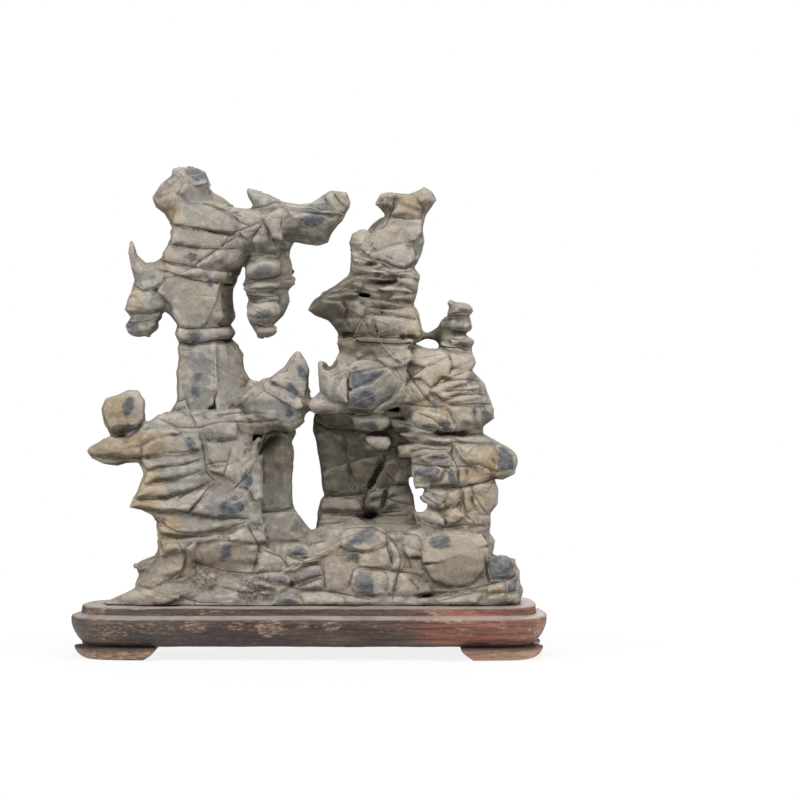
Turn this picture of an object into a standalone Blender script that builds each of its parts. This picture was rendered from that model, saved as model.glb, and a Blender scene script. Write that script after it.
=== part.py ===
"""A scholars rock standing in the socket of its carved wooden stand.

The rock is one solid. It grows from overlapping masses, each given by the outline that it
shows from the front and by its reach in depth, and its surface is then weathered. The
stand is a carved tray on four separate bracket feet. Lengths are in millimetres until an
object is made, and objects are in metres with +Z up. The stand rests on Z = 0, its middle
is at the origin, and the front of the rock faces -Y.
"""

import math
from dataclasses import dataclass

import bmesh
import bpy
from mathutils import Matrix

MM = 0.001
FIT_GAP = 0.3
ROCK_CLEARANCE = 0.7

# Stand
STAND_TOP = 12.7
LEDGE_EDGE = 0.5
SOCKET_FLOOR = 9.2
STAND_CURVE_STEPS = 3
# The widest outline in plan, from the front left corner round by the right
STAND_OUTLINE = (
    (-45.0, -24.6), (-36.0, -24.9), (36.0, -26.0), (44.0, -26.0), (52.4, -23.6), (56.6, -17.0),
    (58.2, -5.0), (58.2, 9.0), (56.8, 18.0), (52.5, 24.0), (44.0, 26.0), (18.0, 25.0), (-14.0, 22.0),
    (-38.0, 18.2), (-49.5, 14.2), (-56.0, 6.6), (-58.3, -3.0), (-57.4, -13.0), (-53.2, -21.2),
)
# Each step is an inset and the climb or drop that goes with it.
LEDGE_AND_RIM_STEPS = ((0.25, 0.30), (0.90, 0.35), (1.45, 0.25), (0.05, 1.75), (0.22, 0.20), (0.35, 0.08))
BAND_STEPS = ((0.15, 1.30), (0.50, 1.40), (0.75, 1.30), (0.90, 1.10), (0.80, 0.87))

# Feet
FOOT_EDGE = 0.4
FOOT_SETBACK = 0.85
FOOT_TOP_STEPS = ((0.60, 0.14), (0.90, 0.11), (0.70, 0.05))
FOOT_LOWER_STEPS = ((0.25, 0.70), (0.50, 0.80), (0.65, 0.50), (0.60, 0.30))
FOOT_INNER_TAPER = 2.6
# Where each foot ends towards the middle of the stand, as (x, y)
FOOT_ENDS = {
    "foot_front_left": (-36.6, -8.0),
    "foot_front_right": (36.8, -8.5),
    "foot_back_left": (-40.0, 2.0),
    "foot_back_right": (38.6, 9.0),
}

# The eye that the front outlines were read from
EYE_DISTANCE = 800.0
EYE_X = 22.2
EYE_HEIGHT = 62.7
OUTLINE_EYE_HEIGHT = 64.6

# Rock surface
GRAIN = 0.8
DEPTH_ROUNDING_PASSES = 30
DEPTH_ROUNDING_SHARE = 0.5
# Each of these is the size of a texture's features and how far it moves the surface.
SWELL_SIZE, SWELL_REACH = 15.0, 6.0
BLOCK_SIZE, BLOCK_REACH = 9.0, 3.2
LUMP_SIZE, LUMP_REACH = 4.0, 1.6
# The bedding's texture is as large as one unit of its guide, whose space is flat and tilted.
BEDDING_SIZE, BEDDING_REACH = 1.0, 2.6
BEDDING_UNIT = (9.0, 9.0, 2.2)
BEDDING_TILT = (6.0, -7.0)
ROCK_TRIANGLES = 7200
CUT_REACH = 40.0

STONE_COLOUR = (0.32, 0.285, 0.24)
STAND_COLOUR = (0.105, 0.072, 0.066)
FOOT_COLOUR = (0.16, 0.105, 0.085)


@dataclass(frozen=True)
class Mass:
    """A block of the rock: its reach in depth, then its front outline as (x, height)."""

    name: str
    front: float
    back: float
    outline: tuple


@dataclass(frozen=True)
class Lump:
    """A rounded swelling or, as a cutter, a rounded pit: its middle, then its three radii."""

    middle: tuple
    radii: tuple


MASSES = (
    Mass("crown", -8.0, 9.0, (
        (-34.2, 122.0), (-32.3, 122.4), (-28.0, 122.3), (-25.8, 121.0), (-24.6, 118.1), (-25.1, 115.3),
        (-24.1, 114.1), (-20.4, 112.5), (-14.7, 111.9), (-12.0, 110.4), (-11.5, 104.2), (-15.9, 98.8),
        (-17.9, 95.5), (-27.3, 93.1), (-36.0, 96.8), (-36.7, 101.0), (-34.7, 104.0), (-34.2, 107.4),
        (-36.0, 110.6), (-38.4, 112.4), (-39.2, 114.9), (-37.0, 118.1), (-34.5, 120.3))),
    Mass("trunk", -9.5, 11.0, (
        (-36.0, 98.8), (-27.3, 100.5), (-17.4, 98.8), (-18.1, 94.1), (-19.1, 91.8), (-18.9, 87.4),
        (-18.6, 85.1), (-20.1, 83.2), (-18.4, 81.2), (-19.6, 79.8), (-17.9, 78.2), (-16.7, 75.5),
        (-16.2, 72.3), (-14.9, 69.8), (-12.9, 68.6), (-13.7, 59.7), (-32.3, 58.4), (-34.5, 61.6),
        (-33.0, 64.6), (-33.2, 71.5), (-32.5, 75.0), (-33.0, 77.7), (-32.5, 78.7), (-33.5, 80.9),
        (-33.0, 83.2), (-34.7, 85.6), (-36.5, 86.9), (-37.2, 91.8))),
    Mass("hanging_lobe", -7.0, 4.0, (
        (-43.9, 104.0), (-42.6, 100.5), (-40.7, 98.5), (-38.4, 98.8), (-36.5, 100.2), (-32.7, 96.8),
        (-31.0, 91.8), (-33.5, 87.4), (-36.5, 86.6), (-36.7, 84.9), (-38.4, 83.2), (-39.7, 80.0),
        (-41.9, 80.7), (-44.4, 80.9), (-45.9, 82.9), (-44.4, 85.1), (-46.1, 87.1), (-44.6, 90.8),
        (-43.6, 94.3), (-44.6, 98.3), (-45.1, 101.2), (-44.6, 104.2))),
    Mass("perched_boulder", -11.0, 1.0, (
        (-50.8, 65.0), (-48.1, 65.8), (-45.1, 67.2), (-42.4, 67.1), (-40.9, 64.4), (-40.9, 61.6),
        (-37.7, 61.1), (-34.7, 59.7), (-34.7, 53.5), (-44.6, 54.7), (-49.3, 55.7), (-50.8, 58.4),
        (-51.8, 62.1))),
    Mass("left_ledge", -13.0, 4.0, (
        (-50.8, 55.2), (-52.5, 54.2), (-55.0, 52.7), (-55.3, 51.7), (-54.0, 50.2), (-51.1, 48.8),
        (-47.8, 48.3), (-45.4, 49.1), (-42.6, 49.1), (-41.2, 47.3), (-37.2, 44.8), (-27.3, 44.8),
        (-24.8, 57.2), (-33.5, 61.6), (-36.5, 60.6), (-39.7, 59.4), (-41.4, 59.4), (-43.1, 56.9),
        (-46.4, 55.4), (-49.3, 55.7))),
    Mass("skirt", -15.0, 5.0, (
        (-37.2, 61.4), (-34.2, 61.9), (-27.3, 63.4), (-17.4, 64.6), (-13.7, 58.4), (-14.9, 52.2),
        (-12.0, 47.3), (-12.0, 34.9), (-13.7, 28.7), (-27.3, 24.0), (-37.2, 25.7), (-37.0, 28.5),
        (-37.9, 30.7), (-38.2, 33.9), (-39.2, 35.9), (-41.9, 37.4), (-44.6, 38.1), (-44.1, 39.9),
        (-42.4, 43.3), (-41.4, 46.0), (-41.7, 48.5), (-40.9, 54.7), (-39.7, 59.2))),
    Mass("back_pillar", -5.5, 12.0, (
        (-14.9, 64.6), (-2.6, 64.6), (-1.6, 59.4), (-3.8, 57.7), (-3.5, 56.2), (-4.5, 54.2),
        (-4.0, 51.7), (-4.5, 44.3), (-4.2, 39.1), (-3.5, 36.6), (-1.1, 33.2), (0.4, 32.1),
        (1.9, 28.7), (-14.9, 25.0), (-17.4, 39.9))),
    Mass("inner_lobe", -11.0, 5.0, (
        (-12.7, 69.1), (-11.5, 70.0), (-10.0, 70.2), (-7.7, 72.0), (-6.3, 73.0), (-5.0, 75.0),
        (-3.5, 76.7), (-2.5, 76.5), (-1.1, 74.3), (-0.3, 72.0), (-0.4, 68.3), (0.3, 64.6),
        (0.2, 62.4), (-1.2, 61.1), (-1.6, 59.4), (-3.0, 57.9), (-5.0, 56.7), (-12.0, 57.7),
        (-16.2, 59.7), (-17.4, 65.8), (-14.9, 69.6))),
    Mass("arm", -7.0, 5.5, (
        (-15.4, 117.1), (-12.9, 116.3), (-10.5, 115.3), (-6.5, 113.6), (-2.5, 113.1), (0.4, 113.4),
        (2.4, 114.9), (4.9, 116.5), (7.1, 116.2), (9.1, 116.1), (10.0, 113.6), (9.8, 112.4),
        (7.8, 108.9), (5.4, 105.9), (4.4, 103.5), (1.9, 102.7), (-1.3, 103.2), (-4.0, 103.7),
        (-5.3, 101.2), (-8.7, 98.8), (-13.7, 98.8), (-17.4, 100.5), (-17.4, 110.4), (-14.7, 111.9),
        (-14.2, 112.9), (-15.4, 114.9), (-15.8, 116.3))),
    Mass("pendant", -8.5, 3.0, (
        (-5.3, 101.0), (-4.5, 97.8), (-4.5, 95.5), (-3.5, 94.8), (-3.9, 93.3), (-5.5, 91.6),
        (-5.0, 88.9), (-6.5, 85.4), (-7.7, 84.4), (-9.0, 83.2), (-8.7, 81.7), (-11.5, 80.9),
        (-11.5, 79.7), (-13.2, 80.0), (-13.2, 80.9), (-15.2, 83.7), (-15.8, 87.9), (-15.4, 89.4),
        (-15.9, 91.6), (-16.9, 93.1), (-16.2, 94.6), (-16.2, 98.0), (-14.9, 100.5), (-12.0, 103.0),
        (-6.3, 103.0))),
    Mass("right_head", -7.0, 6.0, (
        (15.8, 113.1), (17.3, 115.8), (19.7, 116.2), (24.4, 115.5), (26.9, 116.6), (28.1, 117.6),
        (29.9, 116.6), (31.4, 114.1), (29.9, 112.1), (28.4, 109.7), (27.9, 106.7), (28.3, 103.7),
        (27.3, 100.5), (25.0, 97.0), (12.0, 97.0), (10.3, 101.2), (9.5, 103.5), (10.3, 105.7),
        (12.5, 106.7), (15.5, 106.2), (18.0, 109.2), (18.5, 110.6), (17.0, 112.1))),
    Mass("right_neck", -9.5, 8.0, (
        (10.3, 101.2), (27.3, 100.5), (25.8, 97.3), (27.3, 95.5), (26.7, 92.3), (25.4, 88.6),
        (26.9, 86.1), (27.6, 82.4), (27.2, 77.5), (8.6, 77.5), (9.0, 90.0), (9.8, 95.8),
        (10.0, 99.3))),
    Mass("wing", -11.5, 2.0, (
        (9.8, 95.8), (8.6, 95.0), (6.6, 93.3), (4.1, 91.6), (0.9, 89.4), (-0.8, 86.9),
        (1.2, 85.4), (4.4, 84.2), (6.6, 81.7), (7.0, 80.9), (6.6, 80.0), (8.6, 77.0),
        (16.0, 78.2), (18.5, 89.4), (14.8, 95.5))),
    Mass("overhang", -14.5, 7.0, (
        (1.9, 73.8), (2.4, 74.4), (3.9, 74.0), (4.9, 72.8), (6.1, 74.5), (7.1, 76.5), (6.6, 79.0),
        (9.8, 80.7), (22.2, 80.7), (24.2, 78.2), (23.4, 63.4), (15.3, 61.1), (9.8, 61.4),
        (1.9, 61.1), (0.4, 61.6), (-0.7, 63.4), (0.4, 65.1), (2.2, 66.8), (2.0, 69.6))),
    Mass("saddle", -4.0, 5.0, (
        (25.2, 83.2), (28.9, 81.2), (32.1, 82.9), (34.6, 80.7), (33.3, 78.2), (31.1, 79.2),
        (28.9, 79.6), (26.9, 79.0), (25.2, 78.2), (24.2, 80.7))),
    Mass("pinnacle", -6.0, 4.0, (
        (32.1, 83.9), (33.6, 85.1), (35.1, 86.1), (33.8, 88.6), (34.8, 89.7), (35.8, 88.9),
        (37.3, 88.9), (39.0, 88.4), (40.5, 86.9), (39.3, 85.4), (40.0, 83.7), (38.5, 80.9),
        (40.3, 78.7), (39.5, 74.5), (32.1, 74.5), (31.6, 80.7))),
    Mass("shoulder", -12.0, 8.0, (
        (23.2, 77.5), (26.9, 78.0), (29.1, 77.5), (31.1, 77.4), (35.8, 78.5), (39.5, 77.0),
        (40.8, 75.2), (41.0, 73.8), (40.0, 72.0), (41.8, 70.0), (43.2, 68.8), (44.2, 65.6),
        (45.5, 62.1), (45.7, 60.1), (43.2, 58.2), (42.5, 57.2), (34.6, 54.7), (24.7, 54.7),
        (22.2, 62.1))),
    Mass("recessed_wall", -5.0, 11.0, (
        (1.9, 63.0), (0.9, 60.1), (0.7, 57.2), (1.7, 52.7), (2.4, 48.5), (2.9, 43.3), (3.4, 41.1),
        (2.4, 39.9), (1.8, 36.9), (1.5, 32.9), (1.9, 27.0), (29.6, 27.0), (27.2, 38.6),
        (25.4, 42.3), (24.9, 45.3), (28.4, 62.1))),
    Mass("right_leg", -12.0, 6.0, (
        (24.7, 58.4), (42.5, 57.7), (43.0, 56.2), (46.2, 54.5), (48.7, 53.0), (50.7, 50.2),
        (50.8, 46.3), (47.7, 44.9), (45.7, 45.0), (46.5, 41.8), (46.5, 38.9), (44.5, 36.3),
        (44.7, 34.9), (44.5, 31.7), (45.8, 29.7), (44.7, 26.0), (27.2, 26.0), (25.2, 43.1))),
    Mass("base", -15.0, 14.0, (
        (-12.0, 34.9), (-3.5, 36.9), (-1.6, 33.9), (0.4, 32.1), (1.7, 32.9), (6.1, 34.9),
        (24.7, 34.9), (34.6, 32.4), (45.0, 28.7), (45.2, 26.2), (47.2, 26.2), (48.9, 25.5),
        (50.9, 25.5), (50.7, 24.3), (51.9, 22.3), (51.9, 20.0), (52.4, 17.6), (52.2, 15.1),
        (50.0, 9.0), (-49.0, 9.0), (-50.8, 14.4), (-48.3, 15.8), (-45.1, 16.8), (-43.4, 18.1),
        (-42.4, 21.3), (-43.6, 23.9), (-41.7, 25.0), (-38.2, 26.2), (-27.3, 28.7), (-17.4, 30.0))),
)

LUMPS = (
    Lump((15.0, -8.5, 59.2), (4.6, 4.0, 2.1)),
    Lump((16.5, -6.5, 53.7), (2.6, 3.0, 1.8)),
    Lump((6.1, -5.0, 51.0), (4.3, 4.0, 6.5)),
    Lump((21.0, -5.5, 47.5), (4.5, 4.5, 8.0)),
    Lump((8.6, -6.0, 38.6), (6.0, 5.0, 5.2)),
    Lump((37.1, -10.5, 22.0), (6.8, 5.0, 5.5)),
    Lump((25.9, -10.5, 25.0), (6.5, 4.5, 5.2)),
    Lump((13.5, -10.5, 22.5), (8.0, 4.5, 7.5)),
    Lump((1.5, -10.0, 21.3), (6.8, 4.5, 6.5)),
    Lump((-9.0, -10.5, 22.5), (7.0, 4.5, 6.8)),
    Lump((-20.5, -10.5, 22.5), (8.0, 4.5, 6.0)),
    Lump((46.6, -8.0, 19.6), (4.8, 5.5, 6.0)),
    Lump((-38.0, -8.0, 17.6), (11.0, 6.5, 4.0)),
    Lump((-18.4, -13.0, 38.4), (5.0, 3.5, 2.6)),
    Lump((-25.0, 8.0, 32.0), (9.0, 5.0, 10.0)),
    Lump((-26.0, 9.0, 72.0), (6.0, 4.5, 9.0)),
    Lump((18.0, 8.0, 30.0), (10.0, 5.5, 8.0)),
    Lump((34.0, 6.5, 66.0), (7.0, 4.5, 7.0)),
    Lump((19.0, 6.5, 88.0), (6.0, 4.0, 8.0)),
)

PITS = (
    Lump((-19.2, -11.0, 96.3), (1.8, 6.0, 1.2)),
    Lump((-10.0, -13.0, 54.6), (2.2, 8.0, 3.0)),
    Lump((14.6, -12.0, 36.0), (3.0, 7.0, 2.0)),
    Lump((15.0, -9.0, 44.0), (1.2, 5.0, 5.0)),
    Lump((28.3, -16.5, 16.2), (4.2, 6.0, 1.2)),
    Lump((35.0, -13.0, 56.2), (5.0, 5.0, 0.9)),
    Lump((-13.4, -10.5, 90.3), (2.4, 4.0, 0.8)),
    Lump((-4.5, -15.0, 19.3), (1.0, 4.0, 1.6)),
)

HOLES = {
    "saddle_hole": ((25.6, 78.6), (27.4, 79.4), (28.9, 79.9), (30.6, 79.5), (31.0, 79.0), (31.8, 78.0),
                    (30.0, 77.7), (27.0, 78.1)),
    "leg_hole": ((24.6, 45.5), (25.4, 45.5), (26.0, 42.6), (29.0, 42.7), (28.2, 41.8), (27.2, 40.5),
                 (29.0, 38.8), (28.4, 37.1), (26.2, 36.9), (25.4, 41.0), (24.4, 43.6)),
}

# Shelves and ribs that stand out from the masses, from a depth of SHELF_BACK to their own front
SHELF_BACK = -4.0
SHELVES = (
    (-17.2, ((-42.0, 48.5), (-27.0, 51.5), (-15.0, 50.0), (-15.0, 46.5), (-28.0, 47.5), (-41.0, 45.0))),
    (-17.6, ((-42.5, 41.5), (-28.0, 43.5), (-17.0, 45.0), (-16.0, 41.0), (-27.0, 39.0), (-43.5, 38.6))),
    (-17.0, ((-37.5, 34.5), (-25.0, 35.5), (-13.0, 35.5), (-13.0, 31.0), (-25.0, 30.5), (-37.0, 30.0))),
    (-16.8, ((-36.0, 59.5), (-26.0, 62.0), (-15.0, 59.0), (-15.0, 54.5), (-26.0, 56.0), (-38.0, 55.0))),
    (-17.0, ((1.5, 65.0), (12.0, 66.5), (23.0, 65.5), (22.5, 61.8), (12.0, 61.2), (1.5, 61.4))),
    (-16.4, ((3.0, 73.0), (12.0, 75.5), (22.0, 74.0), (22.0, 70.5), (12.0, 71.0), (3.0, 69.5))),
    (-14.4, ((25.0, 66.5), (43.5, 66.5), (45.0, 61.0), (40.0, 58.8), (25.0, 60.5))),
    (-14.2, ((28.0, 76.0), (39.0, 75.5), (39.5, 72.5), (28.0, 71.5))),
    (-14.6, ((28.5, 50.5), (49.5, 51.0), (49.8, 46.6), (45.0, 45.6), (28.5, 46.0))),
    (-14.6, ((29.5, 41.5), (45.5, 42.0), (45.5, 38.0), (30.0, 37.0))),
    (-11.8, ((-34.5, 87.0), (-29.0, 88.5), (-21.0, 86.5), (-20.5, 83.4), (-28.0, 82.0), (-32.5, 83.4))),
    (-11.4, ((-32.0, 79.5), (-20.0, 79.0), (-18.5, 74.5), (-32.0, 74.0))),
    (-10.2, ((-37.0, 112.0), (-25.0, 111.5), (-15.0, 109.5), (-13.0, 106.0), (-25.0, 107.0), (-35.0, 109.0))),
    (-11.6, ((11.0, 92.5), (26.0, 93.5), (25.5, 89.5), (10.5, 88.0))),
    (-11.2, ((10.5, 99.5), (26.0, 100.0), (25.5, 96.8), (10.5, 96.2))),
)

# The foot of the rock in plan, where it sinks into the stand
PLUG_OUTLINE = (
    (-49.0, -4.0), (-47.0, -9.0), (-41.0, -12.6), (-30.0, -13.8), (-12.0, -12.8), (5.0, -13.6),
    (22.0, -13.0), (38.0, -14.4), (46.0, -13.6), (49.4, -8.0), (50.4, 0.0), (48.6, 8.0),
    (40.0, 12.4), (20.0, 13.4), (0.0, 12.6), (-20.0, 11.4), (-36.0, 7.6), (-46.0, 3.0),
)
# The socket that takes it, with open corners at the left end and at the front right
SOCKET_OUTLINE = (
    (-51.2, -5.0), (-49.0, -10.4), (-42.0, -13.4), (-30.0, -14.5), (-12.0, -13.5), (5.0, -14.3),
    (22.0, -13.7), (38.0, -15.1), (47.6, -14.9), (51.6, -10.5), (51.4, 0.2), (49.5, 8.6),
    (40.4, 13.1), (20.0, 14.1), (0.0, 13.3), (-20.2, 12.1), (-36.5, 8.3), (-47.4, 3.4),
)


def clear_scene():
    """Empties the file of the objects that it opened with."""
    for item in list(bpy.data.objects):
        bpy.data.objects.remove(item, do_unlink=True)


def new_collection(name):
    """Adds a collection to the scene."""
    group = bpy.data.collections.new(name)
    bpy.context.scene.collection.children.link(group)
    return group


def plain_material(name, colour, roughness):
    """Makes a material with one Principled BSDF."""
    material = bpy.data.materials.new(name)
    material.use_nodes = True
    shader = material.node_tree.nodes["Principled BSDF"]
    shader.inputs["Base Color"].default_value = (*colour, 1.0)
    shader.inputs["Roughness"].default_value = roughness
    shader.inputs["Metallic"].default_value = 0.0
    return material


def true_place(x, depth, height):
    """Turns a point as the eye reads it on the middle plane into its real place at a depth."""
    nearness = (EYE_DISTANCE + depth) / EYE_DISTANCE
    return (EYE_X + (x - EYE_X) * nearness, depth, EYE_HEIGHT + (height - OUTLINE_EYE_HEIGHT) * nearness)


def shell_of(start, seen):
    """Collects the vertices that edges join to a starting vertex."""
    seen.add(start)
    shell = [start]
    for vert in shell:
        for line in vert.link_edges:
            other = line.other_vert(vert)
            if other not in seen:
                seen.add(other)
                shell.append(other)
    return shell


def keep_largest_shell(body):
    """Removes every shell of a bmesh but the largest, such as a bubble left inside it."""
    seen = set()
    shells = [shell_of(vert, seen) for vert in body.verts if vert not in seen]
    shells.sort(key=len)
    for shell in shells[:-1]:
        bmesh.ops.delete(body, geom=shell, context="VERTS")


def finished_mesh(item, name):
    """Takes an object as it evaluates and returns one welded shell in world space."""
    bpy.context.view_layer.update()
    graph = bpy.context.evaluated_depsgraph_get()
    mesh = bpy.data.meshes.new_from_object(item.evaluated_get(graph))
    mesh.name = name
    mesh.transform(item.matrix_world)
    body = bmesh.new()
    body.from_mesh(mesh)
    bmesh.ops.remove_doubles(body, verts=body.verts, dist=0.001 * MM)
    keep_largest_shell(body)
    bmesh.ops.recalc_face_normals(body, faces=body.faces)
    body.to_mesh(mesh)
    body.free()
    return mesh


def add_spline(curve, outline, smooth):
    """Adds a closed outline to a curve, with straight sides or smoothly through its points."""
    if smooth:
        spline = curve.splines.new("BEZIER")
        spline.bezier_points.add(len(outline) - 1)
        for knot, (across, along) in zip(spline.bezier_points, outline):
            knot.co = (across * MM, along * MM, 0.0)
            knot.handle_left_type = "AUTO"
            knot.handle_right_type = "AUTO"
        curve.resolution_u = STAND_CURVE_STEPS
    else:
        spline = curve.splines.new("POLY")
        spline.points.add(len(outline) - 1)
        for knot, (across, along) in zip(spline.points, outline):
            knot.co = (across * MM, along * MM, 0.0, 1.0)
    spline.use_cyclic_u = True


def prism(name, outline, low, high, upright, smooth=False):
    """Extrudes a closed outline from low to high.

    An upright prism runs along Z from an outline in plan. Any other runs along Y from an
    outline in the XZ plane.
    """
    curve = bpy.data.curves.new(name, "CURVE")
    curve.dimensions = "2D"
    curve.fill_mode = "BOTH"
    curve.extrude = (high - low) / 2 * MM
    add_spline(curve, outline, smooth)
    item = bpy.data.objects.new(name, curve)
    bpy.context.scene.collection.objects.link(item)
    middle = (low + high) / 2 * MM
    if upright:
        item.location = (0.0, 0.0, middle)
    else:
        item.location = (0.0, middle, 0.0)
        item.rotation_euler = (math.pi / 2, 0.0, 0.0)
    mesh = finished_mesh(item, name)
    bpy.data.objects.remove(item)
    bpy.data.curves.remove(curve)
    return mesh


def mass_mesh(mass):
    """Makes one mass of the rock, drawn smaller the nearer it stands."""
    middle = (mass.front + mass.back) / 2
    outline = []
    for x, height in mass.outline:
        place = true_place(x, middle, height)
        outline.append((place[0], place[2]))
    return prism(mass.name, outline, mass.front, mass.back, upright=False)


def add_lump(body, lump):
    """Adds an ellipsoid to a bmesh."""
    stretch = Matrix.Diagonal((*[radius * MM for radius in lump.radii], 1.0))
    middle = [value * MM for value in true_place(*lump.middle)]
    bmesh.ops.create_icosphere(body, subdivisions=3, radius=1.0, matrix=Matrix.Translation(middle) @ stretch)


def shelf_mesh(index, front, outline):
    """Makes one shelf of the rock's face."""
    return mass_mesh(Mass(f"shelf_{index}", front, SHELF_BACK, outline))


def object_from_parts(name, meshes, lumps, group):
    """Joins meshes and ellipsoids in one object, each still a body of its own."""
    body = bmesh.new()
    for mesh in meshes:
        body.from_mesh(mesh)
        bpy.data.meshes.remove(mesh)
    for lump in lumps:
        add_lump(body, lump)
    joined = bpy.data.meshes.new(name)
    body.to_mesh(joined)
    body.free()
    item = bpy.data.objects.new(name, joined)
    group.objects.link(item)
    return item


def as_cutter(item):
    """Marks an object as a cutter."""
    item.hide_render = True
    item.display_type = "WIRE"
    return item


def cut(item, cutter):
    """Subtracts a cutter from an object."""
    boolean = item.modifiers.new("cut by " + cutter.name, "BOOLEAN")
    boolean.operation = "DIFFERENCE"
    boolean.solver = "EXACT"
    boolean.object = cutter


def cloud_texture(name, size, detail):
    """Makes a soft noise texture whose features are about size long."""
    texture = bpy.data.textures.new(name, "CLOUDS")
    texture.noise_scale = size
    texture.noise_depth = detail
    return texture


def block_texture(name, size):
    """Makes a texture of rounded blocks with creases between them, about size apart."""
    texture = bpy.data.textures.new(name, "VORONOI")
    texture.noise_scale = size
    texture.weight_1 = -1.0
    texture.weight_2 = 1.0
    return texture


def weather(item, name, texture, strength, direction="NORMAL", guide=None):
    """Moves a surface in and out by a texture, by half the strength each way."""
    displace = item.modifiers.new(name, "DISPLACE")
    displace.texture = texture
    displace.strength = strength * MM
    displace.mid_level = 0.5
    displace.direction = direction
    if guide:
        displace.texture_coords = "OBJECT"
        displace.texture_coords_object = guide
    else:
        displace.texture_coords = "LOCAL"


def bedding_guide(group):
    """Adds the empty whose flattened, tilted space gives the rock its bedding."""
    guide = bpy.data.objects.new("bedding_guide", None)
    guide.scale = [length * MM for length in BEDDING_UNIT]
    guide.rotation_euler = (*(math.radians(angle) for angle in BEDDING_TILT), 0.0)
    group.objects.link(guide)
    return guide


def add_voxel_remesh(item, name):
    """Fuses everything in an object into one evenly grained skin."""
    remesh = item.modifiers.new(name, "REMESH")
    remesh.mode = "VOXEL"
    remesh.voxel_size = GRAIN * MM


def rough_rock(group, cutters):
    """Grows the masses and lumps into one weathered body, holed, pitted and trimmed."""
    bodies = [mass_mesh(mass) for mass in MASSES]
    bodies += [shelf_mesh(index, front, outline) for index, (front, outline) in enumerate(SHELVES)]
    rock = object_from_parts("rough_rock", bodies, LUMPS, group)
    add_voxel_remesh(rock, "fuse")
    rounding = rock.modifiers.new("round in depth", "SMOOTH")
    rounding.use_x = False
    rounding.use_z = False
    rounding.factor = DEPTH_ROUNDING_SHARE
    rounding.iterations = DEPTH_ROUNDING_PASSES
    weather(rock, "swells", cloud_texture("swells", SWELL_SIZE * MM, 1), SWELL_REACH, direction="Y")
    weather(rock, "blocks", block_texture("blocks", BLOCK_SIZE * MM), BLOCK_REACH, direction="Y")
    guide = bedding_guide(cutters)
    weather(rock, "bedding", cloud_texture("bedding", BEDDING_SIZE, 1), BEDDING_REACH, guide=guide)
    weather(rock, "lumps", cloud_texture("lumps", LUMP_SIZE * MM, 2), LUMP_REACH)
    add_voxel_remesh(rock, "heal")
    hole_meshes = [prism(name, outline, -CUT_REACH, CUT_REACH, upright=False) for name, outline in HOLES.items()]
    cut(rock, as_cutter(object_from_parts("holes_and_pits", hole_meshes, PITS, cutters)))
    add_voxel_remesh(rock, "soften the cuts")
    cut(rock, trimming_sleeve(cutters))
    return rock


def trimming_sleeve(cutters):
    """Makes the block that trims the rock to its foot, with room for the foot in it."""
    low = SOCKET_FLOOR + ROCK_CLEARANCE
    high = STAND_TOP + ROCK_CLEARANCE
    foot = prism("foot_room", PLUG_OUTLINE, low, high + CUT_REACH, upright=True)
    room = as_cutter(object_from_parts("foot_room", [foot], (), cutters))
    sleeve = as_cutter(block("trimming_sleeve", (-2 * CUT_REACH, -CUT_REACH, low - CUT_REACH),
                             (2 * CUT_REACH, CUT_REACH, high), cutters))
    cut(sleeve, room)
    return sleeve


def block(name, low, high, group, taper=(0.0, 0.0)):
    """Makes a box between two corners.

    A taper moves the lower end of each side that faces the middle of the stand away from
    the middle.
    """
    body = bmesh.new()
    bmesh.ops.create_cube(body, size=1.0)
    size = [(top - bottom) * MM for bottom, top in zip(low, high)]
    middle = [(top + bottom) / 2 * MM for bottom, top in zip(low, high)]
    bmesh.ops.transform(body, matrix=Matrix.Translation(middle) @ Matrix.Diagonal((*size, 1.0)), verts=body.verts)
    for vert in body.verts:
        if vert.co.z < middle[2]:
            for axis in (0, 1):
                outward = math.copysign(1.0, middle[axis])
                if (vert.co[axis] - middle[axis]) * outward < 0:
                    vert.co[axis] += outward * taper[axis] * MM
    mesh = bpy.data.meshes.new(name)
    body.to_mesh(mesh)
    body.free()
    item = bpy.data.objects.new(name, mesh)
    group.objects.link(item)
    return item


def make_stone(group, cutters):
    """Makes the rock with flat facets, trimmed where it sinks into the stand."""
    rough = rough_rock(group, cutters)
    mesh = finished_mesh(rough, "stone")
    bpy.data.objects.remove(rough)
    mesh.calc_loop_triangles()
    stone = bpy.data.objects.new("stone", mesh)
    group.objects.link(stone)
    facets = stone.modifiers.new("facets", "DECIMATE")
    facets.ratio = ROCK_TRIANGLES / len(mesh.loop_triangles)
    mesh.materials.append(plain_material("stone", STONE_COLOUR, 0.85))
    return stone


def moulded_slab(name, widest, edge, upper_steps, lower_steps):
    """Makes a slab in the stand's outline, stepped inward above and below its widest edge.

    Args:
        name: name of the mesh.
        widest: height of the bottom of the widest edge.
        edge: height of that upright edge.
        upper_steps: pairs of inset and climb above it.
        lower_steps: pairs of inset and drop below it.
    """
    mesh = prism(name, STAND_OUTLINE, widest, widest + edge, upright=True, smooth=True)
    body = bmesh.new()
    body.from_mesh(mesh)
    for facing, steps in ((1.0, upper_steps), (-1.0, lower_steps)):
        cap = [face for face in body.faces if face.normal.z * facing > 0.9]
        cap = bmesh.ops.dissolve_faces(body, faces=cap)["region"]
        for inset, reach in steps:
            bmesh.ops.inset_region(body, faces=cap, thickness=inset * MM, depth=reach * MM, use_even_offset=True)
    body.to_mesh(mesh)
    body.free()
    return mesh


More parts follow.
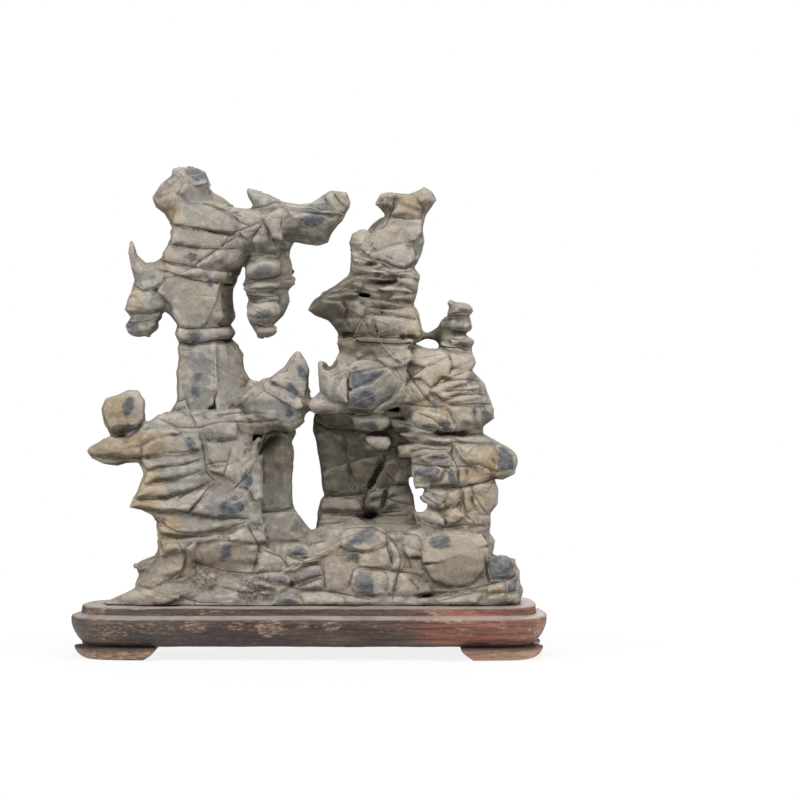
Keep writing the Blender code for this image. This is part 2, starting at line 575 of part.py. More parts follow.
def make_stand(group, cutters):
    """Makes the carved tray with the socket that the rock's foot sinks into."""
    climb = sum(reach for _, reach in LEDGE_AND_RIM_STEPS)
    mesh = moulded_slab("stand", STAND_TOP - climb - LEDGE_EDGE, LEDGE_EDGE, LEDGE_AND_RIM_STEPS, BAND_STEPS)
    stand = bpy.data.objects.new("stand", mesh)
    group.objects.link(stand)
    room = prism("socket", SOCKET_OUTLINE, SOCKET_FLOOR, STAND_TOP + CUT_REACH, upright=True)
    cut(stand, as_cutter(object_from_parts("socket", [room], (), cutters)))
    mesh.materials.append(plain_material("stand", STAND_COLOUR, 0.55))
    return stand


def make_foot(name, ends, material, group, cutters):
    """Makes one bracket foot: the part of a moulded slab that lies under a corner of the stand."""
    drop = sum(reach for _, reach in FOOT_LOWER_STEPS)
    setback = ((FOOT_SETBACK, 0.0),)
    mesh = moulded_slab(name, drop, FOOT_EDGE, setback + FOOT_TOP_STEPS, setback + FOOT_LOWER_STEPS)
    foot = bpy.data.objects.new(name, mesh)
    group.objects.link(foot)
    low = []
    high = []
    for end in ends:
        low.append(end if end > 0 else -2 * CUT_REACH)
        high.append(2 * CUT_REACH if end > 0 else end)
    corner = as_cutter(block(name + "_corner", (*low, 0.0 - FIT_GAP), (*high, STAND_TOP), cutters,
                             taper=(FOOT_INNER_TAPER, FOOT_INNER_TAPER)))
    shared = foot.modifiers.new("corner only", "BOOLEAN")
    shared.operation = "INTERSECT"
    shared.solver = "EXACT"
    shared.object = corner
    mesh.materials.append(material)
    return foot


def main():
    """Builds the rock and its stand."""
    clear_scene()
    group = new_collection("scholars_rock")
    cutters = new_collection("cutters")
    make_stone(group, cutters)
    make_stand(group, cutters)
    wood = plain_material("foot", FOOT_COLOUR, 0.6)
    for name, ends in FOOT_ENDS.items():
        make_foot(name, ends, wood, group, cutters)


main()
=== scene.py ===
"""Looks of a scholars rock standing in the socket of its carved wooden stand.

The rock's skin is drawn out of a field of overlapping masses, then creased along its real
joints, bedded, blocked and stained. The stand and its feet are lofted from the outlines
that the solids share. Lengths are in millimetres until a mesh is made. The front of the
rock faces -Y, and outlines and marks on it are read from the eye in front of it.
"""

from __future__ import annotations

import logging
import math
from dataclasses import dataclass, field, replace
from enum import Enum
from typing import Iterable, Sequence

import bmesh
import bpy
import numpy as np
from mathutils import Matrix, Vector

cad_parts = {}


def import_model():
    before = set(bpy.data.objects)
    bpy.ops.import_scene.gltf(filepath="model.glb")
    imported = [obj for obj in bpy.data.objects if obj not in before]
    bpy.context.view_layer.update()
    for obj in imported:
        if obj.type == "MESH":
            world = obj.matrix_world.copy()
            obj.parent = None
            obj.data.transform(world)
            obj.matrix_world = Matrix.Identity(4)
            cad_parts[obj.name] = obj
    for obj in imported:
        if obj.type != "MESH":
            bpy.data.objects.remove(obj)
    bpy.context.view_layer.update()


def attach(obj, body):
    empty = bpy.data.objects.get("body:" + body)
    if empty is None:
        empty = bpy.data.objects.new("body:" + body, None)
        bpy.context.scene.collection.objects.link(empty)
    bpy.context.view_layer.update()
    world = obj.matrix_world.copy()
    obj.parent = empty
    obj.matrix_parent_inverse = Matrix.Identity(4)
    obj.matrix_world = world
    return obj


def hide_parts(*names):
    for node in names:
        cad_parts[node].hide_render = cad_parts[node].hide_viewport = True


LOG = logging.getLogger("scholars_rock")
MM = 0.001
BODY = "root"

FAR_OFF = 9.0

Points = Sequence[tuple[float, float]]
Triple = tuple[float, float, float]


@dataclass(frozen=True)
class Eye:
    """The place that the rock is seen from, and how a reading becomes a place.

    A reading is an (x, height) pair on the middle plane's scale. A thing nearer than the
    middle plane is smaller than it reads.
    """

    distance: float = 800.0
    x: float = 22.2
    height: float = 62.7
    reading_height: float = 64.6
    sensor: float = 36.0

    def real(self, spots: np.ndarray) -> np.ndarray:
        """Turns (reading x, depth, reading height) rows into real places."""
        near = (self.distance + spots[:, 1]) / self.distance
        return np.stack((self.x + (spots[:, 0] - self.x) * near, spots[:, 1],
                         self.height + (spots[:, 2] - self.reading_height) * near), axis=1)

    def read(self, spots: np.ndarray) -> np.ndarray:
        """Turns real places into readings."""
        near = (self.distance + spots[:, 1]) / self.distance
        return np.stack((self.x + (spots[:, 0] - self.x) / near,
                         self.reading_height + (spots[:, 2] - self.height) / near), axis=1)


EYE = Eye()


@dataclass(frozen=True)
class Mass:
    """One block of the rock, given by its front outline and its reach in depth."""

    name: str
    front: float
    back: float
    outline: Points
    rounding: float = 3.5
    lean: tuple[float, float] = (0.0, 0.0)


@dataclass(frozen=True)
class Bulge:
    """A rounded swelling or hollow: its reading, its depth, its radii and its tilt in degrees."""

    x: float
    depth: float
    height: float
    radii: Triple
    tilt: float = 0.0


@dataclass(frozen=True)
class Block:
    """A lump of the rock's face, bounded by joints.

    It stands out by its rise, leans back to the right and upwards by its lean, and its face
    falls off by the drop within the given width of its outline.
    """

    rise: float
    lean: tuple[float, float]
    drop: float
    width: float
    outline: Points


class Cut(Enum):
    """Kinds of crack, as depth, half width and how far the stone rolls off beside it."""

    HAIR = (0.14, 0.24, 0.5)
    JOINT = (0.38, 0.30, 0.8)
    CLEFT = (0.85, 0.42, 1.1)


@dataclass(frozen=True)
class Crack:
    """A crack in the rock's face along a line of readings."""

    kind: Cut
    line: Points


@dataclass(frozen=True)
class Patch:
    """A soft-edged patch of colour: its reading, its half sizes, its tilt and its strength."""

    x: float
    height: float
    half_width: float
    half_height: float
    tilt: float = 0.0
    strength: float = 1.0


MASSES = (
    Mass("crown", -8.0, 9.0, (
        (-34.2, 122.0), (-32.3, 122.4), (-28.0, 122.3), (-25.8, 121.0), (-24.6, 118.1), (-25.1, 115.3),
        (-24.1, 114.1), (-20.4, 112.5), (-14.7, 111.9), (-12.0, 110.4), (-11.5, 104.2), (-15.9, 98.8),
        (-17.9, 95.5), (-27.3, 93.1), (-36.0, 96.8), (-36.7, 101.0), (-34.7, 104.0), (-34.2, 107.4),
        (-36.0, 110.6), (-38.4, 112.4), (-39.2, 114.9), (-37.0, 118.1), (-34.5, 120.3)), 4.5),
    Mass("trunk", -9.5, 11.0, (
        (-36.0, 98.8), (-27.3, 100.5), (-20.4, 98.8), (-21.1, 94.1), (-21.9, 91.8), (-21.7, 87.4),
        (-21.4, 85.1), (-22.9, 83.2), (-21.2, 81.2), (-22.4, 79.8), (-20.7, 78.2), (-19.9, 75.5),
        (-19.4, 72.3), (-18.4, 69.8), (-15.4, 67.6), (-13.7, 59.7), (-32.3, 58.4), (-34.5, 61.6),
        (-33.0, 64.6), (-33.2, 71.5), (-32.5, 75.0), (-33.0, 77.7), (-32.5, 78.7), (-33.5, 80.9),
        (-33.0, 83.2), (-34.7, 85.6), (-36.5, 86.9), (-37.2, 91.8)), 5.0, (0.14, 0.0)),
    Mass("trunk_side", -2.5, 9.5, (
        (-27.3, 100.5), (-17.4, 98.8), (-18.1, 94.1), (-19.1, 91.8), (-18.9, 87.4), (-18.6, 85.1),
        (-20.1, 83.2), (-18.4, 81.2), (-19.6, 79.8), (-17.9, 78.2), (-16.7, 75.5), (-16.2, 72.3),
        (-14.9, 69.8), (-12.9, 68.6), (-13.7, 59.7), (-27.3, 62.0)), 4.0),
    Mass("hanging_lobe", -7.0, 4.0, (
        (-43.9, 104.0), (-42.6, 100.5), (-40.7, 98.5), (-38.4, 98.8), (-36.5, 100.2), (-32.7, 96.8),
        (-31.0, 91.8), (-33.5, 87.4), (-36.5, 86.6), (-36.7, 84.9), (-38.4, 83.2), (-39.7, 80.0),
        (-41.9, 80.7), (-44.4, 80.9), (-45.9, 82.9), (-44.4, 85.1), (-46.1, 87.1), (-44.6, 90.8),
        (-43.6, 94.3), (-44.6, 98.3), (-45.1, 101.2), (-44.6, 104.2)), 4.0),
    Mass("perched_boulder", -11.0, 1.0, (
        (-50.8, 65.0), (-48.1, 65.8), (-45.1, 67.2), (-42.4, 67.1), (-40.9, 64.4), (-40.9, 61.6),
        (-40.9, 59.4), (-42.0, 57.0), (-44.8, 55.6), (-48.0, 55.0), (-49.6, 56.2), (-50.8, 58.4),
        (-51.8, 62.1)), 4.5),
    Mass("left_ledge", -13.0, 4.0, (
        (-50.8, 55.2), (-52.5, 54.2), (-55.0, 52.7), (-55.3, 51.7), (-54.0, 50.2), (-51.1, 48.8),
        (-47.8, 48.3), (-45.4, 49.1), (-42.6, 49.1), (-41.2, 47.3), (-37.2, 44.8), (-27.3, 44.8),
        (-24.8, 57.2), (-33.5, 61.6), (-36.5, 60.6), (-39.7, 59.4), (-41.4, 59.0), (-43.1, 56.9),
        (-46.4, 55.4), (-49.3, 55.7)), 3.2),
    Mass("skirt", -15.0, 5.0, (
        (-37.2, 61.0), (-34.2, 61.4), (-27.3, 62.4), (-17.4, 62.6), (-13.7, 58.4), (-14.9, 52.2),
        (-12.0, 47.3), (-12.0, 34.9), (-13.7, 28.7), (-27.3, 24.0), (-37.2, 25.7), (-37.0, 28.5),
        (-37.9, 30.7), (-38.2, 33.9), (-39.2, 35.9), (-41.9, 37.4), (-44.6, 38.1), (-44.1, 39.9),
        (-42.4, 43.3), (-41.4, 46.0), (-41.7, 48.5), (-40.9, 54.7), (-39.7, 59.0)), 3.5, (0.04, 0.10)),
    Mass("back_pillar", -5.5, 12.0, (
        (-14.9, 64.6), (-2.6, 64.6), (-1.6, 59.4), (-3.8, 57.7), (-3.5, 56.2), (-4.5, 54.2),
        (-4.0, 51.7), (-4.5, 44.3), (-4.2, 39.1), (-3.5, 36.6), (-1.1, 33.2), (0.4, 32.1),
        (1.9, 28.7), (-14.9, 25.0), (-17.4, 39.9)), 5.0),
    Mass("inner_lobe", -11.0, 5.0, (
        (-12.7, 69.1), (-11.5, 70.0), (-10.0, 70.2), (-7.7, 72.0), (-6.3, 73.0), (-5.0, 75.0),
        (-3.5, 76.7), (-2.5, 76.5), (-1.1, 74.3), (-0.3, 72.0), (-0.4, 68.3), (0.2, 64.6),
        (0.1, 62.4), (-1.2, 61.1), (-1.6, 59.4), (-3.0, 57.9), (-5.0, 56.7), (-12.0, 57.7),
        (-16.2, 59.7), (-17.4, 65.8), (-14.9, 69.6)), 3.5, (-0.08, 0.06)),
    Mass("arm", -7.0, 5.5, (
        (-15.4, 117.1), (-12.9, 116.3), (-10.5, 115.3), (-6.5, 113.6), (-2.5, 113.1), (0.4, 113.4),
        (2.4, 114.9), (4.9, 116.5), (7.1, 116.2), (9.1, 116.1), (10.0, 113.6), (9.8, 112.4),
        (7.8, 108.9), (5.4, 105.9), (4.4, 103.5), (1.9, 102.7), (-1.3, 103.2), (-4.0, 103.7),
        (-5.3, 101.2), (-8.7, 98.8), (-13.7, 98.8), (-17.4, 100.5), (-17.4, 110.4), (-14.7, 111.9),
        (-14.2, 112.9), (-15.4, 114.9), (-15.8, 116.3)), 4.5, (0.10, 0.0)),
    Mass("pendant", -6.4, 3.0, (
        (-5.3, 101.0), (-4.5, 97.8), (-4.5, 95.5), (-3.5, 94.8), (-3.9, 93.3), (-5.5, 91.6),
        (-5.0, 88.9), (-6.5, 85.4), (-7.7, 84.4), (-9.0, 83.2), (-8.7, 81.7), (-11.5, 80.9),
        (-11.5, 79.7), (-13.2, 80.0), (-13.2, 80.9), (-15.2, 83.7), (-15.8, 87.9), (-15.4, 89.4),
        (-15.9, 91.6), (-16.9, 93.1), (-16.2, 94.6), (-16.2, 98.0), (-14.9, 100.5), (-12.0, 103.0),
        (-6.3, 103.0)), 3.6, (0.22, 0.0)),
    Mass("right_head", -7.0, 6.0, (
        (15.8, 113.1), (17.3, 115.8), (19.7, 116.2), (24.4, 115.5), (26.9, 116.6), (28.1, 117.6),
        (29.9, 116.6), (31.4, 114.1), (29.9, 112.1), (28.4, 109.7), (27.9, 106.7), (28.3, 103.7),
        (27.3, 100.5), (25.0, 97.0), (12.0, 97.0), (10.3, 101.2), (9.5, 103.5), (10.3, 105.7),
        (12.5, 106.7), (15.5, 106.2), (18.0, 109.2), (18.5, 110.6), (17.0, 112.1)), 4.5),
    Mass("right_neck", -9.5, 8.0, (
        (10.3, 101.2), (27.3, 100.5), (25.8, 97.3), (27.3, 95.5), (26.7, 92.3), (25.4, 88.6),
        (26.9, 86.1), (27.6, 82.4), (27.2, 77.5), (8.6, 77.5), (9.0, 90.0), (9.8, 95.8),
        (10.0, 99.3)), 4.0, (-0.05, 0.0)),
    Mass("wing", -9.5, 2.0, (
        (9.8, 95.8), (8.6, 95.0), (6.6, 93.3), (4.1, 91.6), (0.9, 89.4), (-0.8, 86.9),
        (1.2, 85.4), (4.4, 84.2), (6.6, 81.7), (7.0, 80.9), (6.6, 80.0), (8.6, 77.0),
        (16.0, 78.2), (18.5, 89.4), (14.8, 95.5)), 3.0, (-0.20, 0.0)),
    Mass("overhang", -14.5, 7.0, (
        (1.9, 73.8), (2.4, 74.4), (3.9, 74.0), (4.9, 72.8), (6.1, 74.5), (7.1, 76.5), (6.6, 79.0),
        (9.8, 80.7), (22.2, 80.7), (24.2, 78.2), (23.4, 63.4), (15.3, 61.1), (9.8, 61.4),
        (1.9, 61.1), (0.4, 61.6), (-0.6, 63.4), (0.4, 65.1), (2.2, 66.8), (2.0, 69.6)), 4.0, (-0.05, 0.10)),
    Mass("saddle", -4.0, 5.0, (
        (25.2, 83.2), (28.9, 81.2), (32.1, 82.9), (34.6, 80.7), (33.3, 78.2), (31.1, 79.2),
        (28.9, 79.6), (26.9, 79.0), (25.2, 78.2), (24.2, 80.7)), 1.5),
    Mass("pinnacle", -6.0, 4.0, (
        (32.1, 83.9), (33.6, 85.1), (35.1, 86.1), (33.8, 88.6), (34.8, 89.7), (35.8, 88.9),
        (37.3, 88.9), (39.0, 88.4), (40.5, 86.9), (39.3, 85.4), (40.0, 83.7), (38.5, 80.9),
        (40.3, 78.7), (39.5, 74.5), (32.1, 74.5), (31.6, 80.7)), 3.0),
    Mass("shoulder", -12.0, 8.0, (
        (23.2, 77.3), (26.9, 77.9), (29.1, 77.4), (31.1, 77.3), (35.8, 78.2), (39.5, 77.0),
        (40.8, 75.2), (41.0, 73.8), (40.0, 72.0), (41.8, 70.0), (43.2, 68.8), (44.2, 65.6),
        (45.5, 62.1), (45.7, 60.1), (43.2, 58.2), (42.5, 57.2), (34.6, 54.7), (24.7, 54.7),
        (22.2, 62.1)), 4.5, (0.0, 0.10)),
    Mass("recessed_wall", -5.0, 11.0, (
        (1.9, 63.0), (0.9, 60.1), (0.7, 57.2), (1.7, 52.7), (2.4, 48.5), (2.9, 43.3), (3.4, 41.1),
        (2.4, 39.9), (1.8, 36.9), (1.5, 32.9), (1.9, 27.0), (29.6, 27.0), (27.2, 38.6),
        (25.4, 42.3), (24.9, 45.3), (28.4, 62.1)), 4.0),
    Mass("right_leg", -12.0, 6.0, (
        (24.7, 58.4), (42.5, 57.7), (43.0, 56.2), (46.2, 54.5), (48.7, 53.0), (50.7, 50.2),
        (50.8, 46.3), (47.7, 44.9), (45.7, 45.0), (46.5, 41.8), (46.5, 38.9), (44.5, 36.3),
        (44.7, 34.9), (44.5, 31.7), (45.8, 29.7), (44.7, 26.0), (27.2, 26.0), (25.2, 43.1)), 4.0),
    Mass("base", -14.0, 14.0, (
        (-12.0, 34.9), (-3.5, 36.9), (-1.6, 33.9), (0.4, 32.1), (1.7, 32.9), (6.1, 33.9),
        (24.7, 33.9), (34.6, 32.4), (45.0, 28.7), (45.2, 26.2), (47.2, 26.2), (48.9, 25.5),
        (50.9, 25.5), (50.7, 24.3), (51.9, 22.3), (51.9, 20.0), (52.4, 17.6), (52.2, 15.1),
        (50.0, 6.0), (-49.0, 6.0), (-50.8, 14.4), (-48.3, 15.8), (-45.1, 16.8), (-43.4, 18.1),
        (-42.4, 21.3), (-43.6, 23.9), (-41.7, 25.0), (-38.2, 26.2), (-27.3, 28.7), (-17.4, 30.0)),
        5.0, (0.0, 0.22)),
)

SWELLINGS = (
    Bulge(-11.6, -5.6, 97.0, (4.6, 4.4, 2.9), 12.0),
    Bulge(-12.0, -5.6, 92.6, (4.7, 3.6, 1.5), 6.0),
    Bulge(-11.8, -5.2, 90.2, (4.3, 3.2, 1.2), -8.0),
    Bulge(-11.6, -5.6, 86.4, (4.3, 4.4, 3.3), 16.0),
    Bulge(-10.8, -5.0, 81.8, (2.6, 2.6, 1.6), 8.0),
    Bulge(-40.5, -5.0, 88.5, (5.0, 4.6, 4.6), 20.0),
    Bulge(-41.5, -4.5, 82.6, (3.9, 4.0, 2.2), 15.0),
    Bulge(37.0, -3.5, 86.6, (3.2, 4.0, 1.9), 12.0),
    Bulge(36.8, -3.5, 82.9, (3.4, 4.2, 1.8), -8.0),
    Bulge(37.4, -4.0, 79.4, (3.4, 4.4, 1.3), -8.0),
    Bulge(47.0, -7.0, 49.8, (4.4, 4.8, 3.6), -10.0),
    Bulge(-46.5, -10.0, 52.4, (7.4, 4.4, 2.6), 8.0),
    Bulge(-38.5, -10.5, 16.0, (9.6, 6.0, 2.6), 6.0),
    Bulge(47.4, -10.8, 22.6, (3.6, 4.2, 3.6)),
    Bulge(35.6, -12.2, 23.6, (9.5, 3.4, 7.4)),
    Bulge(-25.0, 4.6, 31.0, (13.0, 6.4, 11.0), 14.0),
    Bulge(-8.0, 8.6, 23.0, (11.0, 5.6, 6.0), -10.0),
    Bulge(-29.0, 3.6, 50.0, (11.0, 5.2, 7.0), -16.0),
    Bulge(-26.0, 9.5, 72.0, (6.0, 4.0, 7.0)),
    Bulge(-27.0, 8.6, 92.0, (6.6, 3.6, 4.6), -10.0),
    Bulge(-26.0, 7.5, 110.0, (7.0, 3.6, 6.0)),
    Bulge(18.0, 9.5, 27.0, (9.0, 5.0, 7.0)),
    Bulge(38.0, 9.0, 22.0, (8.0, 5.0, 6.0)),
    Bulge(34.0, 7.0, 66.0, (7.0, 4.0, 6.0)),
    Bulge(12.0, 7.5, 70.0, (7.0, 4.0, 5.0), -8.0),
    Bulge(19.0, 7.0, 90.0, (6.4, 3.6, 5.0)),
    Bulge(20.0, 6.0, 105.0, (6.0, 3.4, 5.0)),
    Bulge(37.0, 5.5, 44.0, (6.0, 4.0, 7.0)),
    Bulge(14.0, 9.5, 48.0, (7.0, 4.0, 8.0)),
)

BLOCKS = (
    # Crown and trunk
    Block(0.6, (0.0, 0.3), 0.9, 1.6, ((-34.2, 122.0), (-25.8, 122.3), (-25.1, 120.3), (-25.8, 118.6),
        (-28.3, 117.6), (-30.8, 118.8), (-34.7, 118.1), (-36.0, 119.1))),
    Block(0.5, (-0.15, 0.1), 0.9, 1.8, ((-38.9, 114.9), (-37.2, 118.1), (-34.7, 118.1), (-30.8, 118.6),
        (-32.7, 116.1), (-34.2, 114.1), (-37.7, 113.4))),
    Block(0.2, (0.15, -0.1), 0.8, 2.0, ((-30.8, 118.6), (-28.3, 117.3), (-25.8, 118.3), (-25.3, 116.1),
        (-24.8, 113.9), (-27.3, 113.1), (-29.8, 114.1), (-32.3, 115.8))),
    Block(0.3, (-0.2, -0.2), 0.8, 1.6, ((-37.2, 113.1), (-34.2, 113.9), (-33.0, 112.9), (-33.0, 110.1),
        (-33.7, 108.2), (-35.2, 110.9), (-37.2, 112.1))),
    Block(1.0, (0.02, 0.08), 0.9, 2.6, ((-32.7, 115.8), (-29.8, 114.1), (-24.6, 113.6), (-21.4, 112.1),
        (-19.4, 110.6), (-17.4, 108.7), (-19.1, 106.2), (-23.6, 106.7), (-29.8, 107.4), (-33.7, 108.2),
        (-33.0, 111.6), (-33.5, 114.1))),
    Block(0.6, (0.1, 0.25), 0.7, 1.4, ((-24.6, 113.9), (-21.1, 112.9), (-16.2, 112.1), (-14.2, 111.1),
        (-12.0, 109.9), (-14.9, 109.4), (-17.9, 109.9), (-20.4, 111.1))),
    Block(0.9, (0.05, 0.08), 0.6, 1.2, ((-34.0, 107.7), (-28.8, 106.9), (-21.4, 105.4), (-19.4, 104.7),
        (-21.4, 102.5), (-24.1, 102.0), (-28.8, 102.5), (-34.2, 103.5))),
    Block(1.1, (0.02, 0.06), 0.8, 1.4, ((-34.2, 103.0), (-28.8, 102.0), (-24.1, 101.7), (-29.8, 97.8),
        (-33.5, 98.3), (-37.7, 99.8), (-36.7, 101.7))),
    Block(0.7, (0.25, -0.15), 0.9, 1.6, ((-21.4, 105.2), (-14.7, 104.2), (-16.7, 101.2), (-19.4, 98.8),
        (-22.4, 97.3), (-26.1, 97.8), (-28.0, 98.0), (-22.8, 101.7), (-21.4, 102.5))),
    Block(1.0, (0.0, 0.1), 0.9, 1.4, ((-37.7, 99.3), (-33.5, 97.5), (-30.3, 96.8), (-33.0, 95.8),
        (-35.7, 95.3), (-37.9, 92.3), (-40.2, 91.8), (-39.7, 97.3))),
    Block(1.0, (0.06, 0.12), 0.6, 1.1, ((-28.0, 97.3), (-21.6, 96.3), (-19.4, 96.0), (-19.4, 93.6),
        (-23.6, 93.6), (-29.8, 95.0), (-32.7, 95.5), (-29.8, 96.8))),
    Block(0.5, (0.04, 0.03), 0.5, 1.6, ((-33.5, 95.0), (-29.8, 94.3), (-25.6, 93.3), (-22.6, 93.1),
        (-23.3, 89.4), (-25.3, 84.4), (-27.8, 82.4), (-33.2, 83.2), (-34.2, 88.1), (-37.7, 91.6),
        (-35.5, 94.6))),
    Block(0.2, (0.3, -0.05), 0.8, 1.4, ((-22.6, 92.8), (-19.1, 92.8), (-19.6, 89.4), (-18.4, 84.9),
        (-20.4, 83.2), (-24.3, 82.7), (-25.1, 83.9), (-23.3, 88.6))),
    Block(1.1, (0.06, 0.05), 0.7, 1.1, ((-33.0, 82.4), (-27.8, 81.7), (-20.4, 82.4), (-18.4, 81.4),
        (-19.4, 80.0), (-22.6, 79.7), (-28.8, 79.0), (-32.7, 79.2))),
    Block(0.6, (-0.05, 0.02), 0.6, 1.8, ((-32.7, 78.2), (-28.8, 77.7), (-23.6, 78.2), (-23.3, 74.0),
        (-23.3, 68.6), (-24.3, 63.6), (-26.6, 61.6), (-29.8, 61.1), (-32.3, 62.6), (-34.5, 62.1),
        (-33.0, 65.8), (-33.0, 73.3))),
    Block(0.3, (0.28, 0.0), 0.9, 2.2, ((-23.1, 78.0), (-19.4, 78.7), (-17.9, 76.5), (-16.9, 73.5),
        (-14.9, 70.5), (-14.4, 66.6), (-17.4, 63.6), (-20.9, 61.6), (-23.1, 61.1), (-23.1, 67.1))),
    # Hanging lobe
    Block(0.8, (-0.1, 0.0), 1.0, 1.8, ((-43.6, 97.8), (-39.7, 96.8), (-37.7, 93.1), (-39.7, 90.3),
        (-44.6, 90.3), (-45.4, 91.8), (-44.1, 94.8))),
    Block(1.0, (-0.05, 0.1), 0.9, 1.2, ((-45.9, 90.1), (-39.7, 90.1), (-36.2, 91.8), (-35.7, 87.9),
        (-39.7, 86.1), (-43.9, 86.4), (-45.6, 87.4))),
    Block(0.8, (-0.1, -0.05), 0.9, 1.2, ((-45.9, 85.6), (-43.9, 86.1), (-39.2, 85.9), (-37.2, 86.4),
        (-38.2, 83.7), (-39.7, 81.9), (-41.4, 81.9), (-44.6, 81.7), (-45.9, 83.2))),
    # Arm
    Block(0.6, (0.0, -0.2), 0.6, 0.9, ((-15.4, 116.8), (-13.7, 116.6), (-6.5, 113.1), (-8.0, 112.1),
        (-12.0, 112.6), (-14.4, 112.4), (-14.9, 114.6))),
    Block(0.9, (-0.1, 0.15), 0.9, 1.4, ((-16.2, 111.9), (-12.9, 111.4), (-11.5, 110.1), (-12.0, 108.7),
        (-14.9, 107.7), (-17.2, 108.9), (-18.4, 110.4))),
    Block(1.5, (0.1, 0.1), 1.0, 1.4, ((-11.5, 110.1), (-7.5, 111.9), (-6.0, 110.9), (-6.5, 107.7),
        (-7.3, 104.2), (-9.5, 104.7), (-11.5, 108.2))),
    Block(0.9, (-0.05, -0.1), 0.9, 1.3, ((-17.2, 108.4), (-12.0, 108.2), (-12.9, 106.2), (-15.9, 105.2),
        (-17.9, 106.7))),
    Block(1.2, (0.05, -0.15), 0.9, 1.4, ((-12.9, 105.7), (-11.5, 107.7), (-9.7, 104.2), (-7.7, 102.2),
        (-10.5, 101.2), (-13.9, 101.7), (-14.9, 104.2))),
    Block(1.1, (0.0, 0.35), 0.7, 1.0, ((-6.5, 112.4), (-2.5, 113.1), (1.9, 113.6), (3.6, 115.3),
        (5.1, 112.9), (6.6, 110.9), (2.4, 111.1), (-2.5, 111.4), (-5.0, 111.6))),
    Block(0.8, (0.0, -0.05), 0.7, 1.1, ((-5.0, 111.1), (-2.1, 110.9), (6.6, 110.1), (5.6, 108.7),
        (1.9, 107.4), (-1.1, 107.4), (-2.5, 108.7), (-4.5, 108.9))),
    Block(-0.6, (0.05, -0.45), 0.8, 1.4, ((-2.1, 107.2), (1.9, 107.2), (2.6, 104.2), (1.4, 102.7),
        (-0.6, 103.5), (-1.8, 105.2))),
    Block(-0.5, (0.25, -0.35), 0.8, 1.4, ((2.4, 107.4), (5.9, 108.9), (7.1, 108.7), (5.4, 105.9),
        (4.6, 104.2), (2.6, 104.0))),
    Block(-1.8, (0.0, -0.4), 0.8, 1.4, ((-6.0, 110.1), (-2.8, 108.7), (-2.1, 105.2), (-5.0, 104.7),
        (-6.8, 106.2))),
    Block(1.4, (0.2, 0.1), 0.6, 0.8, ((3.6, 115.6), (5.1, 116.1), (8.8, 112.6), (7.8, 110.9), (6.6, 111.1),
        (4.9, 113.4))),
    Block(0.9, (0.3, 0.1), 0.6, 0.8, ((5.9, 116.1), (8.3, 116.1), (9.8, 113.1), (9.1, 112.4),
        (7.4, 114.1))),
    # Pendant
    Block(0.2, (0.2, 0.0), 0.8, 1.2, ((-7.5, 100.2), (-5.0, 101.7), (-5.3, 98.0), (-4.0, 94.8),
        (-7.0, 95.0), (-7.0, 97.8))),
    Block(0.3, (0.2, 0.05), 0.7, 0.9, ((-7.7, 94.1), (-4.0, 94.6), (-3.8, 93.3), (-5.5, 92.6),
        (-8.2, 92.6))),
    Block(0.0, (0.2, -0.1), 0.8, 1.1, ((-8.2, 91.8), (-5.5, 91.8), (-6.0, 88.4), (-7.7, 84.9),
        (-8.5, 88.1), (-7.3, 89.9))),
    Block(0.8, (0.0, 0.1), 0.7, 0.8, ((-14.4, 101.2), (-10.5, 101.0), (-8.0, 100.0), (-12.0, 99.8),
        (-14.9, 99.3))),
    # Right head
    Block(0.4, (-0.25, -0.05), 0.7, 1.2, ((15.8, 113.1), (17.3, 115.6), (19.2, 116.1), (21.5, 115.6),
        (21.2, 113.4), (19.7, 110.4), (18.5, 110.9), (18.0, 112.1))),
    Block(0.8, (0.0, 0.2), 0.7, 1.1, ((21.5, 115.6), (25.4, 115.3), (26.7, 114.1), (27.4, 112.1),
        (24.7, 112.6), (21.7, 113.9))),
    Block(1.0, (0.0, 0.05), 0.7, 0.9, ((21.5, 113.4), (27.4, 111.4), (27.4, 109.7), (24.2, 109.7),
        (20.2, 110.4), (20.7, 112.1))),
    Block(0.2, (0.2, 0.0), 0.8, 1.4, ((26.4, 115.1), (27.2, 117.3), (28.4, 117.6), (29.9, 116.3),
        (30.1, 114.9), (31.1, 114.1), (28.9, 111.4), (27.9, 111.9), (27.4, 113.4))),
    Block(1.3, (-0.08, 0.12), 0.9, 1.6, ((20.2, 109.9), (24.2, 109.4), (27.4, 109.2), (27.9, 106.7),
        (25.7, 104.2), (23.2, 103.7), (19.2, 102.7), (16.8, 101.7), (15.0, 103.5), (15.8, 105.4),
        (18.0, 107.9))),
    Block(0.2, (-0.2, 0.1), 1.0, 1.9, ((9.6, 103.5), (10.6, 105.7), (12.3, 106.7), (15.0, 106.2),
        (15.8, 105.2), (14.8, 103.0), (12.8, 103.2), (11.1, 103.5))),
    Block(1.6, (0.0, -0.1), 0.9, 1.3, ((14.0, 101.0), (17.3, 101.5), (19.7, 102.5), (23.2, 103.5),
        (25.7, 101.7), (25.9, 99.8), (24.7, 98.3), (23.2, 97.8), (20.2, 99.8), (18.2, 100.2),
        (15.8, 99.5))),
    Block(0.3, (0.35, -0.05), 0.9, 1.5, ((23.4, 103.7), (26.4, 105.2), (27.9, 104.2), (27.4, 101.7),
        (26.7, 99.3), (25.7, 98.8), (26.2, 101.7))),
    Block(1.1, (0.0, -0.2), 0.6, 0.7, ((17.3, 99.8), (18.7, 100.0), (20.7, 98.8), (23.4, 98.3),
        (23.2, 97.5), (21.2, 97.3), (19.2, 97.8), (17.5, 98.8))),
    Block(0.8, (-0.25, -0.2), 0.6, 0.8, ((11.1, 103.0), (13.3, 102.7), (15.3, 102.2), (14.0, 101.0),
        (12.3, 101.2))),
    # Neck
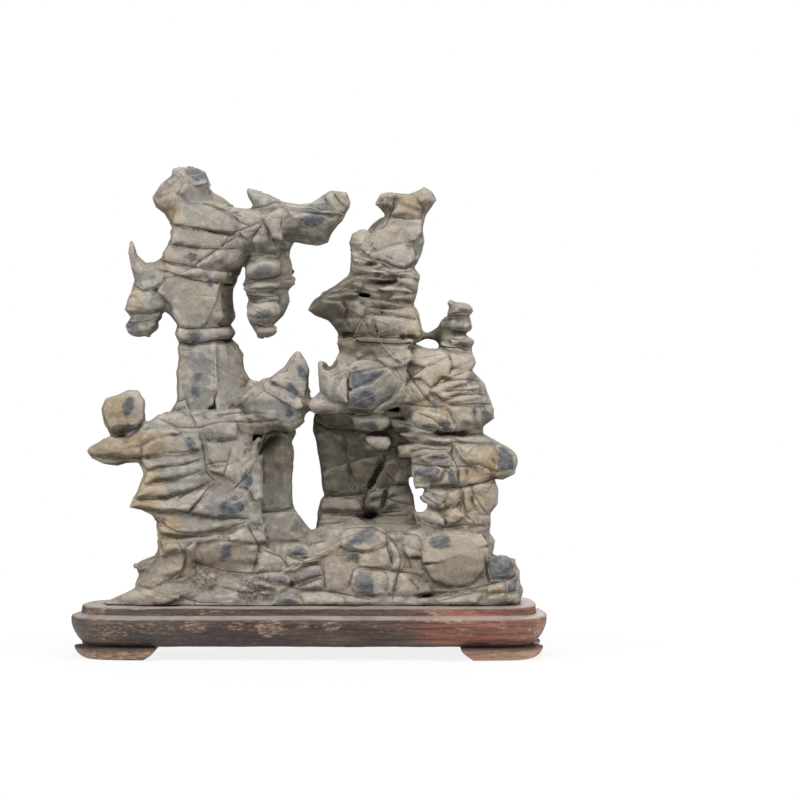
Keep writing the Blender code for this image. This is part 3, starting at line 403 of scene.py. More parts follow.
    Block(0.9, (0.0, 0.1), 0.7, 0.7, ((10.3, 100.7), (12.3, 99.8), (15.3, 99.0), (17.5, 98.5),
        (17.7, 97.8), (16.3, 97.5), (13.8, 98.5), (10.8, 99.0))),
    Block(1.2, (0.0, 0.1), 0.8, 0.9, ((10.3, 98.5), (13.5, 98.0), (16.5, 97.0), (19.7, 97.0), (19.5, 96.5),
        (17.3, 95.8), (14.3, 95.5), (10.3, 95.8))),
    Block(1.5, (0.1, 0.05), 0.7, 0.8, ((20.0, 96.8), (24.7, 97.0), (27.2, 96.0), (26.9, 94.8),
        (23.2, 95.3), (19.2, 95.5), (17.5, 95.3), (19.7, 96.0))),
    Block(1.4, (-0.05, 0.15), 0.6, 0.7, ((10.6, 95.0), (12.3, 95.3), (16.3, 95.0), (19.7, 94.6),
        (21.0, 94.3), (19.2, 93.3), (17.3, 94.1), (14.3, 94.6))),
    Block(1.2, (0.15, 0.0), 0.7, 0.8, ((21.5, 94.8), (25.2, 94.6), (26.4, 93.6), (26.4, 91.8),
        (24.2, 92.6), (21.7, 93.3))),
    Block(1.5, (-0.1, 0.0), 0.6, 0.8, ((10.6, 93.8), (12.8, 93.6), (13.0, 92.1), (11.3, 91.8),
        (10.6, 92.6))),
    Block(1.7, (0.05, 0.15), 0.7, 0.7, ((16.8, 92.3), (19.7, 92.8), (23.4, 92.3), (25.4, 91.3),
        (22.2, 91.1), (18.7, 91.3))),
    Block(0.1, (0.0, -0.1), 0.6, 0.7, ((13.5, 92.8), (16.5, 92.1), (18.7, 90.8), (23.2, 90.3),
        (20.7, 89.9), (16.3, 90.1), (12.8, 91.1))),
    Block(1.5, (0.1, 0.05), 0.7, 0.8, ((20.7, 90.3), (24.7, 91.1), (26.2, 90.8), (25.9, 89.4),
        (22.7, 88.9), (19.7, 89.4))),
    Block(1.0, (0.0, 0.1), 0.6, 0.7, ((15.3, 89.4), (18.7, 89.4), (22.2, 88.4), (24.9, 88.1), (22.7, 87.6),
        (18.7, 87.9), (15.8, 88.4))),
    Block(1.4, (0.1, 0.05), 0.8, 0.9, ((17.7, 86.9), (21.2, 87.4), (24.9, 87.4), (26.7, 86.4),
        (26.9, 84.9), (23.2, 84.9), (20.2, 85.9))),
    Block(1.4, (-0.15, 0.0), 0.8, 1.2, ((8.8, 89.4), (11.8, 88.9), (13.3, 87.4), (12.8, 85.4), (9.3, 85.1),
        (8.6, 86.9))),
    # Wing
    Block(0.0, (-0.3, -0.15), 0.9, 1.8, ((-0.6, 87.1), (2.4, 89.6), (7.4, 88.9), (8.6, 86.9), (8.3, 84.9),
        (4.9, 84.4), (1.9, 85.4))),
    Block(-0.8, (-0.1, -0.35), 0.8, 1.2, ((4.9, 84.2), (8.3, 84.7), (10.6, 81.7), (10.3, 80.4),
        (7.6, 81.2), (6.4, 82.7))),
    Block(0.6, (-0.15, 0.2), 0.5, 0.6, ((2.6, 90.1), (6.4, 90.8), (9.8, 91.6), (11.8, 90.8), (9.1, 90.1),
        (5.4, 89.9))),
    Block(0.5, (-0.15, 0.2), 0.5, 0.5, ((5.1, 91.6), (7.8, 92.6), (11.6, 91.8), (8.6, 91.3))),
    Block(0.3, (-0.2, 0.2), 0.5, 0.6, ((6.9, 92.8), (9.3, 94.6), (10.6, 93.3), (9.8, 92.3), (8.1, 92.6))),
    # Tower base
    Block(0.8, (-0.1, 0.0), 0.7, 1.0, ((9.1, 84.7), (12.3, 84.9), (11.6, 81.2), (10.6, 81.2))),
    Block(0.7, (-0.05, 0.0), 0.8, 0.9, ((12.5, 84.7), (13.8, 83.2), (14.3, 80.7), (11.8, 80.4),
        (11.6, 81.4))),
    Block(1.0, (0.0, 0.0), 0.8, 0.9, ((14.3, 85.1), (15.3, 85.1), (16.5, 80.9), (14.8, 80.4))),
    Block(1.6, (0.05, 0.03), 0.8, 1.2, ((15.8, 85.4), (21.0, 85.6), (24.2, 84.7), (26.9, 84.4),
        (27.6, 81.9), (26.7, 80.2), (22.2, 80.7), (17.0, 80.9))),
    Block(1.0, (0.0, 0.1), 0.6, 0.6, ((11.6, 79.7), (15.3, 80.0), (25.2, 79.5), (25.2, 79.0), (16.8, 79.0),
        (12.8, 79.0))),
    # Overhang
    Block(0.6, (-0.25, 0.0), 1.0, 2.0, ((2.2, 73.5), (3.4, 74.3), (4.4, 72.5), (4.9, 70.0), (7.4, 69.6),
        (8.8, 70.0), (8.8, 65.8), (9.1, 63.9), (4.9, 65.1), (2.9, 67.1), (2.2, 69.6))),
    Block(0.9, (0.0, 0.25), 0.8, 1.2, ((9.8, 74.0), (12.3, 74.5), (16.0, 74.5), (18.7, 73.0), (16.8, 72.5),
        (11.8, 71.8), (9.8, 71.5))),
    Block(1.4, (-0.05, 0.08), 0.8, 1.3, ((10.1, 71.0), (14.8, 72.0), (19.0, 72.3), (17.3, 70.3),
        (14.3, 68.6), (11.1, 66.8), (9.8, 68.1))),
    Block(1.9, (0.0, -0.2), 1.0, 1.6, ((9.8, 66.3), (11.8, 67.1), (15.3, 68.6), (18.2, 70.3), (19.7, 71.8),
        (21.2, 69.6), (22.0, 68.1), (20.2, 66.1), (17.3, 64.1), (15.3, 62.6), (12.8, 62.4), (10.8, 62.9),
        (9.8, 64.6))),
    Block(1.0, (0.05, -0.1), 0.7, 0.8, ((15.8, 61.4), (17.7, 63.4), (20.0, 64.9), (22.2, 66.3),
        (22.2, 65.3), (20.0, 63.1), (17.3, 61.4))),
    Block(0.8, (0.0, 0.1), 0.9, 1.0, ((11.1, 76.5), (11.6, 77.7), (14.3, 77.7), (14.8, 76.7), (12.8, 75.5),
        (11.6, 75.2))),
    Block(0.9, (0.0, 0.1), 0.8, 1.0, ((15.0, 77.5), (17.3, 78.0), (19.7, 75.5), (21.5, 72.8), (19.2, 73.0),
        (16.8, 74.8))),
    Block(0.7, (0.0, 0.15), 0.7, 0.9, ((18.0, 78.0), (25.2, 78.2), (24.7, 77.0), (21.7, 76.5),
        (19.2, 75.7))),
    Block(1.0, (0.0, 0.05), 0.8, 1.0, ((20.0, 75.2), (24.2, 77.0), (25.4, 75.0), (23.4, 73.5),
        (21.5, 73.0))),
    Block(1.2, (0.05, 0.05), 0.9, 1.2, ((18.7, 62.1), (21.0, 63.1), (24.9, 63.6), (26.2, 61.9),
        (23.4, 60.4), (20.2, 59.9), (17.0, 60.9))),
    Block(1.0, (0.0, 0.0), 0.9, 1.2, ((21.7, 67.6), (23.7, 67.6), (25.2, 66.3), (26.7, 64.9), (23.4, 64.1),
        (21.2, 63.9), (20.2, 65.1))),
    # Shoulder
    Block(1.0, (0.0, 0.15), 0.9, 1.6, ((25.7, 77.7), (32.1, 76.7), (34.3, 75.7), (32.1, 74.5),
        (28.4, 73.0), (25.4, 74.0))),
    Block(0.8, (0.15, 0.05), 1.0, 1.4, ((34.6, 76.2), (39.5, 76.2), (41.0, 74.5), (40.0, 72.5),
        (37.5, 72.3), (35.3, 73.0))),
    Block(1.2, (0.0, 0.05), 0.9, 1.5, ((28.4, 72.5), (32.1, 74.0), (34.3, 75.0), (35.1, 73.0),
        (34.1, 71.3), (31.6, 69.8), (29.9, 68.1), (27.2, 70.3), (25.2, 70.0))),
    Block(1.0, (0.0, 0.0), 0.9, 1.3, ((25.2, 69.6), (27.2, 69.8), (29.6, 67.6), (29.1, 65.6), (27.2, 65.1),
        (25.2, 66.3), (23.2, 67.8))),
    Block(1.3, (0.05, 0.1), 1.0, 1.4, ((35.8, 72.3), (38.5, 72.0), (41.3, 71.3), (41.8, 70.0),
        (40.0, 68.8), (37.1, 68.3), (35.1, 69.8), (33.6, 70.5))),
    Block(1.1, (-0.05, 0.15), 0.8, 1.0, ((29.9, 67.1), (32.1, 69.1), (35.1, 69.6), (37.1, 69.3),
        (36.6, 68.1), (33.3, 67.3), (31.4, 66.6))),
    Block(1.1, (0.0, 0.15), 0.7, 0.8, ((31.6, 66.3), (35.8, 67.6), (40.5, 68.3), (41.8, 68.1),
        (41.5, 67.1), (37.5, 66.3), (33.3, 64.9))),
    Block(1.0, (0.0, 0.15), 0.7, 0.7, ((33.8, 64.4), (37.5, 65.8), (41.5, 66.8), (41.8, 65.3),
        (38.5, 64.4), (35.6, 63.9))),
    Block(0.9, (0.05, 0.1), 0.6, 0.7, ((35.3, 63.4), (39.5, 64.4), (43.5, 64.9), (43.2, 63.6),
        (39.5, 63.4))),
    Block(0.2, (0.3, 0.0), 0.8, 1.2, ((42.0, 69.1), (43.0, 69.3), (44.2, 66.1), (45.5, 61.9), (45.5, 60.1),
        (43.7, 62.1), (42.5, 65.6))),
    Block(0.6, (0.0, -0.1), 0.6, 0.8, ((29.4, 65.6), (30.6, 65.3), (31.6, 63.9), (32.1, 62.1),
        (31.1, 61.4), (29.9, 63.4))),
    Block(1.2, (0.0, 0.0), 0.9, 1.3, ((33.8, 63.1), (40.5, 62.9), (40.5, 60.6), (40.3, 58.7), (37.1, 58.7),
        (35.3, 60.4))),
    Block(0.9, (0.2, -0.05), 0.9, 1.3, ((41.0, 62.6), (43.2, 62.6), (45.2, 61.4), (45.5, 59.7),
        (42.5, 57.7), (40.8, 59.2))),
    Block(1.3, (-0.05, -0.05), 0.9, 1.3, ((25.4, 61.6), (28.4, 61.9), (32.1, 61.1), (32.1, 58.7),
        (31.1, 57.2), (27.2, 57.7), (25.2, 59.4))),
    Block(1.3, (0.05, -0.1), 0.9, 1.1, ((32.6, 60.6), (35.1, 59.4), (36.1, 57.2), (34.6, 56.7),
        (32.4, 57.2), (32.1, 58.9))),
    Block(0.8, (0.0, -0.05), 0.8, 1.1, ((20.2, 59.7), (24.7, 59.4), (26.7, 57.4), (30.6, 56.4),
        (25.7, 56.4), (21.2, 57.2))),
    Block(0.6, (0.05, 0.0), 0.7, 0.9, ((36.6, 58.2), (40.5, 58.4), (41.0, 56.9), (40.5, 56.2),
        (36.8, 56.4))),
    # Leg
    Block(1.0, (0.0, 0.1), 0.7, 0.8, ((22.2, 56.2), (25.2, 56.4), (30.1, 55.4), (34.6, 55.0), (34.6, 54.0),
        (29.6, 54.2), (24.7, 54.7))),
    Block(1.1, (0.0, 0.1), 0.7, 0.8, ((21.7, 53.0), (27.2, 53.7), (32.1, 53.0), (34.6, 52.5), (34.6, 51.7),
        (29.6, 51.7), (24.7, 50.7), (22.2, 50.7))),
    Block(1.5, (0.0, 0.05), 0.8, 0.9, ((27.4, 50.5), (29.6, 51.5), (33.6, 51.7), (34.3, 50.7),
        (32.1, 50.0), (29.1, 49.5))),
    Block(1.0, (0.0, 0.0), 0.6, 0.6, ((29.1, 49.0), (31.6, 49.5), (34.6, 50.2), (34.3, 48.5),
        (30.6, 48.5))),
    Block(1.6, (-0.1, 0.05), 1.0, 1.2, ((25.4, 47.0), (27.2, 48.0), (31.1, 48.3), (32.8, 47.3),
        (31.6, 45.0), (29.1, 44.1), (25.9, 44.3))),
    Block(1.3, (-0.1, -0.1), 0.8, 0.9, ((25.4, 43.8), (27.2, 44.1), (29.9, 43.6), (29.1, 42.6),
        (27.2, 42.1))),
    Block(1.3, (0.05, 0.0), 0.9, 1.1, ((32.1, 43.6), (33.3, 46.5), (35.1, 48.3), (36.6, 46.8),
        (36.1, 43.8), (34.6, 42.8))),
    Block(1.2, (0.05, 0.05), 1.0, 1.8, ((35.8, 53.2), (39.5, 54.0), (45.7, 53.5), (46.2, 50.7),
        (45.5, 47.8), (42.0, 47.8), (39.0, 49.0), (37.5, 50.7))),
    Block(1.0, (0.2, 0.0), 1.1, 1.8, ((46.2, 53.2), (48.4, 53.0), (50.2, 51.0), (50.9, 49.0), (50.4, 47.3),
        (48.9, 47.0), (46.0, 47.5), (46.5, 50.5))),
    Block(0.6, (0.15, -0.2), 0.7, 0.8, ((45.7, 45.8), (47.0, 46.8), (50.7, 46.8), (50.7, 46.0),
        (48.9, 45.3), (46.5, 45.0))),
    Block(0.0, (0.05, -0.3), 0.8, 1.2, ((38.5, 47.8), (42.0, 47.3), (43.7, 47.5), (44.7, 46.3),
        (44.0, 44.8), (40.0, 43.8), (39.0, 45.5))),
    Block(0.7, (0.05, 0.15), 0.7, 0.9, ((35.6, 55.7), (39.5, 55.4), (44.5, 55.4), (46.0, 54.5),
        (42.0, 54.2), (37.5, 54.5))),
    Block(1.0, (0.0, -0.1), 0.8, 1.0, ((36.6, 48.3), (38.0, 48.0), (39.0, 44.3), (39.0, 43.3),
        (37.1, 43.1), (36.3, 45.3))),
    Block(1.6, (-0.15, 0.1), 0.9, 0.9, ((27.4, 40.6), (29.1, 41.6), (31.6, 40.1), (33.1, 38.9),
        (32.8, 37.6), (31.1, 37.9), (28.9, 38.9))),
    Block(1.2, (0.0, 0.0), 0.8, 0.9, ((29.9, 42.1), (33.6, 42.3), (33.8, 40.8), (33.3, 39.1),
        (32.1, 40.1))),
    Block(1.5, (0.0, 0.05), 0.9, 1.1, ((34.1, 42.1), (36.6, 42.3), (37.1, 39.9), (35.8, 38.4),
        (33.8, 37.9), (33.6, 39.4))),
    Block(1.0, (0.05, 0.0), 0.9, 1.0, ((37.5, 42.6), (39.5, 42.8), (39.8, 39.9), (40.0, 37.9),
        (38.5, 36.9), (37.8, 39.4))),
    Block(0.9, (0.15, 0.0), 1.2, 2.2, ((40.5, 40.8), (43.7, 42.8), (46.2, 42.3), (46.5, 39.9),
        (46.0, 37.9), (44.5, 36.4), (42.0, 37.1), (40.8, 39.1))),
    Block(0.1, (0.05, -0.2), 0.7, 0.9, ((40.0, 43.1), (42.5, 43.8), (44.7, 44.1), (43.7, 42.6),
        (40.3, 41.1))),
    Block(1.4, (-0.1, 0.05), 1.0, 1.2, ((26.4, 36.1), (28.1, 37.1), (31.1, 36.9), (33.1, 34.9),
        (33.1, 33.4), (31.1, 33.4), (27.6, 34.7))),
    Block(1.6, (0.0, 0.05), 0.9, 1.1, ((33.6, 37.4), (36.1, 37.9), (38.3, 35.9), (35.8, 34.4),
        (34.1, 33.4), (33.3, 35.4))),
    Block(1.0, (0.0, 0.0), 0.8, 1.0, ((38.8, 36.4), (41.0, 36.1), (41.3, 33.9), (39.0, 33.9))),
    Block(0.7, (0.15, 0.0), 0.8, 1.0, ((41.8, 36.1), (44.5, 35.9), (44.7, 34.4), (41.8, 34.2))),
    # Wall
    Block(0.5, (0.05, -0.05), 0.7, 1.5, ((1.9, 56.2), (4.9, 56.9), (7.8, 55.2), (9.3, 49.3), (4.9, 47.8),
        (2.6, 46.8), (2.2, 52.2))),
    Block(0.7, (0.0, -0.05), 0.7, 1.1, ((8.6, 55.0), (10.3, 56.7), (13.8, 56.2), (15.3, 53.0),
        (16.3, 51.5), (12.3, 50.2), (9.6, 49.3))),
    Block(0.7, (0.0, -0.05), 0.8, 1.5, ((2.9, 46.3), (5.4, 47.8), (9.3, 48.8), (9.8, 46.3), (11.1, 42.6),
        (8.3, 41.3), (3.9, 41.1))),
    Block(0.8, (0.1, -0.05), 0.9, 1.5, ((10.1, 48.8), (12.8, 49.8), (16.8, 50.5), (16.3, 47.8),
        (14.8, 43.8), (11.8, 42.8), (10.6, 45.8))),
    Block(0.7, (0.05, -0.05), 0.9, 1.3, ((17.7, 48.8), (21.2, 49.8), (22.0, 47.8), (20.5, 45.0),
        (18.7, 43.8), (15.5, 43.3), (16.5, 46.8))),
    Block(0.3, (0.15, -0.05), 0.7, 1.0, ((22.2, 47.3), (23.7, 47.3), (24.2, 44.3), (21.7, 43.8),
        (21.0, 44.8))),
    Block(1.6, (-0.05, 0.1), 1.1, 1.3, ((2.6, 39.1), (3.9, 40.6), (7.4, 40.8), (10.8, 40.8), (12.5, 38.6),
        (12.8, 37.1), (11.3, 36.4), (7.4, 36.6), (2.9, 37.6))),
    Block(2.0, (-0.05, 0.15), 1.0, 1.2, ((2.4, 35.6), (2.9, 36.4), (7.4, 36.1), (11.6, 35.6), (13.3, 34.2),
        (9.8, 33.4), (8.3, 32.4), (6.9, 31.2), (3.6, 30.0), (1.9, 32.4))),
    Block(1.3, (-0.05, -0.05), 0.9, 1.0, ((13.8, 41.6), (14.5, 42.6), (16.3, 42.8), (18.5, 43.1),
        (19.2, 42.3), (18.7, 40.6), (15.3, 39.4), (13.8, 39.1))),
    Block(1.0, (0.0, -0.1), 0.8, 0.9, ((13.8, 38.4), (18.0, 40.1), (17.3, 38.1), (14.5, 36.6))),
    Block(0.8, (0.1, 0.0), 0.7, 0.9, ((19.5, 42.1), (23.7, 43.6), (23.9, 42.3), (22.7, 41.1),
        (19.2, 40.8))),
    Block(0.9, (0.1, -0.05), 0.9, 1.1, ((18.7, 39.9), (23.4, 41.3), (23.9, 38.9), (18.0, 37.1))),
    Block(0.9, (0.1, 0.05), 0.7, 0.8, ((18.5, 36.6), (23.9, 38.1), (23.9, 36.6), (21.0, 36.1))),
    Block(1.5, (0.05, 0.2), 1.0, 1.3, ((16.0, 35.1), (18.2, 35.9), (23.2, 35.9), (24.9, 34.7),
        (27.4, 34.2), (24.9, 33.2), (23.2, 32.2), (18.7, 32.2), (17.0, 33.4))),
    Block(1.4, (-0.15, -0.15), 1.2, 1.8, ((1.4, 62.6), (3.6, 63.9), (6.9, 63.4), (9.8, 62.1), (10.6, 60.4),
        (10.1, 58.4), (8.6, 57.7), (5.9, 58.2), (3.1, 59.9))),
    Block(5.2, (0.0, 0.1), 1.1, 1.3, ((10.3, 60.6), (12.3, 61.4), (16.0, 61.1), (19.0, 60.6), (19.5, 59.7),
        (19.2, 58.4), (17.7, 57.2), (14.8, 56.9), (11.3, 57.7))),
    Block(5.0, (0.0, 0.0), 0.9, 0.9, ((13.8, 55.2), (15.3, 55.4), (19.2, 55.2), (19.5, 54.0), (19.0, 52.5),
        (16.8, 52.5), (15.0, 53.5))),
    # Inner lobe and back pillar
    Block(1.2, (-0.05, 0.1), 0.9, 1.1, ((-11.5, 68.3), (-10.5, 69.3), (-6.5, 67.3), (-2.8, 65.1),
        (-2.3, 63.1), (-3.5, 62.6), (-7.0, 64.6), (-10.7, 66.6))),
    Block(0.8, (0.1, 0.05), 1.1, 2.0, ((-5.5, 71.5), (-3.0, 76.2), (-1.8, 74.5), (-0.8, 72.0),
        (-0.6, 69.1), (-1.6, 65.6), (-3.0, 66.1), (-6.5, 68.1), (-10.0, 69.6), (-8.0, 71.0))),
    Block(0.3, (-0.05, -0.25), 0.9, 1.5, ((-13.9, 64.6), (-11.5, 66.6), (-7.5, 64.1), (-3.5, 62.1),
        (-2.5, 60.6), (-5.0, 59.7), (-10.0, 60.1), (-13.4, 61.6))),
    Block(0.3, (0.05, 0.0), 0.8, 1.8, ((-12.0, 55.7), (-7.5, 56.7), (-4.3, 54.7), (-3.8, 47.3),
        (-4.0, 39.9), (-5.5, 38.1), (-12.0, 37.4), (-12.0, 47.3))),
    Block(0.4, (0.05, 0.05), 0.8, 1.6, ((-11.7, 36.4), (-3.8, 36.6), (-1.8, 33.9), (-0.8, 31.9),
        (-3.0, 30.4), (-10.0, 30.2), (-12.0, 32.4))),
    # Ledge and boulder
    Block(0.8, (-0.1, 0.25), 1.0, 1.6, ((-54.5, 51.7), (-52.1, 54.2), (-48.3, 55.7), (-45.1, 53.7),
        (-42.2, 53.0), (-41.9, 50.7), (-47.1, 50.5), (-51.1, 50.2))),
    Block(0.9, (-0.05, -0.25), 0.8, 1.0, ((-54.0, 50.7), (-51.1, 49.8), (-46.6, 50.0), (-42.2, 50.0),
        (-42.2, 48.8), (-46.6, 49.0), (-49.6, 48.5), (-52.5, 49.3))),
    Block(0.9, (-0.05, 0.1), 0.8, 1.4, ((-47.6, 56.2), (-42.2, 57.2), (-34.2, 57.4), (-32.7, 56.4),
        (-37.2, 55.7), (-41.4, 53.5), (-45.1, 54.2))),
    Block(1.3, (0.05, 0.08), 0.9, 1.4, ((-41.4, 53.2), (-37.2, 55.4), (-32.7, 56.2), (-27.3, 56.4),
        (-26.8, 54.0), (-27.3, 52.2), (-34.7, 51.0), (-41.4, 50.5))),
    Block(1.2, (-0.06, 0.04), 1.2, 2.6, ((-51.3, 64.6), (-49.1, 66.3), (-43.4, 67.1), (-41.7, 66.1),
        (-41.2, 63.1), (-41.4, 60.1), (-43.9, 58.5), (-49.6, 58.2), (-51.1, 60.9))),
    Block(0.9, (0.0, -0.3), 0.9, 1.2, ((-49.3, 57.7), (-47.1, 58.2), (-43.9, 58.2), (-41.9, 59.4),
        (-43.1, 56.9), (-45.6, 55.9), (-48.1, 56.2))),
    # Skirt
    Block(1.0, (0.02, 0.2), 0.8, 1.0, ((-41.7, 50.0), (-34.7, 50.5), (-26.6, 51.7), (-26.1, 49.8),
        (-39.7, 47.5), (-40.7, 48.3))),
    Block(1.1, (0.02, 0.2), 0.8, 1.0, ((-40.2, 46.8), (-26.3, 49.3), (-25.6, 47.0), (-40.7, 44.3))),
    Block(1.3, (0.02, 0.22), 0.9, 1.1, ((-41.7, 43.6), (-25.6, 46.5), (-25.1, 44.8), (-30.8, 42.1),
        (-35.5, 40.8), (-42.6, 40.6), (-43.1, 41.8))),
    Block(1.3, (0.02, 0.25), 0.9, 1.2, ((-44.4, 38.4), (-42.6, 39.6), (-35.5, 39.9), (-30.3, 41.3),
        (-24.3, 44.3), (-21.4, 45.5), (-23.8, 43.1), (-28.3, 39.1), (-30.5, 37.1), (-37.2, 37.4))),
    Block(1.5, (0.05, 0.1), 1.0, 1.7, ((-29.8, 36.6), (-27.8, 39.1), (-23.3, 43.1), (-19.9, 44.8),
        (-19.4, 42.1), (-16.7, 39.9), (-15.9, 35.6), (-23.6, 35.6))),
    Block(1.0, (0.02, 0.2), 0.8, 1.1, ((-37.9, 36.4), (-31.0, 35.4), (-23.6, 35.1), (-15.9, 34.7),
        (-15.4, 33.9), (-21.9, 32.4), (-31.0, 31.2), (-36.7, 31.4), (-37.9, 33.7))),
    Block(1.0, (0.0, 0.15), 0.8, 1.1, ((-37.0, 30.2), (-31.0, 30.4), (-26.1, 30.9), (-21.4, 31.4),
        (-21.9, 30.0), (-27.3, 29.7), (-30.5, 28.7), (-31.3, 27.2), (-36.0, 27.2))),
    Block(0.9, (-0.05, 0.0), 0.9, 1.4, ((-26.3, 58.7), (-23.8, 59.7), (-21.4, 59.7), (-18.4, 58.9),
        (-18.4, 55.7), (-20.9, 54.7), (-24.6, 54.7), (-25.8, 55.7))),
    Block(0.8, (0.05, 0.0), 0.9, 1.4, ((-25.6, 54.0), (-21.9, 54.2), (-18.4, 54.7), (-15.9, 53.7),
        (-16.9, 50.7), (-19.9, 48.8), (-23.3, 48.3), (-25.1, 50.2))),
    Block(0.9, (0.15, -0.1), 0.9, 1.3, ((-24.6, 47.3), (-21.9, 47.8), (-17.9, 49.3), (-15.4, 51.7),
        (-12.9, 55.2), (-12.0, 54.7), (-13.4, 49.8), (-16.4, 46.8), (-18.9, 44.8), (-21.9, 46.3))),
    Block(1.3, (-0.1, 0.1), 0.9, 1.2, ((-16.4, 47.3), (-14.4, 49.8), (-12.0, 51.0), (-12.0, 46.0),
        (-12.0, 40.8), (-13.4, 39.9), (-15.4, 43.3), (-18.4, 43.8))),
    Block(0.8, (0.05, 0.0), 0.8, 1.0, ((-15.4, 39.1), (-12.5, 40.1), (-12.2, 35.9), (-12.0, 34.2),
        (-14.9, 34.4))),
    Block(1.0, (0.0, 0.1), 0.8, 1.3, ((-18.4, 60.1), (-14.9, 61.1), (-12.0, 59.7), (-9.0, 58.7),
        (-10.5, 56.7), (-14.4, 56.2), (-17.4, 57.2))),
    # Base
    Block(1.2, (0.02, 0.15), 0.9, 1.3, ((-20.1, 30.9), (-17.4, 32.4), (-14.9, 33.4), (-11.5, 33.7),
        (-11.2, 30.0), (-12.9, 29.2), (-19.6, 29.7))),
    Block(1.1, (-0.05, -0.05), 0.9, 2.4, ((-28.0, 28.0), (-21.9, 29.5), (-13.4, 28.7), (-12.9, 26.7),
        (-13.9, 22.5), (-16.2, 21.5), (-21.9, 22.0), (-26.1, 23.3), (-28.0, 25.0))),
    Block(1.2, (0.1, 0.0), 0.9, 1.4, ((-12.7, 27.7), (-12.0, 28.5), (-10.2, 27.7), (-7.3, 25.0),
        (-7.5, 23.0), (-10.0, 22.5), (-13.2, 22.5))),
    Block(0.2, (-0.05, -0.25), 0.9, 1.5, ((-30.8, 28.2), (-28.3, 29.2), (-28.3, 25.0), (-29.0, 21.0),
        (-32.3, 20.0), (-34.5, 20.0), (-31.5, 23.0), (-30.8, 26.0))),
    Block(1.2, (-0.1, 0.05), 0.9, 1.8, ((-38.9, 24.5), (-36.0, 26.7), (-31.3, 27.0), (-31.3, 23.8),
        (-33.2, 20.8), (-36.7, 19.1), (-39.2, 18.1), (-40.9, 19.3), (-40.2, 22.0))),
    Block(0.8, (-0.15, 0.3), 0.6, 0.7, ((-43.4, 23.8), (-39.7, 25.7), (-36.7, 26.7), (-39.2, 24.3),
        (-42.2, 22.5))),
    Block(0.9, (-0.1, 0.15), 0.9, 1.5, ((-51.1, 14.9), (-44.6, 17.1), (-39.7, 17.6), (-32.7, 15.6),
        (-37.2, 14.1), (-50.1, 13.9))),
    Block(0.8, (0.0, 0.1), 0.9, 1.5, ((-39.2, 18.1), (-34.2, 19.3), (-28.8, 19.1), (-28.3, 16.6),
        (-32.3, 15.6), (-36.7, 16.8))),
    Block(0.7, (0.0, 0.1), 0.8, 1.2, ((-28.8, 15.6), (-26.1, 17.1), (-21.9, 18.1), (-17.9, 17.6),
        (-17.4, 15.1), (-22.4, 14.1), (-28.3, 14.1))),
    Block(1.5, (0.0, 0.0), 1.0, 1.3, ((-5.0, 27.7), (-3.3, 28.7), (-1.3, 28.7), (0.4, 27.5), (0.2, 26.0),
        (-1.6, 25.7), (-4.8, 26.2))),
    Block(1.3, (0.0, -0.05), 0.9, 1.1, ((-6.3, 25.0), (-5.5, 26.0), (-1.6, 25.2), (-2.5, 24.0),
        (-4.5, 23.3), (-6.0, 23.8))),
    Block(1.3, (0.05, 0.25), 0.8, 1.1, ((0.4, 27.7), (2.9, 29.5), (6.9, 30.2), (4.9, 27.7), (1.4, 26.0),
        (-2.5, 24.5), (-3.0, 23.5), (1.9, 25.0), (-1.3, 26.0))),
    Block(1.6, (0.0, 0.05), 1.0, 1.2, ((-3.8, 21.3), (-2.5, 23.0), (1.2, 23.5), (2.6, 22.8), (2.6, 21.0),
        (0.4, 19.8), (-2.5, 19.1))),
    Block(1.2, (0.0, 0.0), 0.8, 1.0, ((-3.3, 18.1), (-1.3, 18.8), (1.9, 20.3), (2.9, 19.8), (2.9, 18.1),
        (-0.1, 17.3))),
    Block(0.0, (0.0, 0.1), 0.9, 1.6, ((3.4, 23.0), (5.4, 24.3), (8.6, 23.5), (9.1, 20.5), (8.3, 17.6),
        (4.4, 17.6), (3.4, 20.0))),
    Block(1.3, (0.0, 0.05), 0.9, 1.1, ((-12.9, 21.5), (-10.0, 22.3), (-7.3, 22.3), (-5.0, 20.3),
        (-5.3, 19.3), (-8.0, 19.1), (-12.0, 20.3))),
    Block(1.0, (0.0, 0.0), 0.8, 0.9, ((-14.4, 19.8), (-12.0, 20.0), (-8.5, 18.6), (-5.5, 18.6),
        (-6.5, 17.8), (-10.5, 18.1), (-13.9, 18.6))),
    Block(1.4, (0.0, 0.1), 1.1, 1.5, ((-9.7, 14.1), (-8.7, 15.8), (-6.3, 17.1), (-3.8, 16.6), (-2.3, 15.1),
        (-1.8, 14.1))),
    Block(1.0, (0.0, 0.15), 0.7, 0.9, ((-2.5, 16.8), (0.9, 16.8), (4.9, 16.6), (8.6, 15.1), (7.4, 14.1),
        (-1.1, 14.1))),
    Block(0.8, (0.0, 0.2), 0.8, 1.0, ((1.9, 29.2), (5.4, 30.7), (8.8, 31.2), (7.8, 29.2), (4.9, 27.0),
        (0.4, 24.5), (-3.5, 22.5), (-6.5, 22.3), (-2.5, 24.3), (1.9, 26.7))),
    Block(1.6, (0.0, 0.1), 1.1, 1.4, ((7.8, 30.9), (9.1, 32.9), (11.8, 33.7), (15.3, 33.7), (17.7, 32.9),
        (19.0, 30.9), (19.2, 29.7), (17.3, 28.2), (13.8, 27.0), (9.8, 27.5), (7.8, 28.7))),
    Block(1.4, (0.0, 0.0), 1.0, 1.4, ((11.8, 26.5), (14.8, 27.2), (19.2, 28.5), (20.0, 26.0), (19.7, 23.8),
        (18.2, 22.8), (12.3, 22.8))),
    Block(1.4, (0.1, 0.05), 0.9, 1.1, ((19.5, 29.5), (20.7, 29.2), (22.2, 27.0), (23.2, 25.0),
        (22.9, 23.0), (21.7, 22.3), (20.2, 23.0), (20.5, 26.0))),
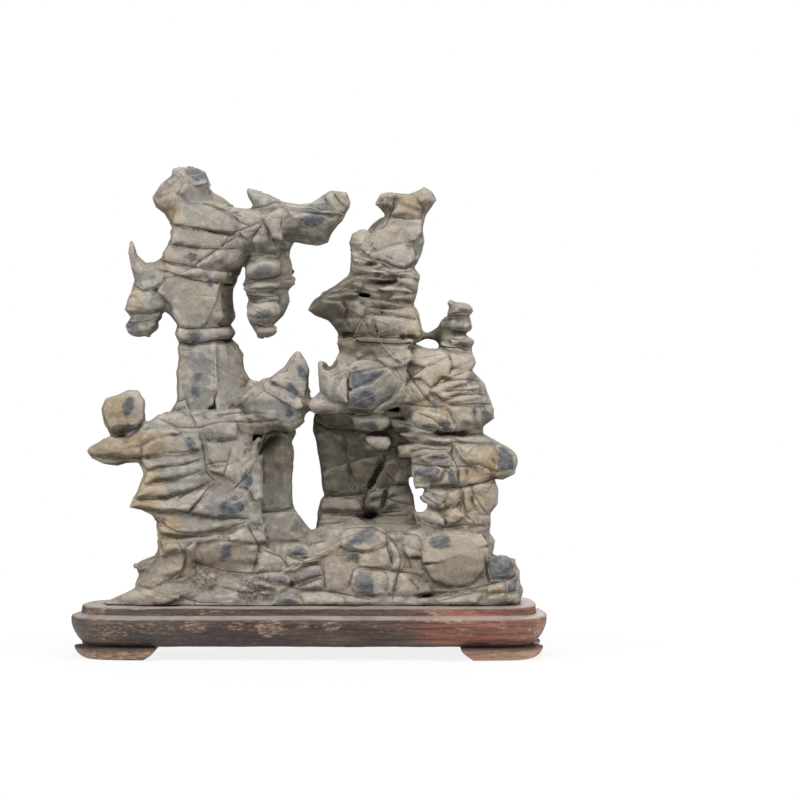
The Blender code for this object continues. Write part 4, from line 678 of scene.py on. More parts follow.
    Block(1.5, (0.0, 0.0), 1.0, 1.4, ((10.3, 21.8), (12.5, 22.3), (18.2, 22.0), (19.0, 20.3), (18.7, 17.6),
        (18.2, 16.6), (15.3, 16.6), (11.8, 16.6), (10.3, 18.1))),
    Block(1.1, (0.05, 0.0), 0.9, 1.0, ((19.2, 21.8), (21.5, 21.8), (21.2, 18.8), (20.5, 16.6),
        (19.0, 16.8))),
    Block(1.3, (0.0, 0.0), 1.0, 1.3, ((22.2, 21.8), (24.4, 21.0), (25.4, 18.8), (26.4, 17.3), (24.7, 16.6),
        (21.2, 16.8), (21.5, 18.8))),
    Block(0.8, (-0.05, 0.0), 0.8, 1.1, ((24.7, 25.2), (27.2, 24.8), (28.1, 21.8), (26.7, 21.5),
        (24.9, 22.3))),
    Block(1.0, (0.0, 0.2), 0.9, 1.4, ((23.2, 30.4), (25.2, 31.9), (28.1, 32.7), (30.1, 32.2), (28.1, 30.0),
        (27.2, 26.0), (24.2, 26.0), (23.2, 28.0))),
    Block(0.8, (0.0, 0.2), 0.8, 0.9, ((19.2, 31.4), (20.7, 31.7), (22.9, 31.7), (22.9, 30.4),
        (20.2, 30.2))),
    Block(0.9, (-0.05, 0.22), 0.8, 1.8, ((27.6, 29.5), (30.1, 31.4), (34.1, 32.2), (39.0, 32.2),
        (42.5, 31.2), (43.7, 29.0), (41.5, 27.5), (37.1, 26.2), (32.1, 24.8), (28.1, 24.5))),
    Block(1.1, (0.0, -0.08), 0.8, 2.2, ((28.6, 23.5), (32.1, 24.5), (37.1, 26.0), (42.0, 27.5),
        (44.0, 27.7), (43.7, 25.0), (42.5, 22.5), (40.3, 20.0), (37.1, 18.8), (33.6, 18.8), (30.6, 20.0))),
    Block(0.7, (0.1, -0.15), 0.8, 1.1, ((42.5, 20.8), (43.7, 23.5), (45.0, 25.0), (45.0, 18.6),
        (42.0, 17.6), (39.5, 18.1))),
    Block(0.9, (0.0, 0.0), 0.7, 0.8, ((29.6, 18.8), (31.1, 18.1), (34.6, 17.6), (39.0, 18.1), (37.5, 17.1),
        (33.6, 16.8), (30.6, 17.6))),
    Block(1.1, (0.0, 0.2), 0.8, 1.0, ((31.1, 15.3), (35.1, 16.3), (39.5, 17.1), (42.5, 16.6), (41.0, 14.6),
        (36.1, 13.9), (32.1, 14.4))),
    Block(0.6, (0.0, 0.1), 0.8, 1.0, ((23.2, 14.4), (24.7, 15.8), (27.2, 16.3), (28.6, 15.3),
        (29.9, 14.4))),
    Block(1.0, (0.0, 0.15), 0.7, 0.9, ((8.8, 15.1), (12.3, 15.8), (17.3, 15.3), (17.7, 14.4),
        (12.3, 14.1))),
    Block(0.7, (0.05, 0.15), 0.7, 0.9, ((18.7, 14.4), (19.2, 15.6), (23.2, 15.8), (22.7, 14.4))),
    Block(1.2, (0.15, 0.1), 1.0, 1.5, ((43.7, 25.0), (45.5, 26.0), (48.9, 26.0), (50.7, 24.5),
        (50.4, 22.0), (48.4, 20.0), (45.0, 19.6), (44.0, 22.0))),
    Block(1.2, (0.05, 0.0), 0.9, 0.9, ((44.0, 18.8), (46.0, 19.1), (47.9, 19.3), (48.2, 17.6),
        (46.2, 16.8), (44.0, 17.1))),
    Block(1.1, (0.15, 0.0), 0.9, 0.9, ((48.7, 19.6), (50.9, 21.0), (51.7, 18.6), (51.2, 17.1),
        (48.9, 17.1))),
    Block(1.0, (0.05, -0.05), 0.9, 0.9, ((44.2, 16.3), (46.5, 16.3), (47.9, 16.8), (48.2, 14.6),
        (45.7, 14.4), (44.0, 14.9))),
    Block(0.9, (0.15, -0.05), 0.9, 0.9, ((48.9, 16.3), (51.4, 16.6), (51.9, 15.1), (49.9, 14.1),
        (48.7, 14.4))),
    # Right edge
    Block(0.5, (0.05, 0.15), 0.6, 0.7, ((31.6, 78.7), (34.6, 78.2), (38.5, 77.5), (39.8, 77.0),
        (37.5, 76.7), (34.1, 77.2))),
    Block(0.9, (0.1, 0.1), 0.8, 0.9, ((35.1, 79.5), (37.5, 80.2), (39.5, 79.2), (40.3, 78.7), (37.5, 78.0),
        (35.3, 78.2))),
    Block(0.9, (0.05, 0.05), 0.9, 1.1, ((35.1, 84.9), (37.5, 85.4), (39.0, 84.9), (40.0, 83.7),
        (38.5, 81.9), (36.1, 81.9), (35.1, 82.9))),
    Block(0.2, (-0.2, -0.1), 0.7, 1.1, ((31.6, 84.2), (34.6, 85.6), (34.8, 82.9), (32.6, 82.7))),
    Block(0.9, (0.05, 0.2), 0.7, 0.9, ((35.8, 88.4), (37.5, 88.6), (40.5, 87.6), (40.0, 86.9),
        (38.0, 87.1))),
    Block(0.8, (-0.1, 0.0), 0.7, 0.9, ((33.8, 88.6), (34.3, 89.6), (35.3, 89.4), (35.8, 87.6),
        (37.1, 86.4), (36.1, 85.9), (34.8, 87.1))),
)

HOLLOWS = (
    Bulge(-13.5, 15.6, 38.0, (2.4, 5.0, 5.0), 18.0),
    Bulge(4.6, 15.4, 21.4, (4.4, 3.2, 2.2), -16.0),
    Bulge(12.4, 12.4, 61.0, (4.6, 3.8, 1.8), -12.0),
    Bulge(-21.0, 13.4, 82.0, (3.4, 3.4, 1.8), 24.0),
    Bulge(-19.4, -10.0, 95.9, (1.5, 3.4, 0.7), 16.0),
    Bulge(-9.8, -13.0, 54.6, (2.9, 7.0, 1.4), 38.0),
    Bulge(14.8, -9.0, 35.9, (2.6, 8.0, 1.2), 10.0),
    Bulge(16.2, -8.0, 46.0, (0.45, 5.0, 5.4), -29.0),
    Bulge(28.4, -16.4, 16.0, (2.6, 4.0, 0.45), 6.0),
    Bulge(35.4, -14.5, 56.3, (4.6, 4.0, 0.5)),
    Bulge(-13.0, -11.0, 90.2, (2.4, 2.2, 0.4), -8.0),
    Bulge(15.0, -10.0, 98.2, (1.9, 3.0, 0.5), 6.0),
    Bulge(18.6, -10.0, 93.7, (2.5, 3.0, 0.5), 4.0),
    Bulge(13.4, -8.6, 90.5, (1.6, 3.0, 0.5), -8.0),
    Bulge(-4.6, -16.0, 18.8, (0.5, 2.4, 0.4)),
    Bulge(11.0, -12.4, 61.6, (3.4, 3.4, 0.6), -4.0),
    Bulge(4.8, -13.0, 73.4, (2.0, 5.0, 1.6), 30.0),
    Bulge(2.4, -9.0, 58.6, (1.8, 4.0, 1.4), -20.0),
    Bulge(8.6, -10.0, 80.5, (1.8, 2.6, 0.35)),
    Bulge(-40.0, -12.0, 35.2, (2.2, 4.4, 0.9), -30.0),
    Bulge(-23.0, -15.8, 61.0, (4.0, 2.6, 0.4), 4.0),
)

HOLES = (
    ((25.6, 78.5), (27.4, 79.3), (28.9, 79.7), (30.6, 79.4), (31.0, 78.9), (31.8, 77.9), (30.0, 77.6),
        (27.0, 78.0)),
    ((24.4, 45.2), (25.4, 45.5), (25.6, 43.4), (26.0, 42.6), (27.6, 42.9), (29.0, 42.5), (28.2, 41.8),
        (27.2, 40.5), (27.8, 39.4), (29.0, 38.8), (28.8, 37.8), (27.8, 36.9), (26.2, 36.9), (25.4, 41.0),
        (24.6, 43.6)),
)

HAIR, JOINT, CLEFT = Cut.HAIR, Cut.JOINT, Cut.CLEFT

CRACKS = (
    Crack(CLEFT, ((18.9, 51.2), (17.6, 48.4), (15.6, 44.8), (13.9, 42.2), (13.1, 39.6), (13.0, 36.8))),
    Crack(CLEFT, ((3.0, 40.9), (6.4, 40.7), (10.4, 40.9), (14.0, 41.6), (18.6, 43.3), (24.4, 43.8))),
    Crack(CLEFT, ((19.0, 43.2), (18.7, 40.6), (17.9, 37.6))),
    Crack(JOINT, ((8.4, 55.6), (9.2, 50.0), (10.2, 45.0), (10.9, 41.2))),
    Crack(JOINT, ((18.6, 40.6), (21.6, 39.4), (25.2, 38.6))),
    Crack(JOINT, ((-34.3, 108.1), (-28.8, 107.3), (-23.1, 106.1), (-19.3, 105.4), (-16.5, 104.9))),
    Crack(JOINT, ((-34.0, 103.3), (-29.7, 102.3), (-24.1, 102.0), (-17.9, 102.1))),
    Crack(JOINT, ((-37.8, 99.7), (-34.5, 98.5), (-29.7, 97.8), (-24.5, 96.6), (-20.3, 96.4))),
    Crack(HAIR, ((-23.1, 101.8), (-26.0, 99.5), (-28.8, 97.8), (-31.6, 96.2), (-36.4, 93.8),
        (-39.7, 91.9))),
    Crack(JOINT, ((-38.3, 97.1), (-35.4, 96.2), (-33.1, 95.5), (-29.3, 94.5), (-26.0, 93.8),
        (-19.3, 93.6))),
    Crack(JOINT, ((-17.9, 105.2), (-20.3, 103.8), (-22.6, 102.3))),
    Crack(HAIR, ((-22.2, 93.3), (-22.6, 90.5), (-24.1, 87.2), (-25.5, 83.9), (-26.9, 80.5),
        (-28.8, 78.6))),
    Crack(JOINT, ((-33.1, 82.9), (-30.7, 82.2), (-26.0, 82.4), (-21.7, 82.7), (-19.3, 82.4))),
    Crack(CLEFT, ((-33.4, 79.1), (-29.3, 78.4), (-25.5, 78.9), (-21.2, 79.4), (-18.2, 79.8))),
    Crack(HAIR, ((-19.3, 91.0), (-21.7, 90.2), (-28.8, 90.5))),
    Crack(HAIR, ((-20.0, 87.2), (-24.0, 86.4))),
    Crack(JOINT, ((-44.2, 93.3), (-41.6, 91.7), (-39.7, 91.9))),
    Crack(JOINT, ((-45.6, 83.9), (-44.0, 83.9), (-41.6, 83.9), (-37.3, 85.2))),
    Crack(JOINT, ((-45.0, 85.7), (-40.6, 85.9), (-36.4, 86.9))),
    Crack(HAIR, ((-44.8, 98.0), (-42.6, 95.0), (-41.4, 92.0))),
    Crack(HAIR, ((-33.9, 121.8), (-31.4, 119.4), (-27.2, 120.6))),
    Crack(HAIR, ((-38.6, 114.6), (-34.0, 116.4), (-29.4, 113.0), (-26.9, 113.5))),
    Crack(JOINT, ((-26.9, 113.5), (-20.3, 111.3), (-17.4, 108.6), (-14.6, 107.6), (-11.8, 109.2))),
    Crack(JOINT, ((-11.8, 109.2), (-10.3, 106.1), (-8.0, 101.8))),
    Crack(JOINT, ((-11.8, 108.5), (-14.1, 105.2), (-14.6, 103.7), (-13.4, 101.0))),
    Crack(JOINT, ((-11.8, 109.2), (-16.5, 107.0), (-19.8, 105.4), (-21.2, 103.7))),
    Crack(HAIR, ((-11.8, 109.2), (-9.5, 111.6), (-6.5, 113.4))),
    Crack(JOINT, ((-14.6, 112.2), (-11.0, 112.6), (-8.6, 113.6), (-6.6, 113.2))),
    Crack(HAIR, ((-6.5, 112.3), (-1.3, 111.3), (6.2, 110.1))),
    Crack(HAIR, ((-8.5, 109.8), (-6.5, 109.4), (-2.7, 110.9), (6.2, 110.1))),
    Crack(HAIR, ((3.4, 115.6), (6.7, 111.3), (7.2, 108.9))),
    Crack(JOINT, ((5.8, 116.0), (7.4, 113.4), (9.1, 112.3))), Crack(JOINT, ((7.0, 111.2), (9.0, 110.8))),
    Crack(JOINT, ((-7.0, 109.5), (-7.4, 106.5), (-6.1, 104.2), (-4.2, 103.7))),
    Crack(HAIR, ((-1.3, 107.6), (-1.3, 106.1), (1.0, 103.3))),
    Crack(HAIR, ((-1.8, 107.8), (2.0, 107.2), (1.6, 104.6), (4.4, 103.7))),
    Crack(JOINT, ((-16.0, 99.9), (-12.7, 100.4), (-8.4, 100.7))),
    Crack(HAIR, ((-14.6, 103.0), (-11.0, 103.0), (-8.2, 102.4))),
    Crack(JOINT, ((-15.9, 89.2), (-12.0, 88.8), (-8.0, 89.4))),
    Crack(JOINT, ((-14.0, 83.2), (-11.2, 82.6), (-8.4, 83.4))),
    Crack(HAIR, ((-14.8, 87.4), (-11.0, 84.8), (-8.2, 85.2))),
    Crack(JOINT, ((-17.0, 94.2), (-14.6, 94.3), (-10.8, 94.4), (-7.5, 95.2))),
    Crack(JOINT, ((-15.8, 92.2), (-12.2, 91.9), (-8.4, 92.2))),
    Crack(JOINT, ((-15.8, 90.6), (-12.2, 90.1), (-8.4, 90.4))),
    Crack(JOINT, ((21.3, 115.4), (20.4, 112.1), (18.8, 108.0), (16.8, 106.8))),
    Crack(HAIR, ((21.3, 113.4), (24.1, 112.1), (27.4, 111.3))),
    Crack(JOINT, ((20.0, 110.1), (23.7, 109.4), (27.8, 109.2))),
    Crack(JOINT, ((26.4, 114.8), (27.8, 112.1), (27.6, 109.6))),
    Crack(HAIR, ((25.6, 109.0), (22.0, 106.4), (19.6, 104.6))),
    Crack(HAIR, ((13.5, 100.6), (17.2, 102.0), (20.8, 103.3), (23.3, 103.5))),
    Crack(JOINT, ((11.0, 103.1), (13.9, 100.6), (17.2, 99.2), (20.4, 97.7), (23.7, 97.1), (27.0, 98.6))),
    Crack(HAIR, ((25.8, 101.8), (26.0, 99.8), (25.4, 98.2))),
    Crack(JOINT, ((10.6, 100.2), (13.9, 99.0), (17.2, 98.2))),
    Crack(JOINT, ((10.2, 98.2), (13.9, 97.7), (16.8, 96.9), (20.4, 96.1), (25.8, 96.6))),
    Crack(JOINT, ((10.6, 95.8), (15.1, 95.9), (20.4, 95.3), (23.7, 94.9))),
    Crack(JOINT, ((11.0, 94.1), (15.5, 93.8), (18.8, 93.6), (21.8, 94.2))),
    Crack(JOINT, ((11.0, 92.4), (14.7, 91.6), (18.0, 91.4), (24.6, 91.2))),
    Crack(JOINT, ((11.8, 90.6), (15.1, 89.7), (19.6, 89.2), (25.8, 88.9))),
    Crack(JOINT, ((14.7, 87.6), (19.6, 87.3), (23.7, 87.4))),
    Crack(JOINT, ((13.6, 86.1), (15.1, 85.9), (19.6, 85.5), (23.7, 85.0), (26.6, 84.6))),
    Crack(JOINT, ((10.2, 95.7), (6.5, 92.8), (2.8, 90.4), (0.4, 88.6))),
    Crack(JOINT, ((10.6, 94.1), (7.3, 91.6), (3.6, 89.9))), Crack(JOINT, ((4.4, 89.1), (6.1, 89.1))),
    Crack(HAIR, ((9.3, 87.1), (8.4, 84.2), (6.9, 81.3))),
    Crack(HAIR, ((9.3, 87.1), (12.6, 85.0), (15.1, 85.4))),
    Crack(HAIR, ((9.4, 87.0), (11.8, 81.7), (11.0, 80.1))),
    Crack(HAIR, ((15.1, 85.0), (13.5, 84.6), (11.8, 81.7))),
    Crack(HAIR, ((15.1, 85.0), (15.5, 82.6), (16.3, 80.1))),
    Crack(HAIR, ((17.2, 80.9), (22.1, 83.4), (25.4, 84.8))),
    Crack(HAIR, ((15.1, 84.6), (19.6, 83.0), (23.7, 80.5))),
    Crack(CLEFT, ((6.5, 80.7), (11.0, 80.5), (15.9, 80.2), (20.4, 80.0), (26.2, 79.9))),
    Crack(CLEFT, ((12.2, 78.9), (15.9, 78.7), (21.3, 78.5), (26.2, 78.4), (32.3, 78.0), (38.5, 77.0),
        (39.7, 76.8))),
    Crack(JOINT, ((34.8, 85.8), (36.9, 86.2), (39.9, 86.0))),
    Crack(JOINT, ((31.9, 84.2), (35.2, 84.6), (39.3, 84.9))), Crack(JOINT, ((35.6, 81.4), (38.5, 81.4))),
    Crack(JOINT, ((34.4, 80.1), (36.9, 79.6), (39.5, 80.0))),
    Crack(HAIR, ((38.1, 85.0), (37.9, 82.6), (38.5, 79.3))),
    Crack(HAIR, ((22.9, 74.7), (28.2, 75.2), (34.4, 76.0))),
    Crack(HAIR, ((12.0, 76.4), (16.6, 75.2), (21.6, 75.4))),
    Crack(HAIR, ((17.4, 78.4), (20.0, 75.0), (22.9, 73.5))),
    Crack(JOINT, ((34.4, 75.6), (35.2, 73.1), (34.4, 70.2))), Crack(HAIR, ((35.2, 71.9), (40.5, 74.7))),
    Crack(JOINT, ((30.3, 67.8), (32.3, 69.8), (34.4, 70.2), (38.5, 71.6))),
    Crack(HAIR, ((19.6, 66.6), (22.9, 69.0), (26.2, 71.5), (30.0, 73.6))),
    Crack(JOINT, ((22.9, 73.5), (25.4, 69.4), (28.2, 65.7), (30.2, 64.0))),
    Crack(HAIR, ((20.8, 73.1), (23.7, 68.2), (25.4, 63.7))),
    Crack(HAIR, ((8.5, 73.1), (11.4, 74.3), (15.9, 74.7))),
    Crack(HAIR, ((9.8, 71.5), (9.3, 69.0), (8.9, 66.1), (10.2, 62.8))),
    Crack(HAIR, ((3.2, 71.5), (4.9, 70.2), (8.9, 71.9))),
    Crack(HAIR, ((10.4, 70.4), (15.0, 72.0), (20.0, 73.2))),
    Crack(HAIR, ((10.0, 66.4), (14.0, 67.6), (20.4, 71.0))),
    Crack(JOINT, ((31.5, 68.6), (34.4, 69.6), (38.0, 69.8), (41.8, 69.6))),
    Crack(JOINT, ((33.2, 67.0), (37.0, 67.0), (41.8, 67.2))),
    Crack(JOINT, ((34.0, 65.5), (38.0, 66.0), (43.6, 66.0))),
    Crack(JOINT, ((34.4, 63.5), (40.0, 63.6), (45.1, 63.7))),
    Crack(JOINT, ((20.4, 63.2), (23.7, 63.6), (29.5, 63.0), (33.5, 63.2))),
    Crack(JOINT, ((15.5, 62.6), (19.6, 65.0), (21.2, 67.1))),
    Crack(JOINT, ((26.6, 61.3), (30.3, 60.1), (34.4, 56.4))),
    Crack(HAIR, ((30.7, 64.6), (33.5, 61.3), (35.2, 56.0))),
    Crack(HAIR, ((40.6, 62.6), (40.9, 59.4), (42.6, 57.6))),
    Crack(JOINT, ((21.2, 59.3), (26.6, 57.8), (31.5, 56.6))),
    Crack(CLEFT, ((30.5, 56.4), (35.2, 56.2), (41.3, 56.2), (43.4, 56.4))),
    Crack(JOINT, ((21.2, 56.0), (24.5, 54.8), (26.8, 54.6))),
    Crack(JOINT, ((27.0, 53.5), (33.5, 53.5), (35.6, 54.3), (41.8, 54.0))),
    Crack(JOINT, ((24.8, 51.8), (28.0, 52.6), (35.0, 52.2))),
    Crack(JOINT, ((35.2, 55.2), (34.8, 51.1), (36.8, 47.4), (36.8, 44.9), (38.9, 35.5), (41.3, 33.8))),
    Crack(HAIR, ((35.4, 55.0), (38.4, 50.4), (40.4, 53.4))),
    Crack(JOINT, ((33.5, 48.2), (38.1, 48.2), (41.8, 48.6), (45.4, 47.0))),
    Crack(JOINT, ((24.6, 48.6), (29.5, 48.4), (34.0, 47.8), (36.0, 46.6))),
    Crack(CLEFT, ((29.0, 42.9), (33.5, 43.0), (37.6, 43.1), (41.8, 43.9), (45.9, 45.3))),
    Crack(JOINT, ((27.4, 41.2), (31.9, 38.4), (33.5, 40.0))),
    Crack(HAIR, ((33.6, 37.6), (37.6, 40.6), (37.0, 36.4))),
    Crack(JOINT, ((27.0, 35.3), (29.5, 34.1), (33.5, 33.0), (38.5, 33.8), (43.8, 33.4))),
    Crack(JOINT, ((39.4, 44.0), (40.8, 40.6), (43.6, 36.6))),
    Crack(JOINT, ((8.1, 54.3), (8.9, 51.1), (10.1, 46.6), (11.4, 42.0))),
    Crack(JOINT, ((4.4, 47.0), (8.9, 48.2), (15.1, 51.5), (18.8, 51.9))),
    Crack(JOINT, ((17.6, 50.4), (15.5, 45.7), (13.8, 42.4), (13.4, 38.4), (14.4, 36.0))),
    Crack(JOINT, ((3.2, 41.2), (8.9, 40.8), (13.8, 42.4), (18.8, 43.3), (24.5, 44.5))),
    Crack(JOINT, ((18.8, 42.9), (18.8, 40.4), (17.1, 36.7))), Crack(JOINT, ((13.8, 39.2), (18.8, 40.9))),
    Crack(CLEFT, ((17.5, 36.7), (22.9, 37.2))), Crack(JOINT, ((18.6, 46.8), (21.6, 44.2))),
    Crack(JOINT, ((2.4, 36.9), (7.7, 36.7), (13.0, 37.1), (15.5, 34.7))),
    Crack(JOINT, ((1.9, 33.8), (8.9, 34.6))), Crack(HAIR, ((8.1, 52.3), (17.1, 52.3))),
    Crack(CLEFT, ((1.1, 59.4), (4.4, 57.6), (10.1, 57.4), (12.6, 57.0))),
    Crack(JOINT, ((11.8, 61.0), (15.0, 61.0), (19.4, 62.4))),
    Crack(JOINT, ((8.1, 32.6), (11.8, 33.2), (15.5, 33.0), (18.8, 31.4), (18.8, 28.5), (20.4, 23.6))),
    Crack(HAIR, ((8.1, 30.1), (12.2, 32.0), (15.5, 32.2))),
    Crack(HAIR, ((4.8, 26.0), (12.2, 26.5), (18.8, 29.6))),
    Crack(JOINT, ((19.2, 31.0), (21.2, 28.5), (22.6, 25.2), (21.0, 18.2), (20.4, 14.6))),
    Crack(JOINT, ((11.8, 23.2), (18.8, 22.7), (23.7, 21.9), (27.8, 21.3))),
    Crack(HAIR, ((23.3, 28.5), (24.9, 23.2), (27.8, 18.2))),
    Crack(JOINT, ((22.6, 31.4), (26.6, 31.0), (28.0, 28.4))),
    Crack(HAIR, ((28.6, 23.6), (33.5, 25.2), (39.7, 27.3), (43.8, 28.5))),
    Crack(JOINT, ((31.1, 16.8), (36.0, 17.2), (40.9, 18.2), (45.0, 19.1))),
    Crack(JOINT, ((31.9, 15.0), (36.0, 16.0), (40.9, 17.0))),
    Crack(JOINT, ((43.4, 26.4), (43.4, 24.4), (43.8, 21.5), (44.2, 19.1))),
    Crack(HAIR, ((46.7, 26.0), (47.5, 21.5))), Crack(JOINT, ((43.8, 20.6), (47.0, 20.0), (50.8, 20.8))),
    Crack(JOINT, ((44.6, 17.0), (48.0, 16.8), (50.8, 17.4))),
    Crack(HAIR, ((49.4, 25.0), (50.6, 21.0), (50.4, 16.0))),
    Crack(JOINT, ((-5.0, 29.7), (-0.1, 28.9), (4.4, 29.7))),
    Crack(JOINT, ((-6.3, 26.5), (-1.3, 24.4), (4.4, 26.0))),
    Crack(JOINT, ((-5.6, 22.2), (-2.6, 24.0), (2.4, 24.0), (3.3, 21.6), (-2.6, 19.4), (-5.0, 18.6))),
    Crack(JOINT, ((-6.0, 18.4), (-1.0, 17.6), (2.8, 17.4), (8.9, 16.2), (15.5, 15.0))),
    Crack(JOINT, ((3.2, 24.6), (3.4, 20.3), (3.4, 17.4))),
    Crack(JOINT, ((9.3, 17.4), (10.3, 22.3), (11.8, 23.2))),
    Crack(JOINT, ((-33.7, 64.0), (-31.0, 64.9), (-29.4, 61.0), (-28.4, 58.7))),
    Crack(JOINT, ((-23.5, 60.9), (-17.7, 61.6), (-11.6, 61.3))),
    Crack(JOINT, ((-37.2, 60.0), (-32.8, 57.8), (-27.1, 57.8), (-22.2, 59.3), (-15.1, 59.1),
        (-8.2, 59.5))),
    Crack(JOINT, ((-27.5, 56.5), (-26.6, 52.9), (-25.7, 46.8), (-23.1, 44.1))),
    Crack(JOINT, ((-53.1, 50.5), (-48.0, 50.1), (-42.9, 50.5), (-37.0, 51.0))),
    Crack(JOINT, ((-37.0, 51.0), (-35.4, 51.4), (-31.0, 51.8), (-27.1, 52.1))),
    Crack(JOINT, ((-39.8, 47.7), (-33.2, 48.2), (-26.6, 50.0))),
    Crack(JOINT, ((-39.0, 44.1), (-32.8, 45.0), (-26.6, 47.5))),
    Crack(JOINT, ((-43.4, 40.4), (-39.8, 40.8), (-35.4, 40.4), (-31.0, 41.6), (-25.7, 44.1))),
    Crack(JOINT, ((-33.7, 39.7), (-29.3, 42.0), (-24.0, 44.1))),
    Crack(JOINT, ((-30.1, 37.0), (-27.4, 39.6), (-25.7, 42.4), (-23.0, 44.0))),
    Crack(JOINT, ((-41.3, 37.2), (-38.1, 37.4), (-33.7, 37.5), (-30.1, 36.8), (-23.9, 35.4),
        (-15.5, 35.2))),
    Crack(JOINT, ((-38.1, 35.7), (-35.6, 33.2), (-33.0, 31.9), (-28.4, 31.5), (-22.2, 32.2),
        (-16.0, 34.4))),
    Crack(JOINT, ((-37.2, 31.2), (-33.2, 30.4), (-28.0, 30.8), (-23.9, 31.0))),
    Crack(JOINT, ((-32.8, 29.5), (-30.8, 25.5), (-31.7, 22.4), (-36.6, 19.2), (-39.8, 18.0))),
    Crack(HAIR, ((-27.9, 29.1), (-22.2, 29.9), (-13.3, 28.6))),
    Crack(JOINT, ((-15.5, 33.5), (-12.9, 28.6), (-13.6, 25.0), (-14.2, 21.6))),
    Crack(JOINT, ((-13.3, 28.6), (-7.2, 25.5), (-5.4, 23.3))),
    Crack(JOINT, ((-29.3, 24.7), (-22.2, 22.4), (-15.1, 21.6), (-6.7, 22.4))),
    Crack(HAIR, ((-28.0, 28.8), (-26.8, 25.4), (-28.6, 22.6))),
    Crack(HAIR, ((-42.9, 24.2), (-38.1, 25.5), (-31.5, 26.9))),
    Crack(JOINT, ((-42.9, 18.9), (-39.8, 18.0), (-34.6, 20.2), (-31.0, 21.0))),
    Crack(HAIR, ((-38.5, 17.0), (-33.7, 16.5), (-29.3, 18.0))),
    Crack(JOINT, ((-32.8, 15.8), (-27.5, 14.6), (-22.2, 14.2))),
    Crack(JOINT, ((-22.0, 18.2), (-16.0, 16.6), (-9.4, 17.8))),
    Crack(JOINT, ((-12.0, 36.8), (-8.0, 37.0), (-4.1, 37.9))),
    Crack(HAIR, ((-15.1, 35.2), (-10.7, 30.4), (-0.1, 29.5))),
    Crack(CLEFT, ((-12.4, 52.9), (-10.0, 55.4), (-7.2, 56.9))),
    Crack(JOINT, ((-19.1, 42.3), (-14.7, 46.8), (-14.2, 48.5))),
    Crack(HAIR, ((-17.0, 44.4), (-17.4, 47.8), (-13.8, 51.0))),
    Crack(JOINT, ((-20.4, 49.4), (-21.7, 45.4))),
    Crack(JOINT, ((-25.8, 48.6), (-20.4, 49.6), (-19.6, 52.6))),
    Crack(HAIR, ((-9.8, 71.1), (-3.2, 69.3), (-0.5, 69.5))),
    Crack(HAIR, ((-20.4, 62.2), (-15.1, 67.5), (-13.4, 68.2))),
    Crack(HAIR, ((-25.6, 74.6), (-20.4, 71.4), (-13.4, 68.2))),
    Crack(HAIR, ((-32.2, 76.0), (-26.4, 72.8), (-23.6, 70.2))),
    Crack(HAIR, ((-46.5, 61.3), (-44.8, 58.2), (-41.4, 58.6))),
    Crack(JOINT, ((-49.1, 55.5), (-45.4, 55.6), (-42.3, 57.2))),
)

